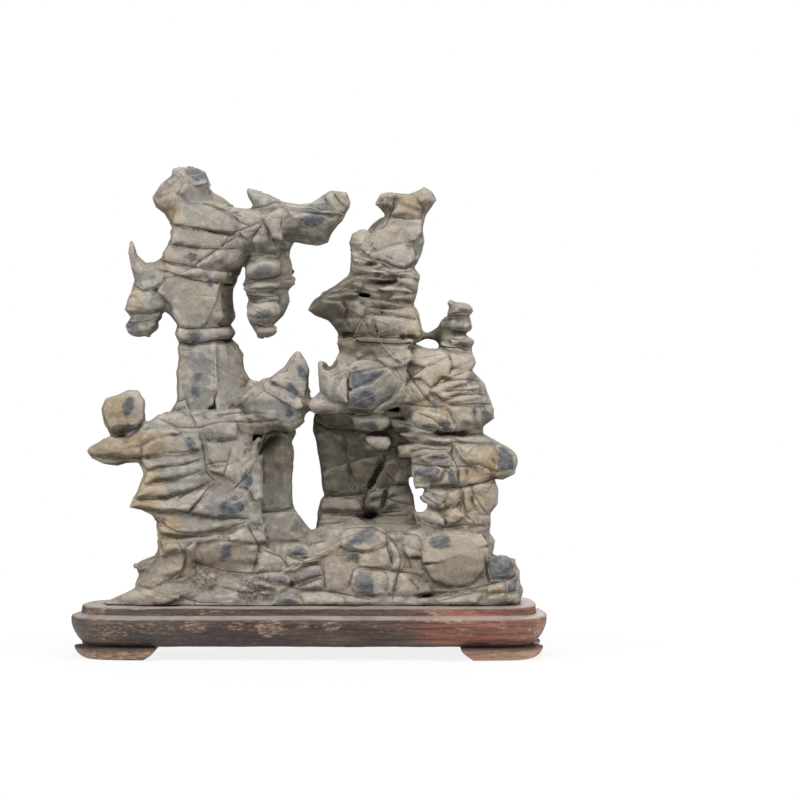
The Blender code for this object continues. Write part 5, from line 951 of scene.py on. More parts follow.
SLATE = (
    Patch(-27.8, 120.9, 2.2, 1.4, -12.0), Patch(-18.4, 110.4, 1.3, 0.8), Patch(2.4, 111.9, 4.4, 1.0, 6.0),
    Patch(0.9, 108.9, 3.0, 1.3), Patch(-11.4, 96.8, 2.6, 1.5, 16.0, 0.85), Patch(-15.5, 93.2, 1.3, 0.6),
    Patch(-11.4, 85.8, 2.0, 1.1, 14.0, 0.85), Patch(-45.0, 63.2, 1.3, 2.2, -14.0),
    Patch(-45.8, 57.4, 1.7, 1.2, 20.0), Patch(-28.4, 66.5, 1.0, 1.8, 12.0, 0.75),
    Patch(-27.8, 70.7, 0.6, 1.1, 0.0, 0.75), Patch(-26.1, 60.4, 0.7, 0.9), Patch(-24.8, 93.6, 0.9, 1.4),
    Patch(-27.4, 86.6, 3.0, 2.1, 10.0, 0.45), Patch(-28.9, 80.4, 1.7, 1.5, 0.0, 0.8),
    Patch(-19.0, 38.6, 2.9, 1.7, 24.0), Patch(-15.7, 45.4, 1.0, 2.0, 20.0),
    Patch(-20.9, 26.8, 0.8, 2.2, -10.0), Patch(-41.2, 23.5, 1.7, 0.7, 6.0),
    Patch(-2.1, 71.5, 0.7, 1.7, 30.0), Patch(-4.5, 66.8, 1.0, 2.3, 16.0),
    Patch(-4.9, 61.8, 0.8, 1.8, -20.0), Patch(-5.9, 56.6, 1.5, 0.5), Patch(14.5, 69.8, 4.4, 2.5, 24.0),
    Patch(12.6, 64.5, 2.8, 2.0, 14.0), Patch(14.5, 58.3, 1.9, 0.8, -6.0),
    Patch(33.3, 58.2, 1.0, 1.3, -30.0), Patch(29.3, 57.9, 2.1, 0.7, 10.0),
    Patch(31.0, 63.4, 0.9, 2.3, -30.0), Patch(40.6, 70.0, 1.5, 1.4),
    Patch(44.0, 61.6, 1.4, 1.3, 0.0, 0.8), Patch(30.9, 50.6, 3.2, 0.8, -6.0),
    Patch(33.2, 49.2, 2.2, 0.6, 8.0), Patch(48.6, 50.4, 2.3, 3.0, 10.0),
    Patch(28.8, 46.9, 3.2, 1.2, -4.0, 0.8), Patch(34.9, 45.7, 0.8, 1.8, 24.0),
    Patch(-3.8, 26.4, 2.5, 1.7, -10.0), Patch(-0.6, 21.9, 3.2, 1.6, 8.0, 0.7),
    Patch(12.3, 30.4, 4.4, 1.1, 32.0), Patch(13.5, 18.9, 2.0, 3.2, 8.0, 0.85),
    Patch(-7.0, 19.7, 1.6, 1.0, 0.0, 0.8), Patch(-5.4, 15.6, 3.4, 1.4, 0.0, 0.7),
    Patch(47.0, 23.2, 3.3, 2.8, 0.0, 0.95), Patch(49.4, 18.3, 1.5, 2.4, 0.0, 0.9),
    Patch(32.1, 29.9, 1.9, 1.7, 30.0), Patch(19.2, 98.9, 2.1, 0.8, -24.0),
    Patch(-37.9, 116.3, 1.2, 1.3, 0.0, 0.6), Patch(-43.9, 82.7, 1.7, 0.9, -14.0, 0.9),
    Patch(-39.7, 89.6, 2.4, 1.3, 10.0, 0.5), Patch(-29.3, 100.0, 0.9, 1.0),
    Patch(37.1, 68.3, 2.4, 0.8, 10.0, 0.6), Patch(30.1, 54.1, 2.3, 0.6, 0.0, 0.9),
    Patch(-36.0, 46.2, 5.0, 1.4, 10.0, 0.35), Patch(-33.0, 43.3, 6.0, 1.1, 16.0, 0.35),
    Patch(-34.0, 53.6, 4.0, 1.2, 10.0, 0.35), Patch(-29.6, 53.4, 0.9, 1.6, 20.0, 0.9),
    Patch(37.2, 86.9, 1.5, 0.8, 0.0, 0.6), Patch(36.6, 83.1, 1.0, 0.7, 0.0, 0.7),
    Patch(11.2, 72.4, 0.7, 0.7), Patch(21.4, 74.0, 0.9, 0.6), Patch(36.4, 33.2, 1.9, 0.6, 0.0, 0.8),
    Patch(34.6, 39.0, 1.2, 1.2, 30.0, 0.6), Patch(16.8, 53.4, 1.6, 0.7, 0.0, 0.5),
    Patch(-25.6, 96.0, 1.6, 0.9, 20.0, 0.6), Patch(11.0, 25.6, 2.2, 1.0, 10.0, 0.7),
    Patch(24.0, 101.0, 1.6, 1.0, 20.0, 0.4),
)

TAN = (
    Patch(34.0, 22.0, 11.0, 8.0, 0.0, 0.42), Patch(36.0, 38.0, 6.0, 10.0, 0.0, 0.3),
    Patch(-38.0, 20.0, 9.0, 6.0, 0.0, 0.4), Patch(10.0, 24.0, 12.0, 6.0, 0.0, 0.3),
    Patch(14.0, 106.0, 8.0, 6.0, 0.0, 0.3), Patch(-35.4, 111.6, 2.8, 4.0, 0.0, 1.3),
    Patch(-44.6, 53.0, 10.5, 3.2, 5.0, 1.1), Patch(-41.0, 41.0, 4.2, 9.0, 0.0, 1.2),
    Patch(-36.6, 31.4, 5.4, 5.6, 0.0, 1.2), Patch(-47.8, 61.8, 3.8, 5.0, 0.0, 1.3),
    Patch(42.6, 49.4, 4.6, 3.6, 0.0, 1.2), Patch(46.0, 17.2, 2.0, 2.1, 0.0, 1.6),
    Patch(26.0, 84.0, 2.4, 7.0, 0.0, 0.9), Patch(25.2, 113.4, 4.4, 3.2, 0.0, 0.8),
    Patch(33.3, 66.0, 7.0, 8.0, 0.0, 0.6), Patch(38.3, 39.0, 7.0, 8.0, 0.0, 0.6),
    Patch(-26.1, 24.5, 4.6, 3.4, 0.0, 0.7), Patch(-43.2, 89.6, 1.8, 3.4, 0.0, 0.7),
    Patch(-36.0, 99.0, 2.2, 4.0, 0.0, 0.5), Patch(-31.0, 71.0, 2.2, 6.0, 0.0, 0.35),
    Patch(42.0, 45.6, 4.0, 2.0, 0.0, 0.8), Patch(-20.0, 25.0, 5.0, 4.0, 0.0, 0.4),
    Patch(30.0, 60.5, 4.0, 1.6, 0.0, 0.5),
)

CRUMBLE = (
    Patch(-26.4, 21.4, 3.4, 3.4, 0.0, 0.9), Patch(-13.4, 18.4, 4.6, 3.4, 0.0, 1.0),
    Patch(-37.2, 35.2, 1.4, 2.0, 30.0, 1.0), Patch(19.2, 113.6, 2.0, 2.0, 0.0, 1.0),
    Patch(22.0, 57.6, 2.4, 1.8, 0.0, 0.7), Patch(-22.5, 55.4, 1.6, 1.8, 0.0, 0.7),
    Patch(-42.0, 57.8, 2.0, 1.2, 0.0, 0.7),
)

VEINS = (
    ((-33.6, 118.0), (-29.6, 120.2), (-26.4, 120.6)), ((-37.0, 115.6), (-31.0, 117.4), (-26.2, 119.4)),
    ((-33.0, 113.6), (-28.0, 111.6), (-22.0, 108.4)), ((-26.8, 119.6), (-25.2, 117.4)),
    ((3.6, 115.4), (7.0, 111.2), (8.4, 110.0)), ((4.8, 116.0), (8.0, 111.8)),
    ((-6.4, 112.6), (0.0, 112.2), (6.6, 110.4)), ((-2.8, 110.8), (2.4, 110.2), (7.0, 110.2)),
    ((-8.8, 109.6), (-7.4, 107.0), (-7.6, 103.4)), ((8.6, 73.4), (9.6, 70.0), (8.8, 66.4), (10.0, 62.8)),
    ((2.8, 71.6), (5.0, 70.0), (8.6, 71.6), (11.4, 74.0), (16.0, 74.6)),
    ((10.4, 66.8), (15.0, 68.2), (20.2, 72.4)), ((11.0, 64.0), (15.6, 66.0), (21.0, 69.6)),
    ((20.4, 64.6), (23.0, 68.0), (25.0, 72.6)), ((22.4, 74.6), (24.6, 69.0), (27.8, 65.6)),
    ((28.0, 61.6), (31.4, 60.8), (35.0, 62.0), (38.0, 63.4)), ((35.0, 56.4), (36.6, 59.8), (35.8, 62.6)),
    ((35.2, 54.8), (37.6, 50.6), (39.6, 49.2)), ((35.0, 48.6), (38.0, 51.6), (40.8, 54.0)),
    ((33.4, 36.4), (36.8, 40.6), (38.4, 44.0)), ((30.0, 34.8), (35.0, 37.4), (41.0, 34.0)),
    ((-20.6, 38.0), (-16.2, 40.4), (-14.0, 44.4)), ((-21.6, 40.0), (-16.0, 39.0)),
    ((-18.4, 41.6), (-15.6, 37.2)), ((-16.8, 47.4), (-13.4, 45.0), (-12.6, 40.0)),
    ((-4.6, 63.0), (-1.4, 65.6)), ((-7.6, 69.6), (-3.0, 69.2), (-0.8, 69.4)),
    ((-6.4, 58.6), (-3.4, 58.9)), ((-11.0, 57.6), (-12.4, 52.6)),
    ((15.4, 86.0), (12.8, 84.6), (11.0, 80.4)), ((9.6, 87.4), (12.4, 86.0), (15.0, 86.6)),
    ((16.8, 79.6), (21.0, 74.8), (24.6, 73.2)), ((17.4, 81.4), (24.8, 84.4)),
    ((18.4, 84.0), (24.2, 80.8)), ((-4.8, 25.6), (1.0, 26.2), (5.0, 27.8), (9.0, 30.4)),
    ((8.8, 26.6), (12.0, 26.8), (15.0, 24.6)), ((27.0, 30.4), (33.0, 31.2), (39.0, 30.8), (43.0, 29.0)),
    ((40.2, 44.2), (42.8, 45.6), (45.4, 46.0)), ((12.6, 101.6), (15.4, 104.0), (18.6, 104.4)),
    ((21.4, 104.0), (24.8, 103.0), (25.8, 100.2)), ((-31.4, 63.8), (-29.4, 61.6), (-27.6, 59.2)),
    ((-32.6, 76.6), (-27.0, 76.8), (-23.6, 75.0), (-23.4, 66.0)),
    ((-46.8, 60.6), (-44.4, 58.8), (-42.4, 59.4)), ((-49.6, 57.6), (-47.2, 60.2)),
)

CALM = (
    Patch(-27.0, 106.0, 9.0, 6.5), Patch(-27.0, 116.0, 7.0, 6.0, 0.0, 0.6),
    Patch(-27.0, 88.0, 7.5, 11.0, 0.0, 0.75), Patch(-27.0, 70.0, 7.5, 10.0, 0.0, 0.8),
    Patch(20.0, 104.0, 7.5, 6.5, 0.0, 0.8), Patch(18.0, 83.0, 8.0, 3.6, 0.0, 0.9),
    Patch(30.0, 72.5, 9.0, 5.5, 0.0, 0.7), Patch(14.0, 70.0, 9.0, 6.5, 0.0, 0.85),
    Patch(36.0, 25.0, 7.5, 5.5, 0.0, 0.9), Patch(-7.0, 66.0, 6.5, 7.0, 0.0, 0.8),
    Patch(-8.0, 44.0, 4.5, 12.0, 0.0, 0.7), Patch(1.0, 110.0, 9.0, 4.0, 0.0, 0.7),
    Patch(-46.5, 61.5, 5.0, 5.5, 0.0, 0.7), Patch(-32.5, 54.0, 7.0, 4.0, 0.0, 0.5),
    Patch(4.0, 87.0, 4.5, 4.0, 0.0, 0.6), Patch(-23.0, 52.0, 6.0, 7.0, 0.0, 0.6),
    Patch(-11.5, 97.0, 4.5, 2.6, 0.0, 0.8), Patch(12.0, 50.0, 9.0, 9.0, 0.0, 0.4),
)

LIGHTER = (
    Patch(7.6, 38.6, 4.6, 2.4, 0.0, 0.35), Patch(16.2, 40.2, 1.8, 3.4, 0.0, 0.35),
    Patch(22.0, 41.4, 2.8, 3.0, 0.0, 0.35), Patch(14.8, 59.2, 4.8, 2.3, -4.0, 0.9),
    Patch(16.6, 54.0, 3.0, 1.7, 0.0, 0.9), Patch(-27.0, 107.0, 8.0, 7.0, 0.0, 0.30),
    Patch(-27.0, 90.0, 6.0, 10.0, 0.0, 0.25), Patch(34.0, 71.0, 8.0, 6.0, 0.0, 0.75),
    Patch(24.5, 73.0, 6.0, 4.0, 0.0, 0.45), Patch(36.0, 50.0, 9.0, 5.0, 0.0, 0.55),
    Patch(35.6, 26.0, 7.0, 4.6, 0.0, 0.35), Patch(19.5, 103.0, 5.0, 4.0, 0.0, 0.35),
    Patch(-7.0, 72.0, 4.0, 2.0, 0.0, 0.35), Patch(-46.0, 53.5, 6.0, 1.6, 0.0, 0.35),
    Patch(2.0, 113.0, 5.0, 1.2, 0.0, 0.45), Patch(13.0, 62.0, 7.0, 1.0, 0.0, 0.6),
    Patch(-33.0, 50.0, 6.0, 2.0, 0.0, 0.2), Patch(19.0, 83.0, 6.0, 2.6, 0.0, 0.15),
    Patch(24.0, 37.0, 3.0, 1.6, 0.0, 0.4), Patch(34.0, 60.0, 6.0, 3.0, 0.0, 0.45),
)

# Patches of painted shade in recesses, such as the recessed wall and the wing, with some darker tone of the
# stone's own.
DARKER = (
    Patch(-24.0, 51.0, 5.0, 6.4, 0.0, 0.3), Patch(21.0, 33.8, 6.0, 1.8, 0.0, 0.5),
    Patch(-1.0, 33.0, 7.0, 4.0, 0.0, 0.35), Patch(-46.0, 52.0, 12.0, 3.4, 4.0, 0.5),
    Patch(-47.0, 61.8, 6.0, 6.0, 0.0, 0.30), Patch(14.4, 79.6, 9.0, 4.4, 0.0, 1.0),
    Patch(3.6, 84.0, 7.0, 7.0, -30.0, 0.85), Patch(35.0, 25.0, 9.0, 6.0, 0.0, 0.42),
    Patch(3.0, 106.0, 5.0, 2.2, 10.0, 0.6), Patch(-4.4, 107.0, 2.4, 3.0, 0.0, 0.5),
    Patch(-6.4, 94.0, 2.2, 8.0, 0.0, 0.4), Patch(11.0, 96.0, 1.6, 3.4, 0.0, 0.6),
    Patch(16.5, 90.4, 5.0, 1.2, 0.0, 0.6), Patch(16.0, 94.0, 5.4, 1.4, 6.0, 0.5),
    Patch(10.0, 83.0, 3.0, 2.6, 0.0, 0.5), Patch(33.0, 83.0, 2.0, 3.4, 0.0, 0.5),
    Patch(5.0, 88.0, 7.0, 5.6, 30.0, 1.1), Patch(12.0, 93.0, 4.0, 4.6, 0.0, 0.75),
    Patch(14.0, 88.0, 7.0, 2.6, 0.0, 0.55), Patch(11.0, 49.0, 11.0, 10.6, 0.0, 1.2),
    Patch(14.0, 40.0, 11.0, 5.6, 0.0, 0.8), Patch(-8.0, 50.0, 5.0, 8.0, 0.0, 0.45),
    Patch(-18.4, 86.0, 2.2, 9.0, 0.0, 0.65), Patch(-18.6, 96.2, 2.4, 2.0, 0.0, 1.0),
    Patch(-10.0, 54.4, 4.0, 2.2, 35.0, 1.1), Patch(13.0, 61.2, 3.6, 1.2, 0.0, 1.1),
    Patch(15.0, 36.0, 3.0, 1.6, 0.0, 1.1), Patch(28.4, 16.2, 3.0, 0.7, 6.0, 1.0),
    Patch(-15.0, 58.0, 3.0, 5.0, 0.0, 0.45), Patch(30.4, 80.6, 2.6, 1.6, 20.0, 0.7),
    Patch(-13.4, 101.8, 3.4, 1.4, 30.0, 0.4), Patch(-1.0, 107.0, 2.4, 3.0, 0.0, 0.35),
    Patch(3.0, 59.0, 3.4, 3.0, 0.0, 0.8), Patch(-13.0, 90.3, 2.6, 0.8, 0.0, 0.7),
    Patch(4.0, 80.0, 2.4, 2.4, 0.0, 0.6), Patch(-36.6, 91.0, 1.6, 3.0, 0.0, 0.2),
    Patch(-5.0, 34.0, 4.0, 2.6, 0.0, 0.5), Patch(-42.0, 38.6, 2.4, 1.2, 0.0, 0.4),
    Patch(44.0, 44.8, 3.0, 0.9, 0.0, 0.4), Patch(-32.0, 20.0, 4.0, 2.0, 0.0, 0.25),
    Patch(48.0, 14.4, 3.4, 1.4, 0.0, 0.5), Patch(9.6, 78.4, 3.0, 3.0, 0.0, 0.4),
    Patch(35.2, 56.2, 4.6, 0.7, 0.0, 0.9),
)

# Patches of near-black painted shade in the deepest crevices and slots.
PIT_SHADE = (
    Patch(3.6, 86.6, 5.4, 3.0, -24.0, 0.35), Patch(7.4, 91.0, 4.0, 1.6, 10.0, 0.45),
    Patch(14.6, 37.0, 1.7, 1.5, 10.0, 0.95), Patch(13.3, 39.0, 0.42, 2.9, 2.0, 0.95),
    Patch(18.5, 40.4, 0.22, 3.0, 4.0, 0.8), Patch(8.0, 41.2, 4.6, 0.3, 4.0, 0.8),
    Patch(2.2, 84.6, 2.6, 0.5, -30.0, 0.6), Patch(29.0, 16.4, 3.6, 0.9, 4.0, 0.9),
    Patch(-14.0, 24.6, 1.6, 0.4, -20.0, 0.6), Patch(22.0, 57.4, 3.0, 0.5, -10.0, 0.7),
    Patch(9.6, 57.2, 3.4, 0.45, -12.0, 0.8), Patch(-19.2, 95.9, 1.7, 0.9, 16.0, 1.0),
    Patch(-10.4, 54.6, 3.2, 1.5, 38.0, 1.0), Patch(12.8, 61.8, 2.6, 0.5, -4.0, 0.8),
    Patch(14.6, 36.0, 2.9, 1.1, 12.0, 1.0), Patch(16.2, 46.0, 0.28, 4.6, -29.0, 0.95),
    Patch(28.0, 16.2, 2.8, 0.6, 6.0, 0.9), Patch(35.4, 56.3, 4.6, 0.45, 0.0, 0.9),
    Patch(48.2, 14.0, 2.2, 0.7, 0.0, 1.0), Patch(-4.5, 19.0, 0.7, 0.9, 0.0, 0.8),
    Patch(9.2, 81.0, 2.2, 0.5, 0.0, 0.8), Patch(-13.6, 90.3, 2.4, 0.4, -8.0, 0.8),
    Patch(15.0, 98.2, 1.8, 0.4, 6.0, 0.9), Patch(18.6, 93.6, 2.6, 0.45, 4.0, 0.9),
    Patch(13.3, 90.4, 1.6, 0.4, -8.0, 0.9), Patch(4.8, 89.4, 1.3, 0.35, 0.0, 0.9),
    Patch(15.6, 87.7, 0.9, 0.4, 0.0, 0.8), Patch(18.4, 41.0, 0.4, 2.2, -24.0, 0.8),
    Patch(5.8, 57.8, 4.4, 0.5, -8.0, 0.7),
)

RUBBED = (
    Patch(-49.2, 7.7, 5.6, 2.6, 0.0, 0.55), Patch(-50.8, 6.7, 0.9, 0.7, 0.0, 1.3),
    Patch(-38.6, 8.2, 5.0, 1.6, 0.0, 0.6), Patch(-28.9, 8.5, 3.3, 1.4, 0.0, 0.95),
    Patch(-18.4, 8.4, 1.6, 1.4, 0.0, 0.8), Patch(-10.3, 7.9, 4.0, 2.2, 0.0, 1.1),
    Patch(-1.7, 8.7, 1.4, 1.2, 0.0, 0.7), Patch(5.1, 8.7, 2.2, 1.2, 0.0, 0.85),
    Patch(14.0, 8.8, 3.0, 0.7, 0.0, 0.5), Patch(36.3, 9.9, 8.0, 0.7, 0.0, 1.0),
    Patch(38.0, 7.4, 2.6, 1.8, 0.0, 0.6), Patch(46.6, 8.8, 2.6, 1.6, 0.0, 0.9),
    Patch(52.6, 7.4, 2.8, 2.2, 0.0, 0.7), Patch(57.0, 7.6, 1.8, 3.4, 0.0, 1.0),
    Patch(31.8, 12.0, 3.2, 0.8, 0.0, 1.0), Patch(40.6, 12.0, 2.4, 0.8, 0.0, 0.9),
    Patch(-53.6, 12.0, 2.6, 1.0, 0.0, 0.8), Patch(-24.0, 12.0, 5.0, 0.5, 0.0, 0.6),
    Patch(-46.5, 1.4, 9.0, 1.3, 0.0, 1.0), Patch(50.0, 1.2, 9.0, 1.3, 0.0, 0.9),
    Patch(-40.0, 2.6, 3.0, 0.8, 0.0, 0.6),
)

PLUG_OUTLINE = (
    (-49.0, -4.0), (-47.0, -9.0), (-41.0, -12.6), (-30.0, -13.8), (-12.0, -12.8), (5.0, -13.6),
    (22.0, -13.0), (38.0, -14.4), (46.0, -13.6), (49.4, -8.0), (50.4, 0.0), (48.6, 8.0),
    (40.0, 12.4), (20.0, 13.4), (0.0, 12.6), (-20.0, 11.4), (-36.0, 7.6), (-46.0, 3.0),
)
SOCKET_OUTLINE = (
    (-51.2, -5.0), (-49.0, -10.4), (-42.0, -13.4), (-30.0, -14.5), (-12.0, -13.5), (5.0, -14.3),
    (22.0, -13.7), (38.0, -15.1), (47.6, -14.9), (51.6, -10.5), (51.4, 0.2), (49.5, 8.6),
    (40.4, 13.1), (20.0, 14.1), (0.0, 13.3), (-20.2, 12.1), (-36.5, 8.3), (-47.4, 3.4),
)
STAND_OUTLINE = (
    (-45.0, -24.6), (-36.0, -24.9), (36.0, -26.0), (44.0, -26.0), (52.4, -23.6), (56.6, -17.0),
    (58.2, -5.0), (58.2, 9.0), (56.8, 18.0), (52.5, 24.0), (44.0, 26.0), (18.0, 25.0), (-14.0, 22.0),
    (-38.0, 18.2), (-49.5, 14.2), (-56.0, 6.6), (-58.3, -3.0), (-57.4, -13.0), (-53.2, -21.2),
)


def patch_mask(patch: Patch, readings: np.ndarray, edge: np.ndarray | float) -> np.ndarray:
    """Tells how much of a patch covers each reading.

    Args:
        patch: the patch.
        readings: readings, one in each row.
        edge: unevenness added to the patch's border.

    Returns:
        Values from 0 to the patch's strength.
    """
    turn = math.radians(patch.tilt)
    du = readings[:, 0] - patch.x
    dv = readings[:, 1] - patch.height
    along = (du * math.cos(turn) + dv * math.sin(turn)) / patch.half_width
    up = (dv * math.cos(turn) - du * math.sin(turn)) / patch.half_height
    return patch.strength * eased(-(np.hypot(along, up) + edge), -1.3, -0.75)


def block_round(patch: Patch) -> Points | None:
    """Finds the outline of the smallest block that holds a patch's middle, if there is one."""
    holders = []
    for block in BLOCKS:
        marks = np.array(block.outline)
        width, height = marks.max(axis=0) - marks.min(axis=0)
        middle = outline_distance(np.array([patch.x]), np.array([patch.height]), block.outline)[0]
        if middle < 0.0:
            holders.append((width * height, block.outline))
    return min(holders)[1] if holders else None


def eased(value: np.ndarray, low: float, high: float) -> np.ndarray:
    """Rises smoothly from 0 at low to 1 at high."""
    part = np.clip((value - low) / (high - low), 0.0, 1.0)
    return part * part * (3.0 - 2.0 * part)


def outline_distance(across: np.ndarray, along: np.ndarray, outline: Points) -> np.ndarray:
    """Measures how far points lie from a closed outline.

    Args:
        across: first coordinate of the points.
        along: second coordinate of the points, of the same shape.
        outline: corners of the outline in order.

    Returns:
        Distances of the same shape, negative inside the outline.
    """
    corners = np.array(outline, float)
    nearest = np.full(across.shape, 1e9)
    inside = np.zeros(across.shape, bool)
    for (ax, ay), (bx, by) in zip(corners, np.roll(corners, -1, axis=0)):
        ex, ey = bx - ax, by - ay
        share = np.clip(((across - ax) * ex + (along - ay) * ey) / (ex * ex + ey * ey), 0.0, 1.0)
        gap = (across - ax - share * ex) ** 2 + (along - ay - share * ey) ** 2
        nearest = np.minimum(nearest, gap)
        if ey != 0.0:
            crosses = (along < ay) != (along < by)
            inside ^= crosses & (across < ax + (along - ay) * ex / ey)
    return np.sqrt(nearest) * np.where(inside, -1.0, 1.0)


def blended_union(one: np.ndarray, other: np.ndarray, soft: float) -> np.ndarray:
    """Takes the lesser of two fields, rounded off where they meet."""
    share = np.clip(0.5 + 0.5 * (other - one) / soft, 0.0, 1.0)
    return other * (1.0 - share) + one * share - soft * share * (1.0 - share)


def blended_cut(solid: np.ndarray, tool: np.ndarray, soft: float) -> np.ndarray:
    """Takes a tool's field out of a solid's, rounded off along the cut."""
    return -blended_union(-solid, tool, soft)


@dataclass(frozen=True)
class Grain:
    """Repeatable smooth noise and joint patterns over points in space."""

    seed: int
    wave_shift: float = 17.0
    knot_shift: float = 9.0

    def wave(self, spots: np.ndarray, size: Sequence[float]) -> np.ndarray:
        """Gives smooth noise.

        Args:
            spots: points, one in each row.
            size: how far apart the noise's knots are along each axis.

        Returns:
            One value from -1 to 1 for each point.
        """
        span = 64
        knots = np.random.default_rng(self.seed).uniform(-1.0, 1.0, (span, span, span))
        scaled = spots / np.array(size) + self.wave_shift
        cell = np.floor(scaled).astype(int)
        part = scaled - cell
        part = part * part * (3.0 - 2.0 * part)
        total = np.zeros(len(spots))
        for corner in np.ndindex(2, 2, 2):
            weight = np.prod(np.where(np.array(corner) == 1, part, 1.0 - part), axis=1)
            at = (cell + corner) % span
            total += weight * knots[at[:, 0], at[:, 1], at[:, 2]]
        return total

    def sheet(self, across: np.ndarray, height: np.ndarray, size: tuple[float, float]) -> np.ndarray:
        """Gives smooth noise over a flat sheet of readings, in the sheet's own shape."""
        spots = np.stack((across.ravel(), np.zeros(across.size), height.ravel()), axis=1)
        return self.wave(spots, (size[0], 1.0, size[1])).reshape(across.shape)

    def joints(self, spots: np.ndarray, size: Sequence[float]) -> np.ndarray:
        """Gives the distance to the joints between irregular blocks.

        Args:
            spots: points, one in each row.
            size: the blocks' size along each axis.

        Returns:
            One value for each point, 0 on a joint and about 1 in the middle of a block.
        """
        first, second, _ = self._nearest_knots(spots, size)
        return second - first

    def facets(self, spots: np.ndarray, size: Sequence[float]) -> np.ndarray:
        """Gives the heights of scooped facets that meet in ridges.

        Args:
            spots: points, one in each row.
            size: the facets' size along each axis.

        Returns:
            One value for each point, 0 in the middle of a facet and about 1 on a ridge.
        """
        first, _, _ = self._nearest_knots(spots, size)
        return np.minimum(first, 1.2) ** 2

    def tints(self, spots: np.ndarray, size: Sequence[float]) -> np.ndarray:
        """Gives each of the facets its own value, from -1 to 1."""
        return self._nearest_knots(spots, size)[2]

    def _nearest_knots(self, spots: np.ndarray, size: Sequence[float]) -> list[np.ndarray]:
        """Gives the distances to the two nearest scattered knots, and the nearest one's own value."""
        span = 32
        shifts = np.random.default_rng(self.seed).uniform(0.1, 0.9, (span, span, span, 3))
        scaled = spots / np.array(size) + self.knot_shift
        cell = np.floor(scaled).astype(int)
        first = np.full(len(spots), FAR_OFF)
        second = np.full(len(spots), FAR_OFF)
        own = np.zeros(len(spots))
        for step in np.ndindex(3, 3, 3):
            near = cell + np.array(step) - 1
            at = near % span
            knot = near + shifts[at[:, 0], at[:, 1], at[:, 2]]
            gap = np.linalg.norm(knot - scaled, axis=1)
            own = np.where(gap < first, (knot - near)[:, 0] * 2.5 - 1.25, own)
            second = np.minimum(second, np.maximum(first, gap))
            first = np.minimum(first, gap)
        return [first, second, own]


@dataclass
class Skin:
    """A surface as points and the corners of its faces."""

    spots: np.ndarray
    faces: np.ndarray

    def edges(self) -> np.ndarray:
        """Lists each side of each face as a pair of point numbers."""
        return np.concatenate([np.stack((self.faces[:, i], self.faces[:, i - 1]), axis=1)
                               for i in range(self.faces.shape[1])])

    def normals(self) -> np.ndarray:
        """Gives the outward direction at each point."""
        a, b, c = (self.spots[self.faces[:, i]] for i in (0, 1, 2))
        d = self.spots[self.faces[:, -1]]
        facing = np.cross(c - a, d - b) if self.faces.shape[1] == 4 else np.cross(b - a, c - a)
        total = np.stack([sum(np.bincount(self.faces[:, i], facing[:, axis], len(self.spots))
                              for i in range(self.faces.shape[1])) for axis in range(3)], axis=1)
        return total / np.maximum(np.linalg.norm(total, axis=1, keepdims=True), 1e-12)

    def smoothed(self, values: np.ndarray, passes: int) -> np.ndarray:
        """Evens out values over neighbouring points.

        Args:
            values: one row for each point.
            passes: how many times each point takes on the mean of its neighbours.

        Returns:
            The evened values.
        """
        pairs = self.edges()
        start = np.concatenate((pairs[:, 0], pairs[:, 1]))
        end = np.concatenate((pairs[:, 1], pairs[:, 0]))
        count = np.maximum(np.bincount(start, minlength=len(self.spots)), 1)
        table = values.reshape(len(self.spots), -1).copy()
        for _ in range(passes):
            mean = np.stack([np.bincount(start, column[end], len(self.spots)) / count
                             for column in table.T], axis=1)
            table = 0.5 * table + 0.5 * mean
        return table.reshape(values.shape)


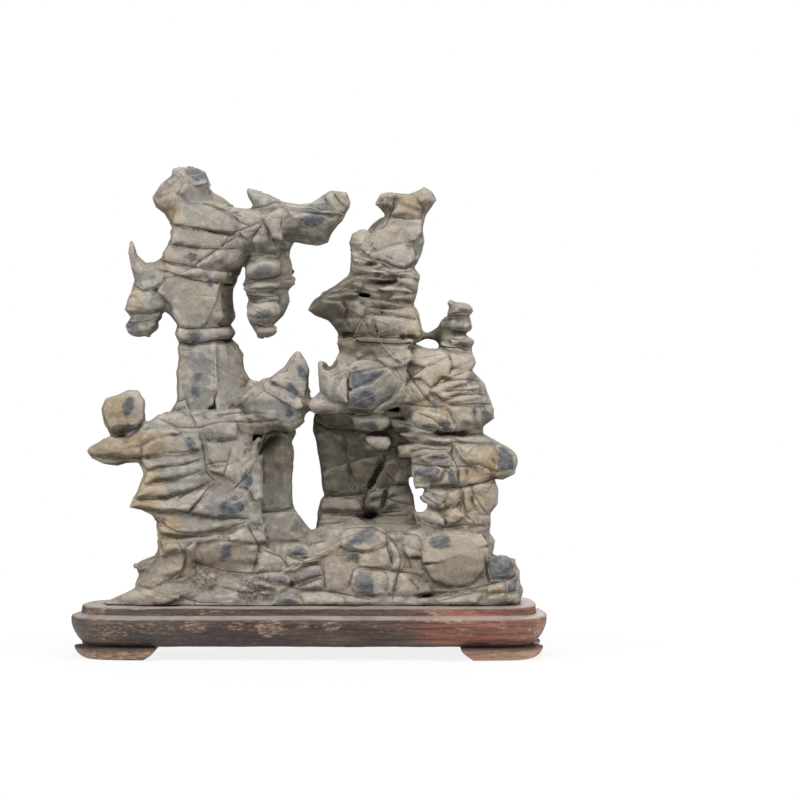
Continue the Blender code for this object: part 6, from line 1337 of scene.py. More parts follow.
@dataclass(frozen=True)
class Lattice:
    """An even grid of sample points in reading space."""

    low: Triple = (-57.5, -20.8, 9.6)
    high: Triple = (55.0, 16.4, 124.4)
    step: float = 0.38

    def axis(self, index: int) -> np.ndarray:
        """Lists the grid's places along one axis."""
        return np.arange(self.low[index], self.high[index], self.step)

    def window(self, low: Sequence[float], high: Sequence[float]) -> tuple[slice, slice, slice]:
        """Finds the part of the grid that lies between two corners."""
        parts = []
        for index in range(3):
            axis = self.axis(index)
            start, end = np.searchsorted(axis, (low[index], high[index]))
            parts.append(slice(int(start), int(max(end, start + 1))))
        return parts[0], parts[1], parts[2]

    def surface(self, values: np.ndarray) -> Skin:
        """Draws the surface where a field changes sign, one point to a cell.

        Args:
            values: the field at each sample, negative inside.

        Returns:
            A closed skin of four-sided faces that point outwards.
        """
        solid = values < 0.0
        shape = np.array(values.shape) - 1
        corners = [np.array(corner) for corner in np.ndindex(2, 2, 2)]
        views = [solid[c[0]:c[0] + shape[0], c[1]:c[1] + shape[1], c[2]:c[2] + shape[2]] for c in corners]
        count = sum(view.astype(np.int8) for view in views)
        cells = np.argwhere((count > 0) & (count < 8))
        number = np.full(shape, -1, int)
        number[tuple(cells.T)] = np.arange(len(cells))
        total = np.zeros((len(cells), 3))
        found = np.zeros(len(cells))
        for start in corners:
            for axis in range(3):
                if start[axis] == 1:
                    continue
                here = cells + start
                there = here.copy()
                there[:, axis] += 1
                a = values[tuple(here.T)]
                b = values[tuple(there.T)]
                crossed = (a < 0.0) != (b < 0.0)
                share = np.where(crossed, a / np.where(crossed, a - b, 1.0), 0.0)
                point = here.astype(float)
                point[:, axis] += share
                total += point * crossed[:, None]
                found += crossed
        spots = total / found[:, None] * self.step + np.array(self.low)
        faces = []
        for axis in range(3):
            one, two = [(1, 2), (2, 0), (0, 1)][axis]
            ahead = [slice(None)] * 3
            behind = [slice(None)] * 3
            ahead[axis] = slice(1, None)
            behind[axis] = slice(None, -1)
            change = solid[tuple(behind)].astype(np.int8) - solid[tuple(ahead)].astype(np.int8)
            place = np.argwhere(change != 0)
            sides = place[:, (one, two)]
            place = place[np.all((sides > 0) & (sides < shape[[one, two]]), axis=1)]
            outward = change[tuple(place.T)] > 0
            ring = []
            for step_one, step_two in ((0, 0), (-1, 0), (-1, -1), (0, -1)):
                cell = place.copy()
                cell[:, one] += step_one
                cell[:, two] += step_two
                ring.append(number[tuple(cell.T)])
            quad = np.stack(ring, axis=1)
            quad[~outward] = quad[~outward][:, ::-1]
            faces.append(quad)
        return Skin(spots, np.concatenate(faces))


@dataclass
class RockBody:
    """The solid body of the rock, grown as a field from its masses."""

    lattice: Lattice = field(default_factory=Lattice)
    mass_blend: float = 0.9
    bulge_blend: float = 0.55
    back_blend: float = 3.2
    hollow_blend: float = 0.7
    block_blend: float = 0.25
    block_grow: float = 0.30
    block_lean: float = 1.6
    block_dome: float = 0.9
    block_inset: float = 0.55
    block_reach: float = 8.0
    block_fray: float = 0.25
    steepest_fit: float = 0.35
    depth_warp: float = 1.1
    side_wear: float = 0.95
    wear_reach: float = 3.0
    wear_depths: tuple[float, float] = (2.5, 8.0)
    wear_heights: tuple[float, float] = (14.0, 19.0)
    outside: float = 6.0
    margin: float = 2.0
    mass_margin: float = 4.0
    thinnest: float = 3.0
    least_core: float = 0.6
    dome_spread: float = 3.2
    calming: float = 0.72
    bore_reach: float = 50.0
    bore_blend: float = 0.5
    foot_low: float = 9.6
    foot_high: float = 12.84
    foot_reach: float = 18.0

    def grow(self) -> np.ndarray:
        """Builds the whole field."""
        us, ys, vs = (self.lattice.axis(index) for index in range(3))
        values = np.full((len(us), len(ys), len(vs)), self.outside, np.float32)
        for mass in MASSES:
            self._add_mass(values, mass, (us, ys, vs))
            LOG.debug("added the %s", mass.name)
        for bulge in SWELLINGS:
            self._shape_bulge(values, bulge, (us, ys, vs), add=True)
        self._wear_sides(values, (us, ys, vs))
        face = self._face_depths(values, ys)
        outer = values.min(axis=1)
        across, height = np.meshgrid(us, vs, indexing="ij")
        fray = self.block_fray * Grain(15).sheet(across, height, (2.4, 2.0))
        for block in BLOCKS:
            self._lay_block(values, block, (face, fray, outer), (us, ys, vs))
        for bulge in HOLLOWS:
            self._shape_bulge(values, bulge, (us, ys, vs), add=False)
        for outline in HOLES:
            self._bore(values, outline, (us, ys, vs))
        self._trim_foot(values, (us, ys, vs))
        return values

    def _add_mass(self, values: np.ndarray, mass: Mass, axes: tuple) -> None:
        """Adds one mass, rounded in depth and warped so that no face of it is flat."""
        marks = np.array(mass.outline)
        margin = self.mass_margin
        low = (marks[:, 0].min() - margin, mass.front - margin - self.margin, marks[:, 1].min() - margin)
        high = (marks[:, 0].max() + margin, mass.back + margin + self.margin, marks[:, 1].max() + margin)
        part = self.lattice.window(low, high)
        us, ys, vs = (axis[piece] for axis, piece in zip(axes, part))
        across, height = np.meshgrid(us, vs, indexing="ij")
        edge = outline_distance(across, height, mass.outline)
        front_shift = Grain(11).sheet(across, height, (11.0, 9.0))
        front_shift += 0.5 * Grain(12).sheet(across, height, (5.0, 3.6))
        back_shift = Grain(13).sheet(across, height, (11.0, 8.0))
        back_shift += 0.6 * Grain(14).sheet(across, height, (5.4, 3.8))
        lean = (across - marks[:, 0].mean()) * mass.lean[0] + (height - marks[:, 1].mean()) * mass.lean[1]
        front = mass.front + lean + self.depth_warp * front_shift
        back = mass.back + lean + self.depth_warp * back_shift
        middle = (0.5 * (front + back))[:, None, :]
        half = (0.5 * np.maximum(back - front, self.thinnest))[:, None, :]
        depth = np.abs(ys[None, :, None] - middle) - half
        rounding = np.minimum(mass.rounding, half - self.least_core)
        a = edge[:, None, :] + rounding
        b = depth + rounding
        around = np.hypot(np.maximum(a, 0.0), np.maximum(b, 0.0))
        shape = np.minimum(np.maximum(a, b), 0.0) + around - rounding
        values[part] = blended_union(values[part], shape, self.mass_blend)

    def _wear_sides(self, values: np.ndarray, axes: tuple) -> None:
        """Draws the body's outline in unevenly behind its front, above the stand."""
        us, ys, vs = axes
        worn = np.zeros(values.shape, np.float32)
        for seed, along, axis in ((16, vs, 0), (17, us, 2)):
            deep, far = np.meshgrid(ys, along, indexing="ij")
            spots = np.stack((deep.ravel(), far.ravel(), np.zeros(deep.size)), axis=1)
            waves = Grain(seed).wave(spots, (6.4, 5.4, 1.0))
            waves += 0.3 * Grain(seed + 2).wave(spots, (3.2, 2.6, 1.0))
            table = np.clip(0.5 + waves, 0.0, 1.2).reshape(deep.shape)
            worn += table[None, :, :] if axis == 0 else table.T[:, :, None]
        face = np.nan_to_num(self._face_depths(values, ys), nan=ys[-1])
        behind = eased(ys[None, :, None] - face[:, None, :], *self.wear_depths)
        filled = (values.min(axis=1) < 0.0).astype(float)
        reach = round(self.wear_reach / (us[1] - us[0]))
        for axis in (0, 1):
            moved = [np.roll(filled, step, axis) for step in range(-reach, reach + 1)]
            filled = sum(moved) / len(moved)
        near = eased(1.0 - filled, 0.05, 0.35) * eased(vs, *self.wear_heights)[None, :]
        values += self.side_wear * worn * behind * near[:, None, :]

    @staticmethod
    def _face_depths(values: np.ndarray, ys: np.ndarray) -> np.ndarray:
        """Reads how deep the body's front face lies at each reading, and nan beside the body."""
        solid = values < 0.0
        return np.where(solid.any(axis=1), ys[solid.argmax(axis=1)], np.nan)

    def _lay_block(self, values: np.ndarray, block: Block, maps: tuple, axes: tuple) -> None:
        """Lays one block over the body's front face.

        Args:
            values: the field, which is changed.
            block: the block.
            maps: at each reading, the front face's depth, how the block's outline wanders and
                how far the body's silhouette lies off.
            axes: the grid's places along its three axes.
        """
        face, fray, outer = maps
        marks = np.array(block.outline)
        centre = marks.mean(axis=0)
        low, high = marks.min(axis=0) - self.margin, marks.max(axis=0) + self.margin
        wide, _, tall = self.lattice.window((low[0], 0.0, low[1]), (high[0], 0.0, high[1]))
        across, height = np.meshgrid(axes[0][wide], axes[2][tall], indexing="ij")
        edge = outline_distance(across, height, block.outline) + fray[wide, tall] - self.block_grow
        edge = np.maximum(edge, outer[wide, tall] + self.block_inset)
        base = face[wide, tall]
        right, up = across - centre[0], height - centre[1]
        inside = (edge < 0.0) & ~np.isnan(base)
        if not inside.any():
            return
        table = np.stack((np.ones(inside.sum()), right[inside], up[inside]), axis=1)
        fit = np.linalg.lstsq(table, base[inside], rcond=None)[0]
        slope = np.clip(fit[1:], -self.steepest_fit, self.steepest_fit)
        level = np.median(base[inside] - right[inside] * slope[0] - up[inside] * slope[1])
        tilt = slope + self.block_lean * np.array(block.lean)
        front = level + right * tilt[0] + up * tilt[1] - block.rise
        nearness = 1.0 - np.clip(-edge / block.width, 0.0, 1.0)
        dome = (1.0 - np.clip(-edge / (self.dome_spread * block.width), 0.0, 1.0)) ** 2
        calm = RockRelief.calmness(np.array([[centre[0], 0.0, centre[1]]]))
        bold = 1.0 - self.calming * float(calm[0])
        front += bold * (block.drop * (1.0 - np.sqrt(1.0 - nearness ** 2)) + self.block_dome * dome)
        depth = axes[1][None, :, None]
        shape = np.maximum(edge[:, None, :], front[:, None, :] - depth)
        shape = np.maximum(shape, depth - front[:, None, :] - self.block_reach)
        values[wide, :, tall] = blended_union(values[wide, :, tall], shape, self.block_blend)

    def _shape_bulge(self, values: np.ndarray, bulge: Bulge, axes: tuple, add: bool) -> None:
        """Adds a swelling, or takes out a hollow."""
        reach = max(bulge.radii[0], bulge.radii[2]) + self.margin
        low = (bulge.x - reach, bulge.depth - bulge.radii[1] - self.margin, bulge.height - reach)
        high = (bulge.x + reach, bulge.depth + bulge.radii[1] + self.margin, bulge.height + reach)
        part = self.lattice.window(low, high)
        us, ys, vs = (axis[piece] for axis, piece in zip(axes, part))
        turn = math.radians(bulge.tilt)
        du = (us - bulge.x)[:, None, None]
        dy = (ys - bulge.depth)[None, :, None]
        dv = (vs - bulge.height)[None, None, :]
        along = du * math.cos(turn) + dv * math.sin(turn)
        up = dv * math.cos(turn) - du * math.sin(turn)
        a, b, c = bulge.radii
        size = np.sqrt((along / a) ** 2 + (dy / b) ** 2 + (up / c) ** 2)
        slope = np.sqrt((along / a ** 2) ** 2 + (dy / b ** 2) ** 2 + (up / c ** 2) ** 2)
        shape = size * (size - 1.0) / np.maximum(slope, 1e-6)
        if add:
            soft = self.bulge_blend if bulge.depth < 0.0 else self.back_blend
            values[part] = blended_union(values[part], shape, soft)
        else:
            values[part] = blended_cut(values[part], shape, self.hollow_blend)

    def _bore(self, values: np.ndarray, outline: Points, axes: tuple) -> None:
        """Cuts a hole right through from front to back."""
        marks = np.array(outline)
        low = (marks[:, 0].min() - self.margin, -self.bore_reach, marks[:, 1].min() - self.margin)
        high = (marks[:, 0].max() + self.margin, self.bore_reach, marks[:, 1].max() + self.margin)
        part = self.lattice.window(low, high)
        across, height = np.meshgrid(axes[0][part[0]], axes[2][part[2]], indexing="ij")
        edge = outline_distance(across, height, outline)[:, None, :]
        values[part] = blended_cut(values[part], edge, self.bore_blend)

    def _trim_foot(self, values: np.ndarray, axes: tuple) -> None:
        """Trims the rock to the foot that sinks into the stand's socket."""
        us, ys, vs = axes
        low = vs < self.foot_reach
        near = (EYE.distance + ys) / EYE.distance
        across = EYE.x + (us[:, None] - EYE.x) * near[None, :]
        along = np.broadcast_to(ys[None, :], across.shape)
        plug = outline_distance(across, along, PLUG_OUTLINE)[:, :, None]
        height = (EYE.height + (vs[None, low] - EYE.reading_height) * near[:, None])[None, :, :]
        allowed = np.minimum(self.foot_high - height, np.maximum(plug, self.foot_low - height))
        values[:, :, low] = np.maximum(values[:, :, low], allowed)


@dataclass
class Lines:
    """Distances from a surface's points to drawn lines, as the eye in front reads them."""

    near: np.ndarray
    signed: np.ndarray
    weight: np.ndarray
    taper: float = 1.3
    tip: float = 0.3

    @classmethod
    def blank(cls, count: int) -> "Lines":
        """Starts with no line near any point."""
        return cls(np.full(count, FAR_OFF), np.full(count, FAR_OFF), np.zeros(count))

    def draw(self, readings: np.ndarray, line: Points, weight: float, reach: float = 3.0) -> np.ndarray:
        """Measures the points near one line and keeps what is nearer than before.

        Args:
            readings: the points' readings, one in each row.
            line: the line's knots.
            weight: how strong the line is.
            reach: how far from the line a point still counts.

        Returns:
            The numbers of the points within reach, with their distance and fade in rows.
        """
        knots = np.array(line, float)
        low = knots.min(axis=0) - reach
        high = knots.max(axis=0) + reach
        found = np.flatnonzero(np.all((readings > low) & (readings < high), axis=1))
        spots = readings[found]
        best = np.full(len(found), FAR_OFF)
        side = np.ones(len(found))
        run = np.zeros(len(found))
        length = 0.0
        for start, end in zip(knots[:-1], knots[1:]):
            way = end - start
            size = float(np.hypot(*way))
            share = np.clip(((spots - start) @ way) / size ** 2, 0.0, 1.0)
            gap = spots - start - share[:, None] * way
            far = np.hypot(gap[:, 0], gap[:, 1])
            nearer = far < best
            turned = np.sign(way[0] * gap[:, 1] - way[1] * gap[:, 0])
            best = np.where(nearer, far, best)
            side = np.where(nearer, np.where(turned == 0.0, 1.0, turned), side)
            run = np.where(nearer, length + share * size, run)
            length += size
        fade = np.clip(np.minimum(run, length - run) / self.taper + self.tip, 0.0, 1.0)
        closer = best < self.near[found]
        chosen = found[closer]
        self.near[chosen] = best[closer]
        self.signed[chosen] = (best * side)[closer]
        self.weight[chosen] = (weight * fade)[closer]
        return np.stack((found, best, fade))


def groove(gap: np.ndarray, width: float, roll: float, sharp: float, soft: float) -> np.ndarray:
    """Gives a groove's section over the distance from its middle.

    Args:
        gap: distances from the groove's middle.
        width: how wide its cut is.
        roll: how far its shoulders roll in.
        sharp: the share of the cut.
        soft: the share of the shoulders.

    Returns:
        How deep the groove is at each distance.
    """
    return sharp * np.exp(-(gap / width) ** 2) + soft * np.exp(-gap / roll)


@dataclass
class RockRelief:
    """The rock's joints, beds and pillows, pressed into the skin of its body."""

    beds: float = 0.30
    back_beds: float = 0.65
    back_lumps: float = 2.2
    pillows: float = 0.40
    ripples: float = 0.12
    folds: float = 0.5
    scoops: float = 0.35
    joint_depth: float = 0.7
    wander: float = 0.22
    foot_fade: tuple[float, float] = (12.6, 14.5)

    def press(self, skin: Skin) -> Skin:
        """Moves a skin's points along its normals.

        Args:
            skin: the smooth body in reading space.

        Returns:
            The same faces with their points pressed in and out, in real space.
        """
        readings = self.wandering(skin.spots[:, (0, 2)], skin.spots)
        real = EYE.real(skin.spots)
        body = Skin(real, skin.faces)
        normals = body.normals()
        soft_normals = body.smoothed(normals, 3)
        soft_normals /= np.linalg.norm(soft_normals, axis=1, keepdims=True)
        front = eased(-soft_normals[:, 1], 0.02, 0.5)
        sides = 1.0 - eased(-soft_normals[:, 1], -0.35, 0.15)
        edge_on = 1.0 - 0.6 * np.exp(-(soft_normals[:, 1] / 0.35) ** 2)
        tilted = self.bedded(real)
        patchy = eased(Grain(28).wave(tilted, (15.0, 15.0, 9.0)), -0.25, 0.30)
        lift = self._lift(tilted, self.calmness(skin.spots) * front, sides, patchy)
        push = lift * edge_on - self._cracks(readings) * front - self._joints(tilted, patchy) * sides
        foot = eased(real[:, 2], *self.foot_fade)
        return Skin(real + soft_normals * (push * foot)[:, None], skin.faces)

    @staticmethod
    def _cracks(readings: np.ndarray) -> np.ndarray:
        """Gives how deep the drawn cracks cut at each reading."""
        carve = np.zeros(len(readings))
        lines = Lines.blank(len(readings))
        for crack in CRACKS:
            depth, width, roll = crack.kind.value
            found, gap, fade = lines.draw(readings, crack.line, depth)
            found = found.astype(int)
            cut = depth * fade * groove(gap, width, roll, sharp=0.65, soft=0.5)
            carve[found] = np.maximum(carve[found], cut)
        return carve

    def _joints(self, tilted: np.ndarray, patchy: np.ndarray) -> np.ndarray:
        """Gives how deep the joints between large and small blocks cut, where nothing is drawn."""
        large = Grain(21).joints(tilted, (15.0, 15.0, 4.6)) * 4.4
        small = Grain(22).joints(tilted, (8.0, 8.0, 2.6)) * 2.4
        shown = 0.15 + 0.85 * patchy
        depth = self.joint_depth * (0.35 + 0.65 * patchy) * groove(large, 0.40, 1.6, sharp=0.5, soft=0.8)
        return depth + 0.4 * self.joint_depth * shown * groove(small, 0.35, 0.9, sharp=0.4, soft=0.7)

    def _lift(self, tilted: np.ndarray, calm: np.ndarray, sides: np.ndarray,
              patchy: np.ndarray) -> np.ndarray:
        """Gives how far pillows, ripples, beds, folds, lumps and scoops stand out.

        Args:
            tilted: the points in space that follows the beds.
            calm: how smooth the rock is at each point.
            sides: how far each point is turned away from the front.
            patchy: how strongly the beds show at each point.
        """
        pillow = np.abs(Grain(23).wave(tilted, (6.5, 6.5, 2.4))) ** 0.75
        ripple = np.abs(Grain(24).wave(tilted, (2.8, 2.8, 1.1))) ** 0.8
        fold = 0.55 - np.abs(Grain(26).wave(tilted, (9.0, 9.0, 6.0))) ** 0.8
        bed = Grain(25).wave(tilted, (16.0, 16.0, 1.5))
        lumps = Grain(29).facets(tilted, (14.0, 14.0, 8.5))
        fine = self.pillows * (pillow - 0.35) + self.ripples * (ripple - 0.35) + self.beds * 0.5 * bed
        lift = (1.0 - 0.85 * calm) * fine
        lift += (0.35 + 0.65 * calm) * self.folds * fold
        lift *= 1.0 - 0.75 * sides * (1.0 - patchy)
        behind = self.back_beds * patchy * (pillow - 0.4 + 0.8 * bed) - self.back_lumps * (lumps - 0.4)
        lift += sides * behind
        lift += self.scoops * (Grain(27).facets(tilted, (6.0, 6.0, 4.0)) - 0.5)
        return lift

    def wandering(self, readings: np.ndarray, spots: np.ndarray) -> np.ndarray:
        """Shifts readings a little, so that drawn lines run unevenly."""
        drift = np.stack([Grain(seed).wave(spots, (2.6, 2.6, 2.6)) for seed in (31, 32)], axis=1)
        return readings + self.wander * drift

    @staticmethod
    def bedded(real: np.ndarray) -> np.ndarray:
        """Tilts and bends space so that its level planes follow the rock's beds."""
        bend = 1.6 * Grain(33).wave(real, (18.0, 18.0, 18.0)) + 0.5 * Grain(34).wave(real, (5.0, 5.0, 5.0))
        height = real[:, 2] + 0.10 * real[:, 0] - 0.12 * real[:, 1] + bend
        return np.stack((real[:, 0], real[:, 1], height), axis=1)

    @staticmethod
    def calmness(spots: np.ndarray) -> np.ndarray:
        """Tells how smooth the rock is at each point, from 0 to 1, as on its trunk."""
        calm = np.zeros(len(spots))
        for patch in CALM:
            calm = np.maximum(calm, patch_mask(patch, spots[:, (0, 2)], 0.0))
        return calm


@dataclass
class RockMarks:
    """The stains, creases and veins of the rock, and its painted shade and highlights, as values at each
    point of its skin.
    """

    skin: Skin
    channels: dict[str, np.ndarray] = field(default_factory=dict)
    brow_reach: float = 0.8
    rim_shift: float = 0.2
    patch_spread: float = 1.3
    line_reach: float = 1.6

    def measure(self) -> dict[str, np.ndarray]:
        """Works out every channel that the stone's finish reads.

        Returns:
            One array of values for each channel name.
        """
        real = self.skin.spots
        readings = RockRelief().wandering(EYE.read(real), real)
        normals = self.skin.smoothed(self.skin.normals(), 4)
        front = eased(-normals[:, 1], -0.05, 0.35)
        ragged = 0.16 * Grain(41).wave(real, (1.3, 1.3, 1.3)) + 0.20 * Grain(42).wave(real, (3.4, 3.4, 3.4))
        beds = RockRelief.bedded(real)
        back_slate = eased(Grain(43).wave(beds, (7.0, 7.0, 3.0)) + 0.5 * ragged, 0.30, 0.50) * 0.8
        back_tan = eased(Grain(44).wave(beds, (16.0, 16.0, 9.0)), 0.05, 0.6) * 0.7
        back_light = 0.25 * eased(Grain(45).wave(beds, (14.0, 14.0, 8.0)), 0.0, 0.6)
        back_dark = 0.45 * eased(Grain(46).wave(beds, (15.0, 15.0, 10.0)), 0.1, 0.7)
        none = np.zeros(len(real))
        spread = [self._spread(patch) for patch in SLATE]
        stains = (
            ("slate", spread, 1.0, back_slate), ("tan", TAN, 1.2, back_tan),
            ("crumble", CRUMBLE, 1.0, none), ("light", LIGHTER, 1.0, back_light),
            ("pit_shade", PIT_SHADE, 0.6, none), ("dark", DARKER, 1.0, back_dark),
        )
        for name, patches, unevenness, behind in stains:
            self._stain(name, patches, readings, ragged * unevenness, front, behind)
        cracks = [(crack.line, crack.kind.value[0]) for crack in CRACKS]
        self._lines("crack", cracks, readings, front, Cut.CLEFT.value[0])
        self._lines("vein", [(line, 1.0) for line in VEINS], readings, front, 1.0)
        self._rims(readings, front, 0.6 * Grain(27).tints(beds, (6.0, 6.0, 4.0)))
        # Painted shade on faces that turn downwards, and a pale brow of dust and painted highlight on faces
        # that turn upwards.
        rising = self.skin.smoothed(self.skin.normals(), 2)[:, 2] + 0.3 * ragged
        facing = {"under": 0.85 * eased(-rising, 0.12, 0.62), "brow": 0.6 * eased(rising, 0.25, 0.75)}
        for name, values in facing.items():
            self.channels[name] = np.maximum(self.channels[name], values)
        self._bends(normals)
        return self.channels

    def _spread(self, patch: Patch) -> Patch:
        """Widens a patch that lies on a block, whose border cuts it off again."""
        if block_round(patch) is None:
            return patch
        return replace(patch, half_width=patch.half_width * self.patch_spread,
                       half_height=patch.half_height * self.patch_spread)

    def _stain(self, name: str, patches: Iterable[Patch], readings: np.ndarray, ragged: np.ndarray,
               front: np.ndarray, behind: np.ndarray) -> None:
        """Adds up the patches of one stain on the front and blends in the one behind."""
        clear = np.ones(len(readings))
        for patch in patches:
            mask = np.minimum(patch_mask(patch, readings, ragged), 1.0)
            border = block_round(patch) if name == "slate" else None
            if border is not None:
                touched = np.flatnonzero(mask > 0.0)
                far = outline_distance(*readings[touched].T, border)
                mask[touched] *= eased(-far, 0.0, 0.35)
            clear *= 1.0 - mask
        self.channels[name] = (1.0 - clear) * front + behind * (1.0 - front)

    def _lines(self, name: str, drawn: Iterable[tuple[Points, float]], readings: np.ndarray,
               front: np.ndarray, full: float) -> None:
        """Measures the signed distance to the nearest line, and how strongly that line shows."""
        lines = Lines.blank(len(readings))
        for line, weight in drawn:
            lines.draw(readings, line, weight / full, self.line_reach)
        self.channels[name] = np.clip(lines.signed, -2.0, 2.0)
        self.channels[name + "_weight"] = lines.weight * front * (1.0 - eased(lines.near, 0.4, 0.75))

    def _rims(self, readings: np.ndarray, front: np.ndarray, tint: np.ndarray) -> None:
        """Measures how far each point lies outside the nearest block's outline, and tints each block.

        It also marks the strip just below each block, where shade is painted, and each upper brow, paled with
        dust and painted highlight.
        """
        rim = np.full(len(readings), 2.0)
        under = np.zeros(len(readings))
        brow = np.zeros(len(readings))
        tones = np.random.default_rng(61).uniform(-1.0, 1.0, len(BLOCKS))
        for block, tone in zip(BLOCKS, tones):
            marks = np.array(block.outline)
            near = (readings > marks.min(axis=0) - 2.0) & (readings < marks.max(axis=0) + 2.0)
            found = np.flatnonzero(near.all(axis=1) & (front > 0.0))
            across, height = readings[found].T
            far = outline_distance(across, height, block.outline) - self.rim_shift
            above = outline_distance(across, height + self.brow_reach, block.outline) - self.rim_shift
            # covered is the painted shade just below a block; crest is its upper brow, paled with dust and
            # painted highlight.
            covered = eased(far, -0.25, 0.1) * eased(-above, -0.35, 0.35)
            crest = eased(-far, 0.1, 0.4) * eased(above, -0.35, 0.25)
            under[found] = np.maximum(under[found] * eased(far, -0.4, 0.2), covered)
            brow[found] = np.maximum(brow[found], crest)
            closer = np.abs(far) < np.abs(rim[found])
            rim[found[closer]] = far[closer]
            tint[found[far < 0.0]] = tone
        self.channels["under"] = under * front
        self.channels["brow"] = brow * front
        self.channels["rim"] = rim
        self.channels["rim_weight"] = front * (1.0 - eased(np.abs(rim), 1.0, 1.6))
        self.channels["tint"] = tint

    def _bends(self, normals: np.ndarray) -> None:
        """Measures where the skin bends outwards and where it folds in, fine and broad."""
        for name, passes, scale in (("fine_bend", 3, 0.10), ("broad_bend", 26, 0.85)):
            moved = self.skin.spots - self.skin.smoothed(self.skin.spots, passes)
            self.channels[name] = np.clip(np.sum(moved * normals, axis=1) / scale, -1.5, 1.5)


def mesh_from_skin(name: str, skin: Skin) -> bpy.types.Mesh:
    """Turns a skin in millimetres into a smooth-shaded mesh in metres."""
    mesh = bpy.data.meshes.new(name)
    count, sides = skin.faces.shape
    mesh.vertices.add(len(skin.spots))
    mesh.vertices.foreach_set("co", (skin.spots * MM).astype(np.float32).ravel())
    mesh.loops.add(count * sides)
    mesh.loops.foreach_set("vertex_index", skin.faces.astype(np.int32).ravel())
    mesh.polygons.add(count)
    mesh.polygons.foreach_set("loop_start", np.arange(0, count * sides, sides, dtype=np.int32))
    mesh.update(calc_edges=True)
    mesh.validate()
    mesh.shade_smooth()
    return mesh


def skin_from_mesh(mesh: bpy.types.Mesh) -> Skin:
    """Reads a mesh of triangles back as a skin in millimetres."""
    spots = np.empty(len(mesh.vertices) * 3, np.float32)
    mesh.vertices.foreach_get("co", spots)
    mesh.calc_loop_triangles()
    faces = np.empty(len(mesh.loop_triangles) * 3, np.int32)
    mesh.loop_triangles.foreach_get("vertices", faces)
    return Skin(spots.reshape(-1, 3).astype(float) / MM, faces.reshape(-1, 3).astype(int))


def new_piece(name: str, mesh: bpy.types.Mesh) -> bpy.types.Object:
    """Puts a mesh in the scene as a piece at the origin."""
    piece = bpy.data.objects.new(name, mesh)
    bpy.context.scene.collection.objects.link(piece)
    return piece


def thinned(mesh: bpy.types.Mesh, most: int) -> bpy.types.Mesh:
    """Reduces a mesh to at most so many triangles.

    Args:
        mesh: the mesh, which is replaced where it has too many.
        most: the greatest number of triangles.

    Returns:
        The mesh as triangles.
    """
    mesh.calc_loop_triangles()
    holder = new_piece("thinning", mesh)
    split = holder.modifiers.new("triangles", "TRIANGULATE")
    split.quad_method = "SHORTEST_DIAGONAL"
    if len(mesh.loop_triangles) > most:
        reduce = holder.modifiers.new("thin", "DECIMATE")
        reduce.ratio = most / len(mesh.loop_triangles)
    view = bpy.context.evaluated_depsgraph_get()
    result = bpy.data.meshes.new_from_object(holder.evaluated_get(view))
    bpy.data.objects.remove(holder)
    result.shade_smooth()
    return result


def set_channel(mesh: bpy.types.Mesh, name: str, values: np.ndarray) -> None:
    """Stores one value for each point of a mesh."""
    channel = mesh.attributes.new(name, "FLOAT", "POINT")
    channel.data.foreach_set("value", values.astype(np.float32))


Socket = bpy.types.NodeSocket
Feed = Socket | float | Triple


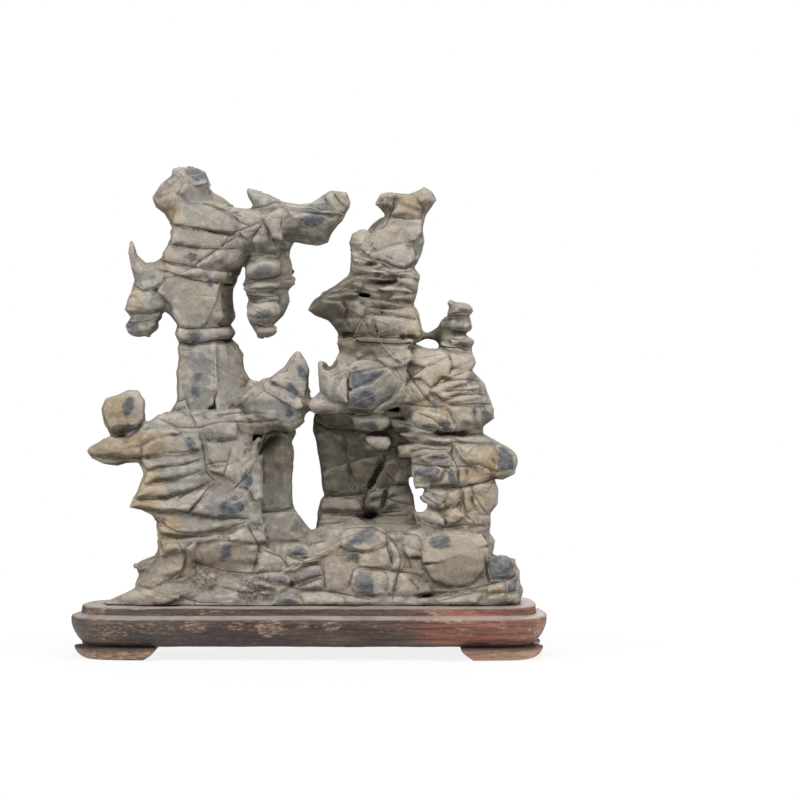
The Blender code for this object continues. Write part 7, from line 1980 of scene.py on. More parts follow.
class Board:
    """A node tree with short ways to add and join its nodes."""

    def __init__(self, tree: bpy.types.NodeTree) -> None:
        """Takes over a tree and empties it."""
        self.tree = tree
        self.tree.nodes.clear()

    def node(self, kind: str, feeds: dict[str | int, Feed] | None = None,
             **settings: object) -> bpy.types.Node:
        """Adds a node.

        Args:
            kind: the node's type name.
            feeds: what goes into its sockets, by socket name or number.
            settings: its properties.

        Returns:
            The new node.
        """
        node = self.tree.nodes.new(kind)
        for key, value in settings.items():
            setattr(node, key, value)
        for key, value in (feeds or {}).items():
            self.feed(node.inputs[key], value)
        return node

    def feed(self, socket: Socket, value: Feed) -> None:
        """Joins a socket to another or sets its value."""
        if isinstance(value, bpy.types.NodeSocket):
            self.tree.links.new(value, socket)
        elif isinstance(value, tuple) and socket.type == "RGBA":
            socket.default_value = (*value, 1.0)
        else:
            socket.default_value = value

    def channel(self, name: str) -> Socket:
        """Reads one stored value of the piece."""
        return self.node("ShaderNodeAttribute", attribute_name=name).outputs["Fac"]

    def place(self) -> Socket:
        """Reads the place on the object."""
        return self.node("ShaderNodeTexCoord").outputs["Object"]

    def stretched(self, place: Socket, scale: Triple) -> Socket:
        """Scales a place along its axes."""
        return self.node("ShaderNodeMapping", {"Vector": place, "Scale": scale}).outputs["Vector"]

    def noise(self, place: Socket, scale: Feed, detail: float = 3.0, rough: float = 0.5,
              bend: float = 0.0) -> Socket:
        """Gives soft noise from about 0.2 to 0.8."""
        return self.node("ShaderNodeTexNoise", {"Vector": place, "Scale": scale, "Detail": detail,
                                                "Roughness": rough, "Distortion": bend}).outputs["Fac"]

    def cells(self, place: Socket, scale: float) -> Socket:
        """Gives the distance to scattered points."""
        return self.node("ShaderNodeTexVoronoi", {"Vector": place, "Scale": scale}).outputs["Distance"]

    def math(self, operation: str, a: Feed, b: Feed = 0.0, clamp: bool = False) -> Socket:
        """Does one sum."""
        return self.node("ShaderNodeMath", {0: a, 1: b}, operation=operation, use_clamp=clamp).outputs[0]

    def times(self, a: Feed, b: Feed, clamp: bool = False) -> Socket:
        """Multiplies two values."""
        return self.math("MULTIPLY", a, b, clamp)

    def plus(self, a: Feed, b: Feed, clamp: bool = False) -> Socket:
        """Adds two values."""
        return self.math("ADD", a, b, clamp)

    def minus(self, a: Feed, b: Feed, clamp: bool = False) -> Socket:
        """Takes one value from another."""
        return self.math("SUBTRACT", a, b, clamp)

    def swing(self, noise: Socket, amount: float) -> Socket:
        """Turns a noise about a half into a swing about nothing."""
        return self.times(self.minus(noise, 0.5), amount)

    def rise(self, value: Feed, low: float, high: float, start: float = 0.0, end: float = 1.0) -> Socket:
        """Maps a value smoothly from one range to another."""
        ranges = {"Value": value, "From Min": low, "From Max": high, "To Min": start, "To Max": end}
        return self.node("ShaderNodeMapRange", ranges, interpolation_type="SMOOTHSTEP").outputs["Result"]

    def grey(self, value: Socket) -> Socket:
        """Turns a value into a grey."""
        parts = {"Red": value, "Green": value, "Blue": value}
        return self.node("ShaderNodeCombineColor", parts).outputs["Color"]

    def mix(self, share: Feed, a: Feed, b: Feed, way: str = "MIX") -> Socket:
        """Mixes two colours."""
        node = self.node("ShaderNodeMix", data_type="RGBA", blend_type=way)
        self.feed(node.inputs[0], share)
        self.feed(node.inputs[6], a)
        self.feed(node.inputs[7], b)
        return node.outputs[2]


class Effect:
    """A shader effect that several finishes share, kept as a node group."""

    def __init__(self, name: str, inputs: dict[str, float | Triple], outputs: dict[str, str]) -> None:
        """Starts a group.

        Args:
            name: the group's name.
            inputs: the default of each input, a number or a colour.
            outputs: the kind of each output, Float or Color.
        """
        self.group = bpy.data.node_groups.new(name, "ShaderNodeTree")
        self.board = Board(self.group)
        for key, value in inputs.items():
            kind = "NodeSocketColor" if isinstance(value, tuple) else "NodeSocketFloat"
            socket = self.group.interface.new_socket(key, in_out="INPUT", socket_type=kind)
            socket.default_value = (*value, 1.0) if isinstance(value, tuple) else value
        for key, kind in outputs.items():
            self.group.interface.new_socket(key, in_out="OUTPUT", socket_type="NodeSocket" + kind)
        self.given = self.board.node("NodeGroupInput").outputs
        self.result = self.board.node("NodeGroupOutput").inputs

    def put(self, name: str, value: Socket) -> None:
        """Sends a value out of the group."""
        self.board.feed(self.result[name], value)

    def use(self, board: Board, feeds: dict[str, Feed]) -> bpy.types.Node:
        """Places the group in a material's board."""
        node = board.node("ShaderNodeGroup", node_tree=self.group)
        for key, value in feeds.items():
            board.feed(node.inputs[key], value)
        return node


class Effects:
    """The shader effects that the finishes share, each built once."""

    def __init__(self) -> None:
        """Builds every effect."""
        self.speckle = self._speckle()
        self.grit = self._grit()
        self.grain = self._grain()
        self.dust = self._dust()
        self.wear = self._wear()

    @staticmethod
    def _speckle() -> Effect:
        """Scatters fine light and dark specks over a colour."""
        inputs = {"Colour": (0.5, 0.5, 0.5), "Size": 1500.0, "Strength": 0.2}
        effect = Effect("speckle", inputs, {"Colour": "Color"})
        board = effect.board
        fine = board.noise(board.place(), effect.given["Size"], 2.0)
        lift = board.rise(fine, 0.35, 0.68, -1.0, 1.0)
        gain = board.plus(board.times(lift, effect.given["Strength"]), 1.0)
        effect.put("Colour", board.mix(1.0, effect.given["Colour"], board.grey(gain), "MULTIPLY"))
        return effect

    @staticmethod
    def _grit() -> Effect:
        """Gives the fine unevenness of weathered stone."""
        effect = Effect("grit", {"Coarse": 420.0, "Fine": 1900.0, "Crumble": 0.0}, {"Height": "Float"})
        board = effect.board
        place = board.place()
        coarse = board.noise(place, effect.given["Coarse"], 4.0)
        fine = board.noise(place, effect.given["Fine"], 3.0)
        chips = board.cells(place, 900.0)
        rough = board.times(board.times(chips, 3.0), effect.given["Crumble"])
        calm = board.plus(board.times(fine, 0.35), coarse)
        effect.put("Height", board.plus(calm, rough))
        return effect

    @staticmethod
    def _grain() -> Effect:
        """Gives the long fibres and pores of wood cut along X."""
        outputs = {"Fibre": "Float", "Pore": "Float", "Band": "Float"}
        effect = Effect("wood_grain", {"Length": 60.0, "Width": 1400.0}, outputs)
        board = effect.board
        place = board.place()
        length, width = effect.given["Length"], effect.given["Width"]
        scale = board.node("ShaderNodeCombineXYZ", {"X": length, "Y": length, "Z": width}).outputs[0]
        drawn = board.node("ShaderNodeVectorMath", {0: place, 1: scale}, operation="MULTIPLY").outputs[0]
        effect.put("Fibre", board.noise(drawn, 1.0, 4.0, 0.6, 0.6))
        pores = board.noise(board.stretched(drawn, (2.2, 2.2, 1.3)), 1.0, 2.0, 0.5, 0.2)
        effect.put("Pore", board.rise(pores, 0.60, 0.70))
        effect.put("Band", board.noise(board.stretched(drawn, (0.5, 0.5, 0.14)), 1.0, 3.0, 0.5, 0.8))
        return effect

    @staticmethod
    def _dust() -> Effect:
        """Lays pale dust on what faces upwards and in the corners."""
        effect = Effect("dust", {"Fold": 0.0, "Amount": 1.0}, {"Mask": "Float"})
        board = effect.board
        normal = board.node("ShaderNodeNewGeometry").outputs["Normal"]
        up = board.node("ShaderNodeSeparateXYZ", {0: normal}).outputs["Z"]
        patchy = board.noise(board.place(), 160.0, 4.0, 0.6)
        lying = board.rise(board.plus(up, board.times(patchy, 0.5)), 0.55, 1.15)
        folded = board.plus(lying, board.times(effect.given["Fold"], 0.3), clamp=True)
        effect.put("Mask", board.times(folded, effect.given["Amount"], clamp=True))
        return effect

    @staticmethod
    def _wear() -> Effect:
        """Rubs the finish off along outward bends."""
        effect = Effect("edge_wear", {"Bend": 0.0, "Start": 0.15, "Ragged": 320.0}, {"Mask": "Float"})
        board = effect.board
        uneven = board.noise(board.place(), effect.given["Ragged"], 5.0)
        lifted = board.plus(effect.given["Bend"], board.swing(uneven, 0.9))
        over = board.minus(lifted, effect.given["Start"])
        effect.put("Mask", board.rise(over, 0.0, 0.35))
        return effect


def new_board(name: str) -> tuple[bpy.types.Material, Board]:
    """Starts a material.

    Args:
        name: the material's name.

    Returns:
        The material and the board of its nodes.
    """
    material = bpy.data.materials.new(name)
    material.use_nodes = True
    return material, Board(material.node_tree)


def finish_board(board: Board, colour: Socket, roughness: Feed, height: Socket, bump: float, depth: float,
                 specular: float = 0.25) -> None:
    """Ends a material in one Principled BSDF.

    Args:
        board: the material's board.
        colour: its base colour.
        roughness: its roughness.
        height: the height of its fine relief.
        bump: how strong the relief is.
        depth: how deep the relief is, in metres.
        specular: its specular level.
    """
    relief = board.node("ShaderNodeBump", {"Height": height, "Strength": bump, "Distance": depth})
    shader = board.node("ShaderNodeBsdfPrincipled", {"Base Color": colour, "Roughness": roughness,
                                                     "Normal": relief.outputs["Normal"]})
    shader.inputs["Specular IOR Level"].default_value = specular
    board.node("ShaderNodeOutputMaterial", {"Surface": shader.outputs["BSDF"]})


@dataclass(frozen=True)
class StoneFinish:
    """Weathered limestone: grey-buff, with slate-blue faces, tan stains, pale veins and dark joints, and with
    painted shade in recesses, folds, pits and undersides and painted highlights on ridges, bulges, brows and
    crack edges.
    """

    buff: Triple = (0.262, 0.224, 0.176)
    grey: Triple = (0.238, 0.223, 0.202)
    pale: Triple = (0.440, 0.388, 0.318)
    shade: Triple = (0.050, 0.042, 0.031)
    cool: Triple = (0.158, 0.163, 0.168)
    gloom: Triple = (0.36, 0.34, 0.29)
    slate: Triple = (0.040, 0.051, 0.070)
    slate_worn: Triple = (0.108, 0.122, 0.140)
    tan: Triple = (0.315, 0.232, 0.138)
    purple: Triple = (0.095, 0.074, 0.074)
    joint: Triple = (0.020, 0.016, 0.013)
    vein: Triple = (0.44, 0.41, 0.37)

    def build(self, effects: Effects) -> bpy.types.Material:
        """Makes the material of the rock's skin."""
        material, board = new_board("weathered_stone")
        place = board.place()
        broad = board.rise(board.noise(place, 55.0, 3.0), 0.35, 0.65)
        colour = board.mix(broad, self.buff, self.grey)
        cloud = board.rise(board.noise(place, 230.0, 5.0, 0.62), 0.3, 0.72, 0.80, 1.16)
        colour = board.mix(1.0, colour, board.grey(cloud), "MULTIPLY")
        colour = board.mix(board.rise(board.channel("tint"), 0.0, 1.0, 0.0, 0.28), colour, self.pale)
        colour = board.mix(board.rise(board.channel("tint"), 0.0, -1.0, 0.0, 0.45), colour, self.cool)
        colour = board.mix(board.times(board.channel("light"), 0.85), colour, self.pale)
        blotches = board.rise(board.noise(place, 140.0, 4.0), 0.25, 0.7, 0.5, 1.1)
        tan = board.times(board.channel("tan"), blotches)
        colour = board.mix(board.times(tan, 0.9, clamp=True), colour, self.tan)
        colour = self._slate(board, place, colour)
        colour = self._crumble(board, place, colour)
        colour = self._bends(board, place, colour)
        # Painted shade in recesses such as the wall and the wing, mixed with some darker tone of the stone's
        # own.
        recess_shade_and_tone = board.times(board.channel("dark"), board.minus(1.0, board.channel("light")))
        colour = board.mix(recess_shade_and_tone, colour, self.gloom, "MULTIPLY")
        # Near-black painted shade in the deepest crevices.
        colour = board.mix(board.times(board.channel("pit_shade"), 0.9), colour, self.joint)
        colour = self._lines(board, place, colour)
        for size, strength in ((2600.0, 0.11), (900.0, 0.07)):
            specks = effects.speckle.use(board, {"Colour": colour, "Size": size, "Strength": strength})
            colour = specks.outputs["Colour"]
        grit = effects.grit.use(board, {"Crumble": board.channel("crumble")}).outputs["Height"]
        groove = board.times(self._line(board, "crack", 0.30), -1.6)
        height = board.plus(grit, groove)
        finish_board(board, colour, 0.82, height, 0.55, 0.00032)
        return material

    def _slate(self, board: Board, place: Socket, colour: Socket) -> Socket:
        """Lays on the slate-blue faces, scuffed and speckled."""
        brushed = board.noise(board.stretched(place, (0.45, 1.0, 1.3)), 900.0, 4.0, 0.6)
        mask = board.rise(board.plus(board.channel("slate"), board.swing(brushed, 0.5)), 0.25, 0.85)
        worn = board.rise(board.noise(board.stretched(place, (1.0, 1.0, 1.6)), 620.0, 5.0, 0.65), 0.38, 0.68)
        blue = board.mix(worn, self.slate, self.slate_worn)
        return board.mix(board.times(mask, 0.9), colour, blue)

    def _crumble(self, board: Board, place: Socket, colour: Socket) -> Socket:
        """Lays on the purplish, broken patches."""
        broken = board.rise(board.noise(place, 1100.0, 4.0, 0.7), 0.42, 0.60)
        mask = board.times(board.channel("crumble"), broken, clamp=True)
        return board.mix(board.times(mask, 0.85), colour, self.purple)

    def _bends(self, board: Board, place: Socket, colour: Socket) -> Socket:
        """Paints highlights on the ridges and bulges and paints shade in the folds and hollows."""
        ragged = board.swing(board.noise(place, 500.0, 3.0), 0.5)
        fine = board.plus(board.channel("fine_bend"), ragged)
        bare = board.minus(1.0, board.times(board.channel("slate"), 0.75), clamp=True)
        # Painted highlight along fine ridges, kept off the slate.
        ridge = board.rise(fine, 0.30, 0.95, 0.0, 0.50)
        colour = board.mix(board.times(ridge, bare), colour, self.pale)
        # Painted shade in fine folds and in broad hollows.
        fold = board.rise(board.times(board.channel("fine_bend"), -1.0), 0.35, 1.3, 0.0, 0.68)
        colour = board.mix(fold, colour, self.shade)
        deep = board.rise(board.times(board.channel("broad_bend"), -1.0), 0.3, 1.3, 0.0, 0.52)
        colour = board.mix(deep, colour, self.shade)
        # Painted highlight on broad bulges, kept off the slate.
        bulge_highlight = board.rise(board.channel("broad_bend"), 0.2, 1.2, 0.0, 0.16)
        return board.mix(board.times(bulge_highlight, bare), colour, self.pale)

    def _line(self, board: Board, name: str, width: float) -> Socket:
        """Draws thin lines where a signed distance passes through nothing."""
        uneven = board.rise(board.noise(board.place(), 380.0, 3.0), 0.3, 0.7, 0.35, 1.1)
        gap = board.math("DIVIDE", board.math("ABSOLUTE", board.channel(name)), uneven)
        drawn = board.rise(gap, width, width * 0.25)
        return board.times(drawn, board.channel(name + "_weight"), clamp=True)

    def _lines(self, board: Board, place: Socket, colour: Socket) -> Socket:
        """Draws the painted shade under each block, the pale brows of dust and painted highlight, the dark
        seams round the blocks, the dark joints with their pale lips of painted highlight, then the pale
        veins.
        """
        rim, near = board.channel("rim"), board.channel("rim_weight")
        broken = board.rise(board.noise(place, 260.0, 3.0), 0.36, 0.58)
        patchy = board.rise(board.noise(place, 420.0, 3.0), 0.3, 0.6, 0.35, 0.75)
        # Painted shade below each block and on downward faces, broken up by noise.
        under_shade = board.times(board.channel("under"), patchy)
        colour = board.mix(under_shade, colour, self.shade)
        # Pale brows: dust with painted highlight.
        brow = board.times(board.channel("brow"), board.rise(broken, 0.0, 1.0, 0.12, 0.42))
        colour = board.mix(brow, colour, self.pale)
        seam = board.rise(board.math("ABSOLUTE", board.minus(rim, 0.08)), 0.20, 0.05, 0.0, 0.22)
        colour = board.mix(board.times(board.times(seam, near), broken), colour, self.joint)
        # Pale lip beside each crack: painted highlight on its edges.
        lip = board.times(self._line(board, "crack", 0.75), 0.35)
        colour = board.mix(lip, colour, self.pale)
        joint = board.times(self._line(board, "crack", 0.26), 1.5, clamp=True)
        colour = board.mix(board.times(joint, 0.85), colour, self.joint)
        vein = board.times(self._line(board, "vein", 0.24), 0.50)
        return board.mix(vein, colour, self.vein)


@dataclass(frozen=True)
class WoodFinish:
    """Old stained hardwood: dark along the middle, redder at one end, rubbed and dusty, with a line of
    painted shade along the seam between tray and feet.
    """

    dark: Triple = (0.042, 0.029, 0.027)
    brown: Triple = (0.098, 0.062, 0.054)
    red: Triple = (0.215, 0.085, 0.058)
    charcoal: Triple = (0.078, 0.064, 0.056)
    rubbed: Triple = (0.30, 0.19, 0.125)
    scuffed: Triple = (0.44, 0.35, 0.25)
    # Colour of the painted shade along the seam between tray and feet.
    seam_shade: Triple = (0.026, 0.018, 0.017)
    seam_height: float = 0.0031
    dust: Triple = (0.325, 0.285, 0.25)
    wear_start: float = 0.45
    dust_amount: float = 0.9
    redness: float = 0.0

    def build(self, name: str, effects: Effects) -> bpy.types.Material:
        """Makes the wood for one kind of piece."""
        material, board = new_board(name)
        place = board.place()
        grain = effects.grain.use(board, {}).outputs
        parts = board.node("ShaderNodeSeparateXYZ", {0: place}).outputs
        shifted = board.plus(parts["X"], board.swing(board.noise(place, 40.0, 4.0), 0.05))
        colour = board.mix(board.rise(grain["Band"], 0.35, 0.65), self.dark, self.brown)
        red = board.plus(board.rise(shifted, 0.018, 0.048), self.redness, clamp=True)
        red = board.times(red, board.rise(grain["Fibre"], 0.30, 0.62, 0.6, 1.0))
        colour = board.mix(red, colour, self.red)
        left = board.rise(shifted, -0.024, -0.046, 0.0, 0.8)
        colour = board.mix(left, colour, self.charcoal)
        fibre = board.rise(grain["Fibre"], 0.3, 0.7, 0.55, 1.40)
        colour = board.mix(1.0, colour, board.grey(fibre), "MULTIPLY")
        colour = board.mix(board.times(grain["Pore"], 0.7), colour, self.dark)
        worn = effects.wear.use(board, {"Bend": board.channel("bend"),
                                        "Start": self.wear_start}).outputs["Mask"]
        colour = board.mix(board.times(worn, 0.5), colour, self.rubbed)
        scraped = board.noise(board.stretched(place, (0.38, 0.38, 1.5)), 1500.0, 4.0, 0.75)
        loosened = board.plus(scraped, board.times(board.channel("rubbed"), 0.13))
        colour = board.mix(board.rise(loosened, 0.54, 0.72, 0.0, 0.70), colour, self.rubbed)
        colour = board.mix(board.rise(loosened, 0.66, 0.80, 0.0, 0.75), colour, self.scuffed)
        # Painted shade: a dark line along the seam between the tray and its feet, where the moulding turns
        # under.
        off_seam = board.math("ABSOLUTE", board.minus(parts["Z"], self.seam_height))
        colour = board.mix(board.rise(off_seam, 0.0013, 0.0003, 0.0, 0.85), colour, self.seam_shade)
        fold = board.times(board.channel("bend"), -1.0)
        dusty = effects.dust.use(board, {"Fold": fold, "Amount": self.dust_amount}).outputs["Mask"]
        drifted = board.rise(board.noise(place, 110.0, 5.0, 0.65), 0.34, 0.62, 0.62, 1.0)
        colour = board.mix(board.times(dusty, drifted), colour, self.dust)
        height = board.plus(grain["Fibre"], board.times(grain["Pore"], -0.5))
        rough = board.rise(grain["Fibre"], 0.3, 0.7, 0.55, 0.75)
        finish_board(board, colour, rough, height, 0.5, 0.0003, 0.35)
        return material


@dataclass
class Rock:
    """The rock, as one skin that stands for its solid."""

    node: str = "stone"
    slot: str = "stone"
    most_triangles: int = 188000
    quick_step: float = 0.7

    def build(self, effects: Effects) -> bpy.types.Object:
        """Grows, creases and stains the rock.

        Args:
            effects: the shared shader effects.

        Returns:
            The finished piece.
        """
        lattice = Lattice()
        body = RockBody(lattice=lattice)
        skin = largest_part(lattice.surface(body.grow()))
        LOG.info("rock body has %d points", len(skin.spots))
        mesh = thinned(mesh_from_skin("rock", RockRelief().press(skin)), self.most_triangles)
        marks = RockMarks(skin_from_mesh(mesh)).measure()
        for name, values in marks.items():
            set_channel(mesh, name, values)
        mesh.materials.append(StoneFinish().build(effects))
        piece = new_piece("rock", mesh)
        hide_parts(self.node)
        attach(piece, BODY)
        LOG.info("rock skin has %d triangles", len(mesh.polygons))
        return piece


def largest_part(skin: Skin) -> Skin:
    """Keeps only the largest joined part of a skin."""
    label = np.arange(len(skin.spots))
    pairs = skin.edges()
    while True:
        least = np.minimum(label[pairs[:, 0]], label[pairs[:, 1]])
        before = label.copy()
        np.minimum.at(label, pairs[:, 0], least)
        np.minimum.at(label, pairs[:, 1], least)
        label = label[label]
        if np.array_equal(before, label):
            break
    keep = label == np.bincount(label).argmax()
    number = np.cumsum(keep) - 1
    return Skin(skin.spots[keep], number[skin.faces[keep[skin.faces[:, 0]]]])


@dataclass
class Crumbs:
    """Loose grains stuck in the rock's crumbled patches."""

    density: float = 2600000.0
    size: float = 0.00017
    seed: int = 7
    most_turned: Triple = (6.3, 6.3, 6.3)
    least_swell: Triple = (0.5, 0.4, 0.3)
    most_swell: Triple = (1.7, 1.5, 1.0)

    def build(self, rock: bpy.types.Object) -> bpy.types.Object:
        """Scatters the grains over a copy of the rock with Geometry Nodes.

        Args:
            rock: the rock, whose crumble channel says where grains lie.

        Returns:
            The grains as one piece.
        """
        holder = new_piece("crumbs_source", rock.data.copy())
        modifier = holder.modifiers.new("scatter crumbs", "NODES")
        tree, sockets = self._tree(rock.data.materials[0])
        modifier.node_group = tree
        for key, value in (("Density", self.density), ("Size", self.size), ("Seed", self.seed)):
            modifier[sockets[key]] = value
        view = bpy.context.evaluated_depsgraph_get()
        mesh = bpy.data.meshes.new_from_object(holder.evaluated_get(view))
        holder.modifiers.clear()
        bpy.data.objects.remove(holder)
        piece = new_piece("crumbs", mesh)
        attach(piece, BODY)
        LOG.info("crumbs have %d faces", len(mesh.polygons))
        return piece

    def _tree(self, material: bpy.types.Material) -> tuple[bpy.types.NodeTree, dict[str, str]]:
        """Builds the scattering tree, with named inputs for density, size and seed."""
        tree = bpy.data.node_groups.new("scatter_crumbs", "GeometryNodeTree")
        face = tree.interface
        face.new_socket("Geometry", in_out="INPUT", socket_type="NodeSocketGeometry")
        names = {}
        for key, kind in (("Density", "Float"), ("Size", "Float"), ("Seed", "Int")):
            names[key] = face.new_socket(key, in_out="INPUT", socket_type="NodeSocket" + kind).identifier
        face.new_socket("Geometry", in_out="OUTPUT", socket_type="NodeSocketGeometry")
        board = Board(tree)
        given = board.node("NodeGroupInput").outputs
        stain = board.node("GeometryNodeInputNamedAttribute", {"Name": "crumble"}, data_type="FLOAT")
        chance = board.times(stain.outputs[0], given["Density"])
        scatter = {"Mesh": given["Geometry"], "Density": chance, "Seed": given["Seed"]}
        spots = board.node("GeometryNodeDistributePointsOnFaces", scatter).outputs["Points"]
        ball = board.node("GeometryNodeMeshIcoSphere", {"Radius": given["Size"], "Subdivisions": 1})
        spin = board.node("FunctionNodeRandomValue", {"Seed": given["Seed"]}, data_type="FLOAT_VECTOR")
        spin.inputs["Max"].default_value = self.most_turned
        swell = board.node("FunctionNodeRandomValue", {"Seed": given["Seed"]}, data_type="FLOAT_VECTOR")
        swell.inputs["Min"].default_value = self.least_swell
        swell.inputs["Max"].default_value = self.most_swell
        copies = {"Points": spots, "Instance": ball.outputs["Mesh"], "Rotation": spin.outputs[0],
                  "Scale": swell.outputs[0]}
        grains = board.node("GeometryNodeInstanceOnPoints", copies).outputs["Instances"]
        real = board.node("GeometryNodeRealizeInstances", {"Geometry": grains}).outputs[0]
        dressed = board.node("GeometryNodeSetMaterial", {"Geometry": real}).outputs[0]
        dressed.node.inputs["Material"].default_value = material
        board.node("NodeGroupOutput", {0: dressed})
        return tree, names


def smooth_loop(outline: Points, count: int) -> np.ndarray:
    """Runs a smooth closed line through an outline's points.

    Args:
        outline: the points in order.
        count: how many evenly spaced points the line gets.

    Returns:
        The line's points, one in each row.
    """
    curve = bpy.data.curves.new("loop", "CURVE")
    curve.dimensions = "2D"
    curve.resolution_u = 24
    spline = curve.splines.new("BEZIER")
    spline.bezier_points.add(len(outline) - 1)
    for knot, (x, y) in zip(spline.bezier_points, outline):
        knot.co = (x, y, 0.0)
        knot.handle_left_type = "AUTO"
        knot.handle_right_type = "AUTO"
    spline.use_cyclic_u = True
    holder = bpy.data.objects.new("loop", curve)
    mesh = bpy.data.meshes.new_from_object(holder)
    line = np.array([vert.co[:2] for vert in mesh.vertices])
    bpy.data.objects.remove(holder)
    bpy.data.curves.remove(curve)
    bpy.data.meshes.remove(mesh)
    return evenly(line, count)


def evenly(line: np.ndarray, count: int, closed: bool = True) -> np.ndarray:
    """Spaces points evenly along a line."""
    run = np.vstack((line, line[:1])) if closed else line
    reach = np.concatenate(([0.0], np.cumsum(np.hypot(*np.diff(run, axis=0).T))))
    at = np.linspace(0.0, reach[-1], count, endpoint=not closed)
    return np.stack((np.interp(at, reach, run[:, 0]), np.interp(at, reach, run[:, 1])), axis=1)


def inset(loop: np.ndarray, amount: float) -> np.ndarray:
    """Moves a closed anticlockwise line inwards."""
    ahead = np.roll(loop, -2, axis=0) - np.roll(loop, 2, axis=0)
    ahead /= np.linalg.norm(ahead, axis=1, keepdims=True)
    return loop + np.stack((-ahead[:, 1], ahead[:, 0]), axis=1) * amount


def worn_profile(knots: Points, step: float = 0.17, passes: int = 3) -> np.ndarray:
    """Draws a section through (inset, height) knots with its corners rubbed round.

    Args:
        knots: the section's knots.
        step: the spacing of the section's points.
        passes: how many times the corners are eased.

    Returns:
        The section's points.
    """
    marks = np.array(knots, float)
    length = float(np.sum(np.hypot(*np.diff(marks, axis=0).T)))
    line = evenly(marks, max(int(length / step), 4), closed=False)
    for _ in range(passes):
        line[1:-1] = 0.25 * line[:-2] + 0.5 * line[1:-1] + 0.25 * line[2:]
    return line


def loft(rings: Sequence[np.ndarray]) -> np.ndarray:
    """Lists the four-sided faces between rings of equal length, bottom to top."""
    count = len(rings[0])
    here = np.arange(count)
    ahead = (here + 1) % count
    return np.concatenate([np.stack((here + low * count, ahead + low * count, ahead + (low + 1) * count,
                                     here + (low + 1) * count), axis=1) for low in range(len(rings) - 1)])


def capped(name: str, skin: Skin, around: int) -> bpy.types.Mesh:
    """Makes a mesh of lofted rings and closes its first and last ring with flat faces."""
    mesh = mesh_from_skin(name, skin)
    body = bmesh.new()
    body.from_mesh(mesh)
    body.verts.ensure_lookup_table()
    count = len(body.verts)
    for ring in (range(around - 1, -1, -1), range(count - around, count)):
        face = body.faces.new([body.verts[index] for index in ring])
        bmesh.ops.triangulate(body, faces=[face])
    body.to_mesh(mesh)
    body.free()
    mesh.shade_smooth()
    return mesh


def add_bend(mesh: bpy.types.Mesh, scale: float, passes: int) -> None:
    """Stores how far each point stands out from its surroundings."""
    skin = skin_from_mesh(mesh)
    moved = skin.spots - skin.smoothed(skin.spots, passes)
    set_channel(mesh, "bend", np.clip(np.sum(moved * skin.normals(), axis=1) / scale, -1.5, 1.5))


def add_rubbed(mesh: bpy.types.Mesh) -> None:
    """Stores how far the finish is rubbed away: as seen in front, and in scattered places elsewhere."""
    skin = skin_from_mesh(mesh)
    normals = skin.normals()
    readings = EYE.read(skin.spots)
    uneven = 0.35 * Grain(57).wave(skin.spots, (2.4, 2.4, 1.2))
    rubbed = np.zeros(len(readings))
    for patch in RUBBED:
        rubbed = np.maximum(rubbed, patch_mask(patch, readings, uneven))
    elsewhere = 0.8 * eased(Grain(56).wave(skin.spots, (7.0, 7.0, 2.6)), 0.15, 0.6)
    front = eased(-normals[:, 1], -0.1, 0.3)
    set_channel(mesh, "rubbed", rubbed * front + elsewhere * (1.0 - front))


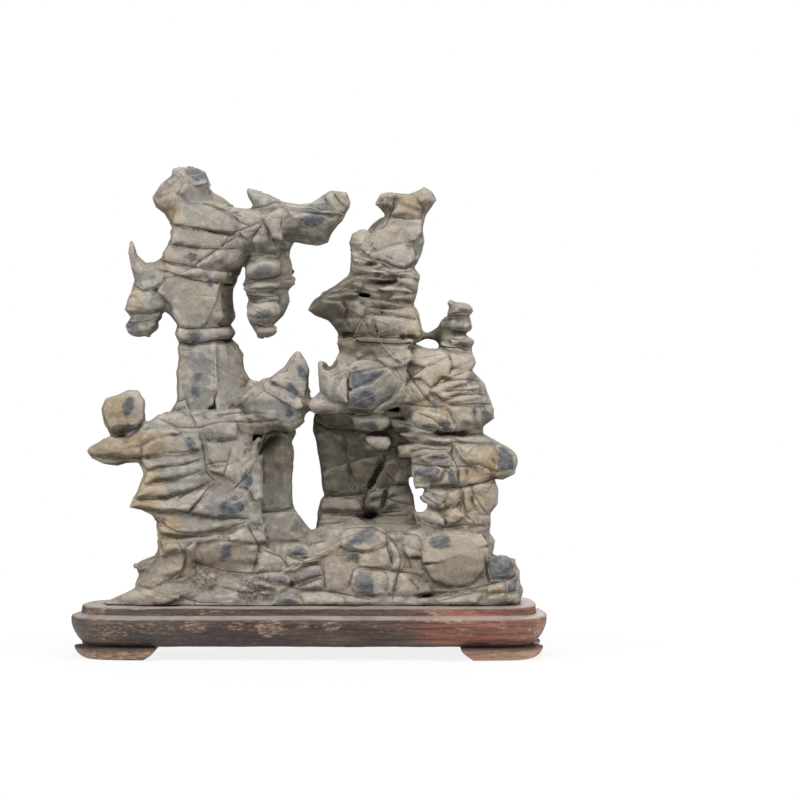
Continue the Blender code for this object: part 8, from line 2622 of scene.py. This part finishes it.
@dataclass
class Tray:
    """The carved tray of the stand, with the socket that the rock's foot sinks into."""

    section: Points = (
        (3.10, 3.30), (2.70, 3.62), (2.30, 4.17), (1.75, 4.72), (1.40, 5.27), (0.95, 5.92), (0.65, 6.57),
        (0.35, 7.27), (0.15, 7.97), (0.02, 8.67), (0.0, 9.27), (0.0, 9.77), (0.22, 10.05), (0.60, 10.22),
        (1.15, 10.40), (1.90, 10.50), (2.56, 10.58), (2.62, 11.40), (2.66, 12.30), (2.84, 12.58),
        (3.25, 12.70),
    )
    top_shares: Sequence[float] = (0.06, 0.2, 0.4, 0.6, 0.8, 0.94)
    mouth_drops: Sequence[float] = (0.0, 0.25, 0.9, 2.0)
    mouth_wear: float = 0.12
    mouth_passes: int = 10
    around: int = 640
    socket_floor: float = 9.2
    top: float = 12.7
    node: str = "stand"

    def build(self, effects: Effects) -> bpy.types.Object:
        """Carves, wears and finishes the tray."""
        outer = smooth_loop(STAND_OUTLINE, self.around)
        rings = [np.column_stack((inset(outer, depth), np.full(self.around, height)))
                 for depth, height in worn_profile(self.section)]
        rim = rings[-1][:, :2]
        mouth = self._mouth(rim)
        for share in self.top_shares:
            rings.append(np.column_stack((rim + (mouth - rim) * share, np.full(self.around, self.top))))
        for drop in (*self.mouth_drops, self.top - self.socket_floor):
            shift = self.mouth_wear if drop == 0.0 else 0.0
            rings.append(np.column_stack((inset(mouth, -shift), np.full(self.around, self.top - drop))))
        skin = Skin(np.concatenate(rings), loft(rings))
        normals = skin.normals()
        spots = skin.spots
        rough = 0.05 * Grain(51).wave(spots, (1.6, 1.6, 0.9)) + 0.11 * Grain(52).wave(spots, (9.0, 9.0, 2.2))
        chip = np.clip(Grain(53).wave(spots, (2.6, 2.6, 1.6)) - 0.45, 0.0, 1.0)
        edge = np.exp(-((spots[:, 2] - 9.9) / 0.5) ** 2) + np.exp(-((spots[:, 2] - 12.5) / 0.3) ** 2)
        push = rough - 0.5 * chip * np.clip(edge, 0.0, 1.0)
        mesh = capped("tray", Skin(spots + normals * push[:, None], skin.faces), self.around)
        add_bend(mesh, 0.10, 6)
        add_rubbed(mesh)
        mesh.materials.append(WoodFinish().build("old_stand_wood", effects))
        piece = new_piece("tray", mesh)
        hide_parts(self.node)
        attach(piece, BODY)
        LOG.info("tray has %d faces", len(mesh.polygons))
        return piece

    def _mouth(self, rim: np.ndarray) -> np.ndarray:
        """Gives the socket's edge, started beside the rim's first point."""
        loop = evenly(np.array(SOCKET_OUTLINE), self.around)
        for _ in range(self.mouth_passes):
            loop = 0.25 * np.roll(loop, 1, axis=0) + 0.5 * loop + 0.25 * np.roll(loop, -1, axis=0)
        start = int(np.argmin(np.sum((loop - rim[0]) ** 2, axis=1)))
        return np.roll(loop, -start, axis=0)


class Corner(Enum):
    """The four feet, as where each ends towards the middle of the stand."""

    FRONT_LEFT = (-36.6, -8.0)
    FRONT_RIGHT = (36.8, -8.5)
    BACK_LEFT = (-40.0, 2.0)
    BACK_RIGHT = (38.6, 9.0)


@dataclass
class Foot:
    """One bracket foot under a corner of the stand."""

    corner: Corner
    section: Points = (
        (2.85, 0.0), (2.40, 0.22), (2.05, 0.50), (1.60, 0.85), (1.28, 1.25), (1.36, 1.45), (1.10, 1.62),
        (0.92, 2.00), (0.85, 2.35), (0.85, 2.66), (1.25, 2.80), (2.05, 2.90), (2.80, 2.98), (3.60, 3.10),
        (3.70, 3.36),
    )
    bracket: float = 3.0
    height: float = 3.0
    arc_points: int = 130
    inner_points: int = 70
    dense_points: int = 3600
    elbow: float = 0.12

    def build(self, material: bpy.types.Material) -> bpy.types.Object:
        """Cuts the foot from the stand's own moulding and wears it."""
        name = name_of_node(self.corner)
        around = self.arc_points + self.inner_points
        dense = smooth_loop(STAND_OUTLINE, self.dense_points)
        rings = [np.column_stack((self._ring(inset(dense, depth), height), np.full(around, height)))
                 for depth, height in worn_profile(self.section, 0.16, 2)]
        skin = Skin(np.concatenate(rings), loft(rings))
        normals = skin.normals()
        spots = skin.spots
        rough = 0.06 * Grain(54).wave(spots, (1.4, 1.4, 0.8)) + 0.10 * Grain(55).wave(spots, (4.0, 4.0, 1.4))
        push = rough * eased(spots[:, 2], 0.05, 0.5) * eased(-spots[:, 2], -3.1, -2.8)
        mesh = capped(name, Skin(spots + normals * push[:, None], skin.faces), around)
        add_bend(mesh, 0.10, 5)
        add_rubbed(mesh)
        mesh.materials.append(material)
        piece = new_piece(name + "_piece", mesh)
        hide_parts(name_of_node(self.corner))
        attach(piece, BODY)
        return piece

    def _ring(self, loop: np.ndarray, height: float) -> np.ndarray:
        """Closes the part of a line that lies under the corner with the foot's inner sides."""
        end_x, end_y = self.corner.value
        side_x, side_y = math.copysign(1.0, end_x), (1.0 if self.corner.name.startswith("BACK") else -1.0)
        sweep = self.bracket * max(1.0 - height / self.height, 0.0) ** 1.6
        inner = np.array((end_x + side_x * sweep, end_y + side_y * sweep))
        under = ((loop[:, 0] - inner[0]) * side_x > 0.0) & ((loop[:, 1] - inner[1]) * side_y > 0.0)
        first = int(np.flatnonzero(under & ~np.roll(under, 1))[0])
        rolled = np.roll(loop, -first, axis=0)
        arc = rolled[np.roll(under, -first)]
        start, end = arc[-1], arc[0]
        near_start = inner + (start - inner) * self.elbow
        near_end = inner + (end - inner) * self.elbow
        bend = [(1 - t) ** 2 * near_start + 2 * t * (1 - t) * inner + t * t * near_end
                for t in np.linspace(0, 1, 7)]
        inside = evenly(np.vstack((start, *bend, end)), self.inner_points + 2, closed=False)[1:-1]
        return np.vstack((evenly(arc, self.arc_points, closed=False), inside))


def name_of_node(corner: Corner) -> str:
    """Gives the name of a foot's solid."""
    return "foot_" + corner.name.lower()


@dataclass(frozen=True)
class Softbox:
    """One soft light, by its name, its place and size in metres, and its power."""

    name: str
    place: Triple
    size: float
    power: float


@dataclass(frozen=True)
class Studio:
    """A pale floor, a white surround, soft lights and the camera."""

    surround: float = 0.17
    seen: float = 1.0
    floor_tone: float = 0.92
    floor_reach: float = 0.42
    floor_drop: float = 0.00002
    floor_corners: int = 96
    aim_height: float = 0.055
    lens: float = 145.4
    softboxes: Sequence[Softbox] = (
        Softbox("left_softbox", (-0.70, -0.46, 0.44), 0.50, 5.3),
        Softbox("right_softbox", (0.72, -0.42, 0.44), 0.50, 4.7),
        Softbox("top_softbox", (0.0, -0.24, 0.80), 0.60, 4.5),
        Softbox("back_softbox", (0.10, 0.80, 0.45), 0.60, 4.2),
    )

    def build(self) -> None:
        """Sets up everything round the object."""
        self._floor()
        self._surround()
        for softbox in self.softboxes:
            self._light(softbox)
        self._camera()
        bpy.context.scene.view_settings.view_transform = "Standard"

    def _floor(self) -> None:
        """Lays the floor."""
        mesh = bpy.data.meshes.new("floor")
        turns = np.linspace(0.0, 2.0 * math.pi, self.floor_corners, endpoint=False)
        rim = [(self.floor_reach * math.cos(turn), self.floor_reach * math.sin(turn), -self.floor_drop)
               for turn in turns]
        mesh.from_pydata(rim, [], [tuple(range(len(rim)))])
        material, board = new_board("pale_floor")
        tone = board.rise(board.noise(board.place(), 3.0), 0.0, 1.0, self.floor_tone, self.floor_tone + 0.01)
        shader = board.node("ShaderNodeBsdfPrincipled", {"Base Color": board.grey(tone), "Roughness": 0.9})
        radius = board.node("ShaderNodeVectorMath", {0: board.place()}, operation="LENGTH").outputs["Value"]
        glow = board.node("ShaderNodeEmission", {"Strength": board.rise(radius, 0.03, 0.16, 0.96, self.seen)})
        fade = board.rise(radius, self.floor_reach * 0.1, self.floor_reach * 0.9, 0.88, 1.0)
        joined = board.node("ShaderNodeMixShader", {0: fade, 1: shader.outputs[0], 2: glow.outputs[0]})
        board.node("ShaderNodeOutputMaterial", {"Surface": joined.outputs["Shader"]})
        mesh.materials.append(material)
        new_piece("floor", mesh)

    def _surround(self) -> None:
        """Lights the whole scene softly from all round, against white."""
        world = bpy.data.worlds.new("surround")
        world.use_nodes = True
        board = Board(world.node_tree)
        seen = board.node("ShaderNodeLightPath").outputs["Is Camera Ray"]
        strength = board.rise(seen, 0.0, 1.0, self.surround, self.seen)
        light = board.node("ShaderNodeBackground", {"Color": (1.0, 1.0, 1.0), "Strength": strength})
        board.node("ShaderNodeOutputWorld", {"Surface": light.outputs["Background"]})
        bpy.context.scene.world = world

    def _light(self, softbox: Softbox) -> None:
        """Hangs one soft light that faces the rock."""
        lamp = bpy.data.lights.new(softbox.name, "AREA")
        lamp.shape = "DISK"
        lamp.size = softbox.size
        lamp.energy = softbox.power
        holder = bpy.data.objects.new(softbox.name, lamp)
        holder.location = softbox.place
        aim = Vector((0.0, 0.0, self.aim_height)) - Vector(softbox.place)
        holder.rotation_euler = aim.to_track_quat("-Z", "Y").to_euler()
        bpy.context.scene.collection.objects.link(holder)

    def _camera(self) -> None:
        """Stands the camera where the rock is seen from."""
        camera = bpy.data.cameras.new("camera")
        camera.lens = self.lens
        camera.sensor_width = EYE.sensor
        camera.clip_start = 0.01
        holder = bpy.data.objects.new("camera", camera)
        holder.location = (EYE.x * MM, -EYE.distance * MM, EYE.height * MM)
        holder.rotation_euler = (math.radians(90.0), 0.0, 0.0)
        bpy.context.scene.collection.objects.link(holder)
        bpy.context.scene.camera = holder


def corners(box: tuple) -> list[list[float]]:
    """Turns a box into plain lists of numbers."""
    return [[float(value) for value in corner] for corner in box]


def main() -> None:
    """Builds the studio and every piece over the fixed frame."""
    logging.basicConfig(level=logging.INFO, format="%(name)s: %(message)s")
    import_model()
    Studio().build()
    effects = Effects()
    rock = Rock().build(effects)
    Crumbs().build(rock)
    Tray().build(effects)
    foot_wood = WoodFinish(dark=(0.105, 0.070, 0.056), brown=(0.215, 0.138, 0.100), red=(0.330, 0.185, 0.135),
                           charcoal=(0.190, 0.125, 0.086), rubbed=(0.40, 0.25, 0.15), dust_amount=0.1,
                           redness=0.15).build("old_foot_wood", effects)
    for corner in Corner:
        Foot(corner).build(foot_wood)


if __name__ == "__main__":
    main()
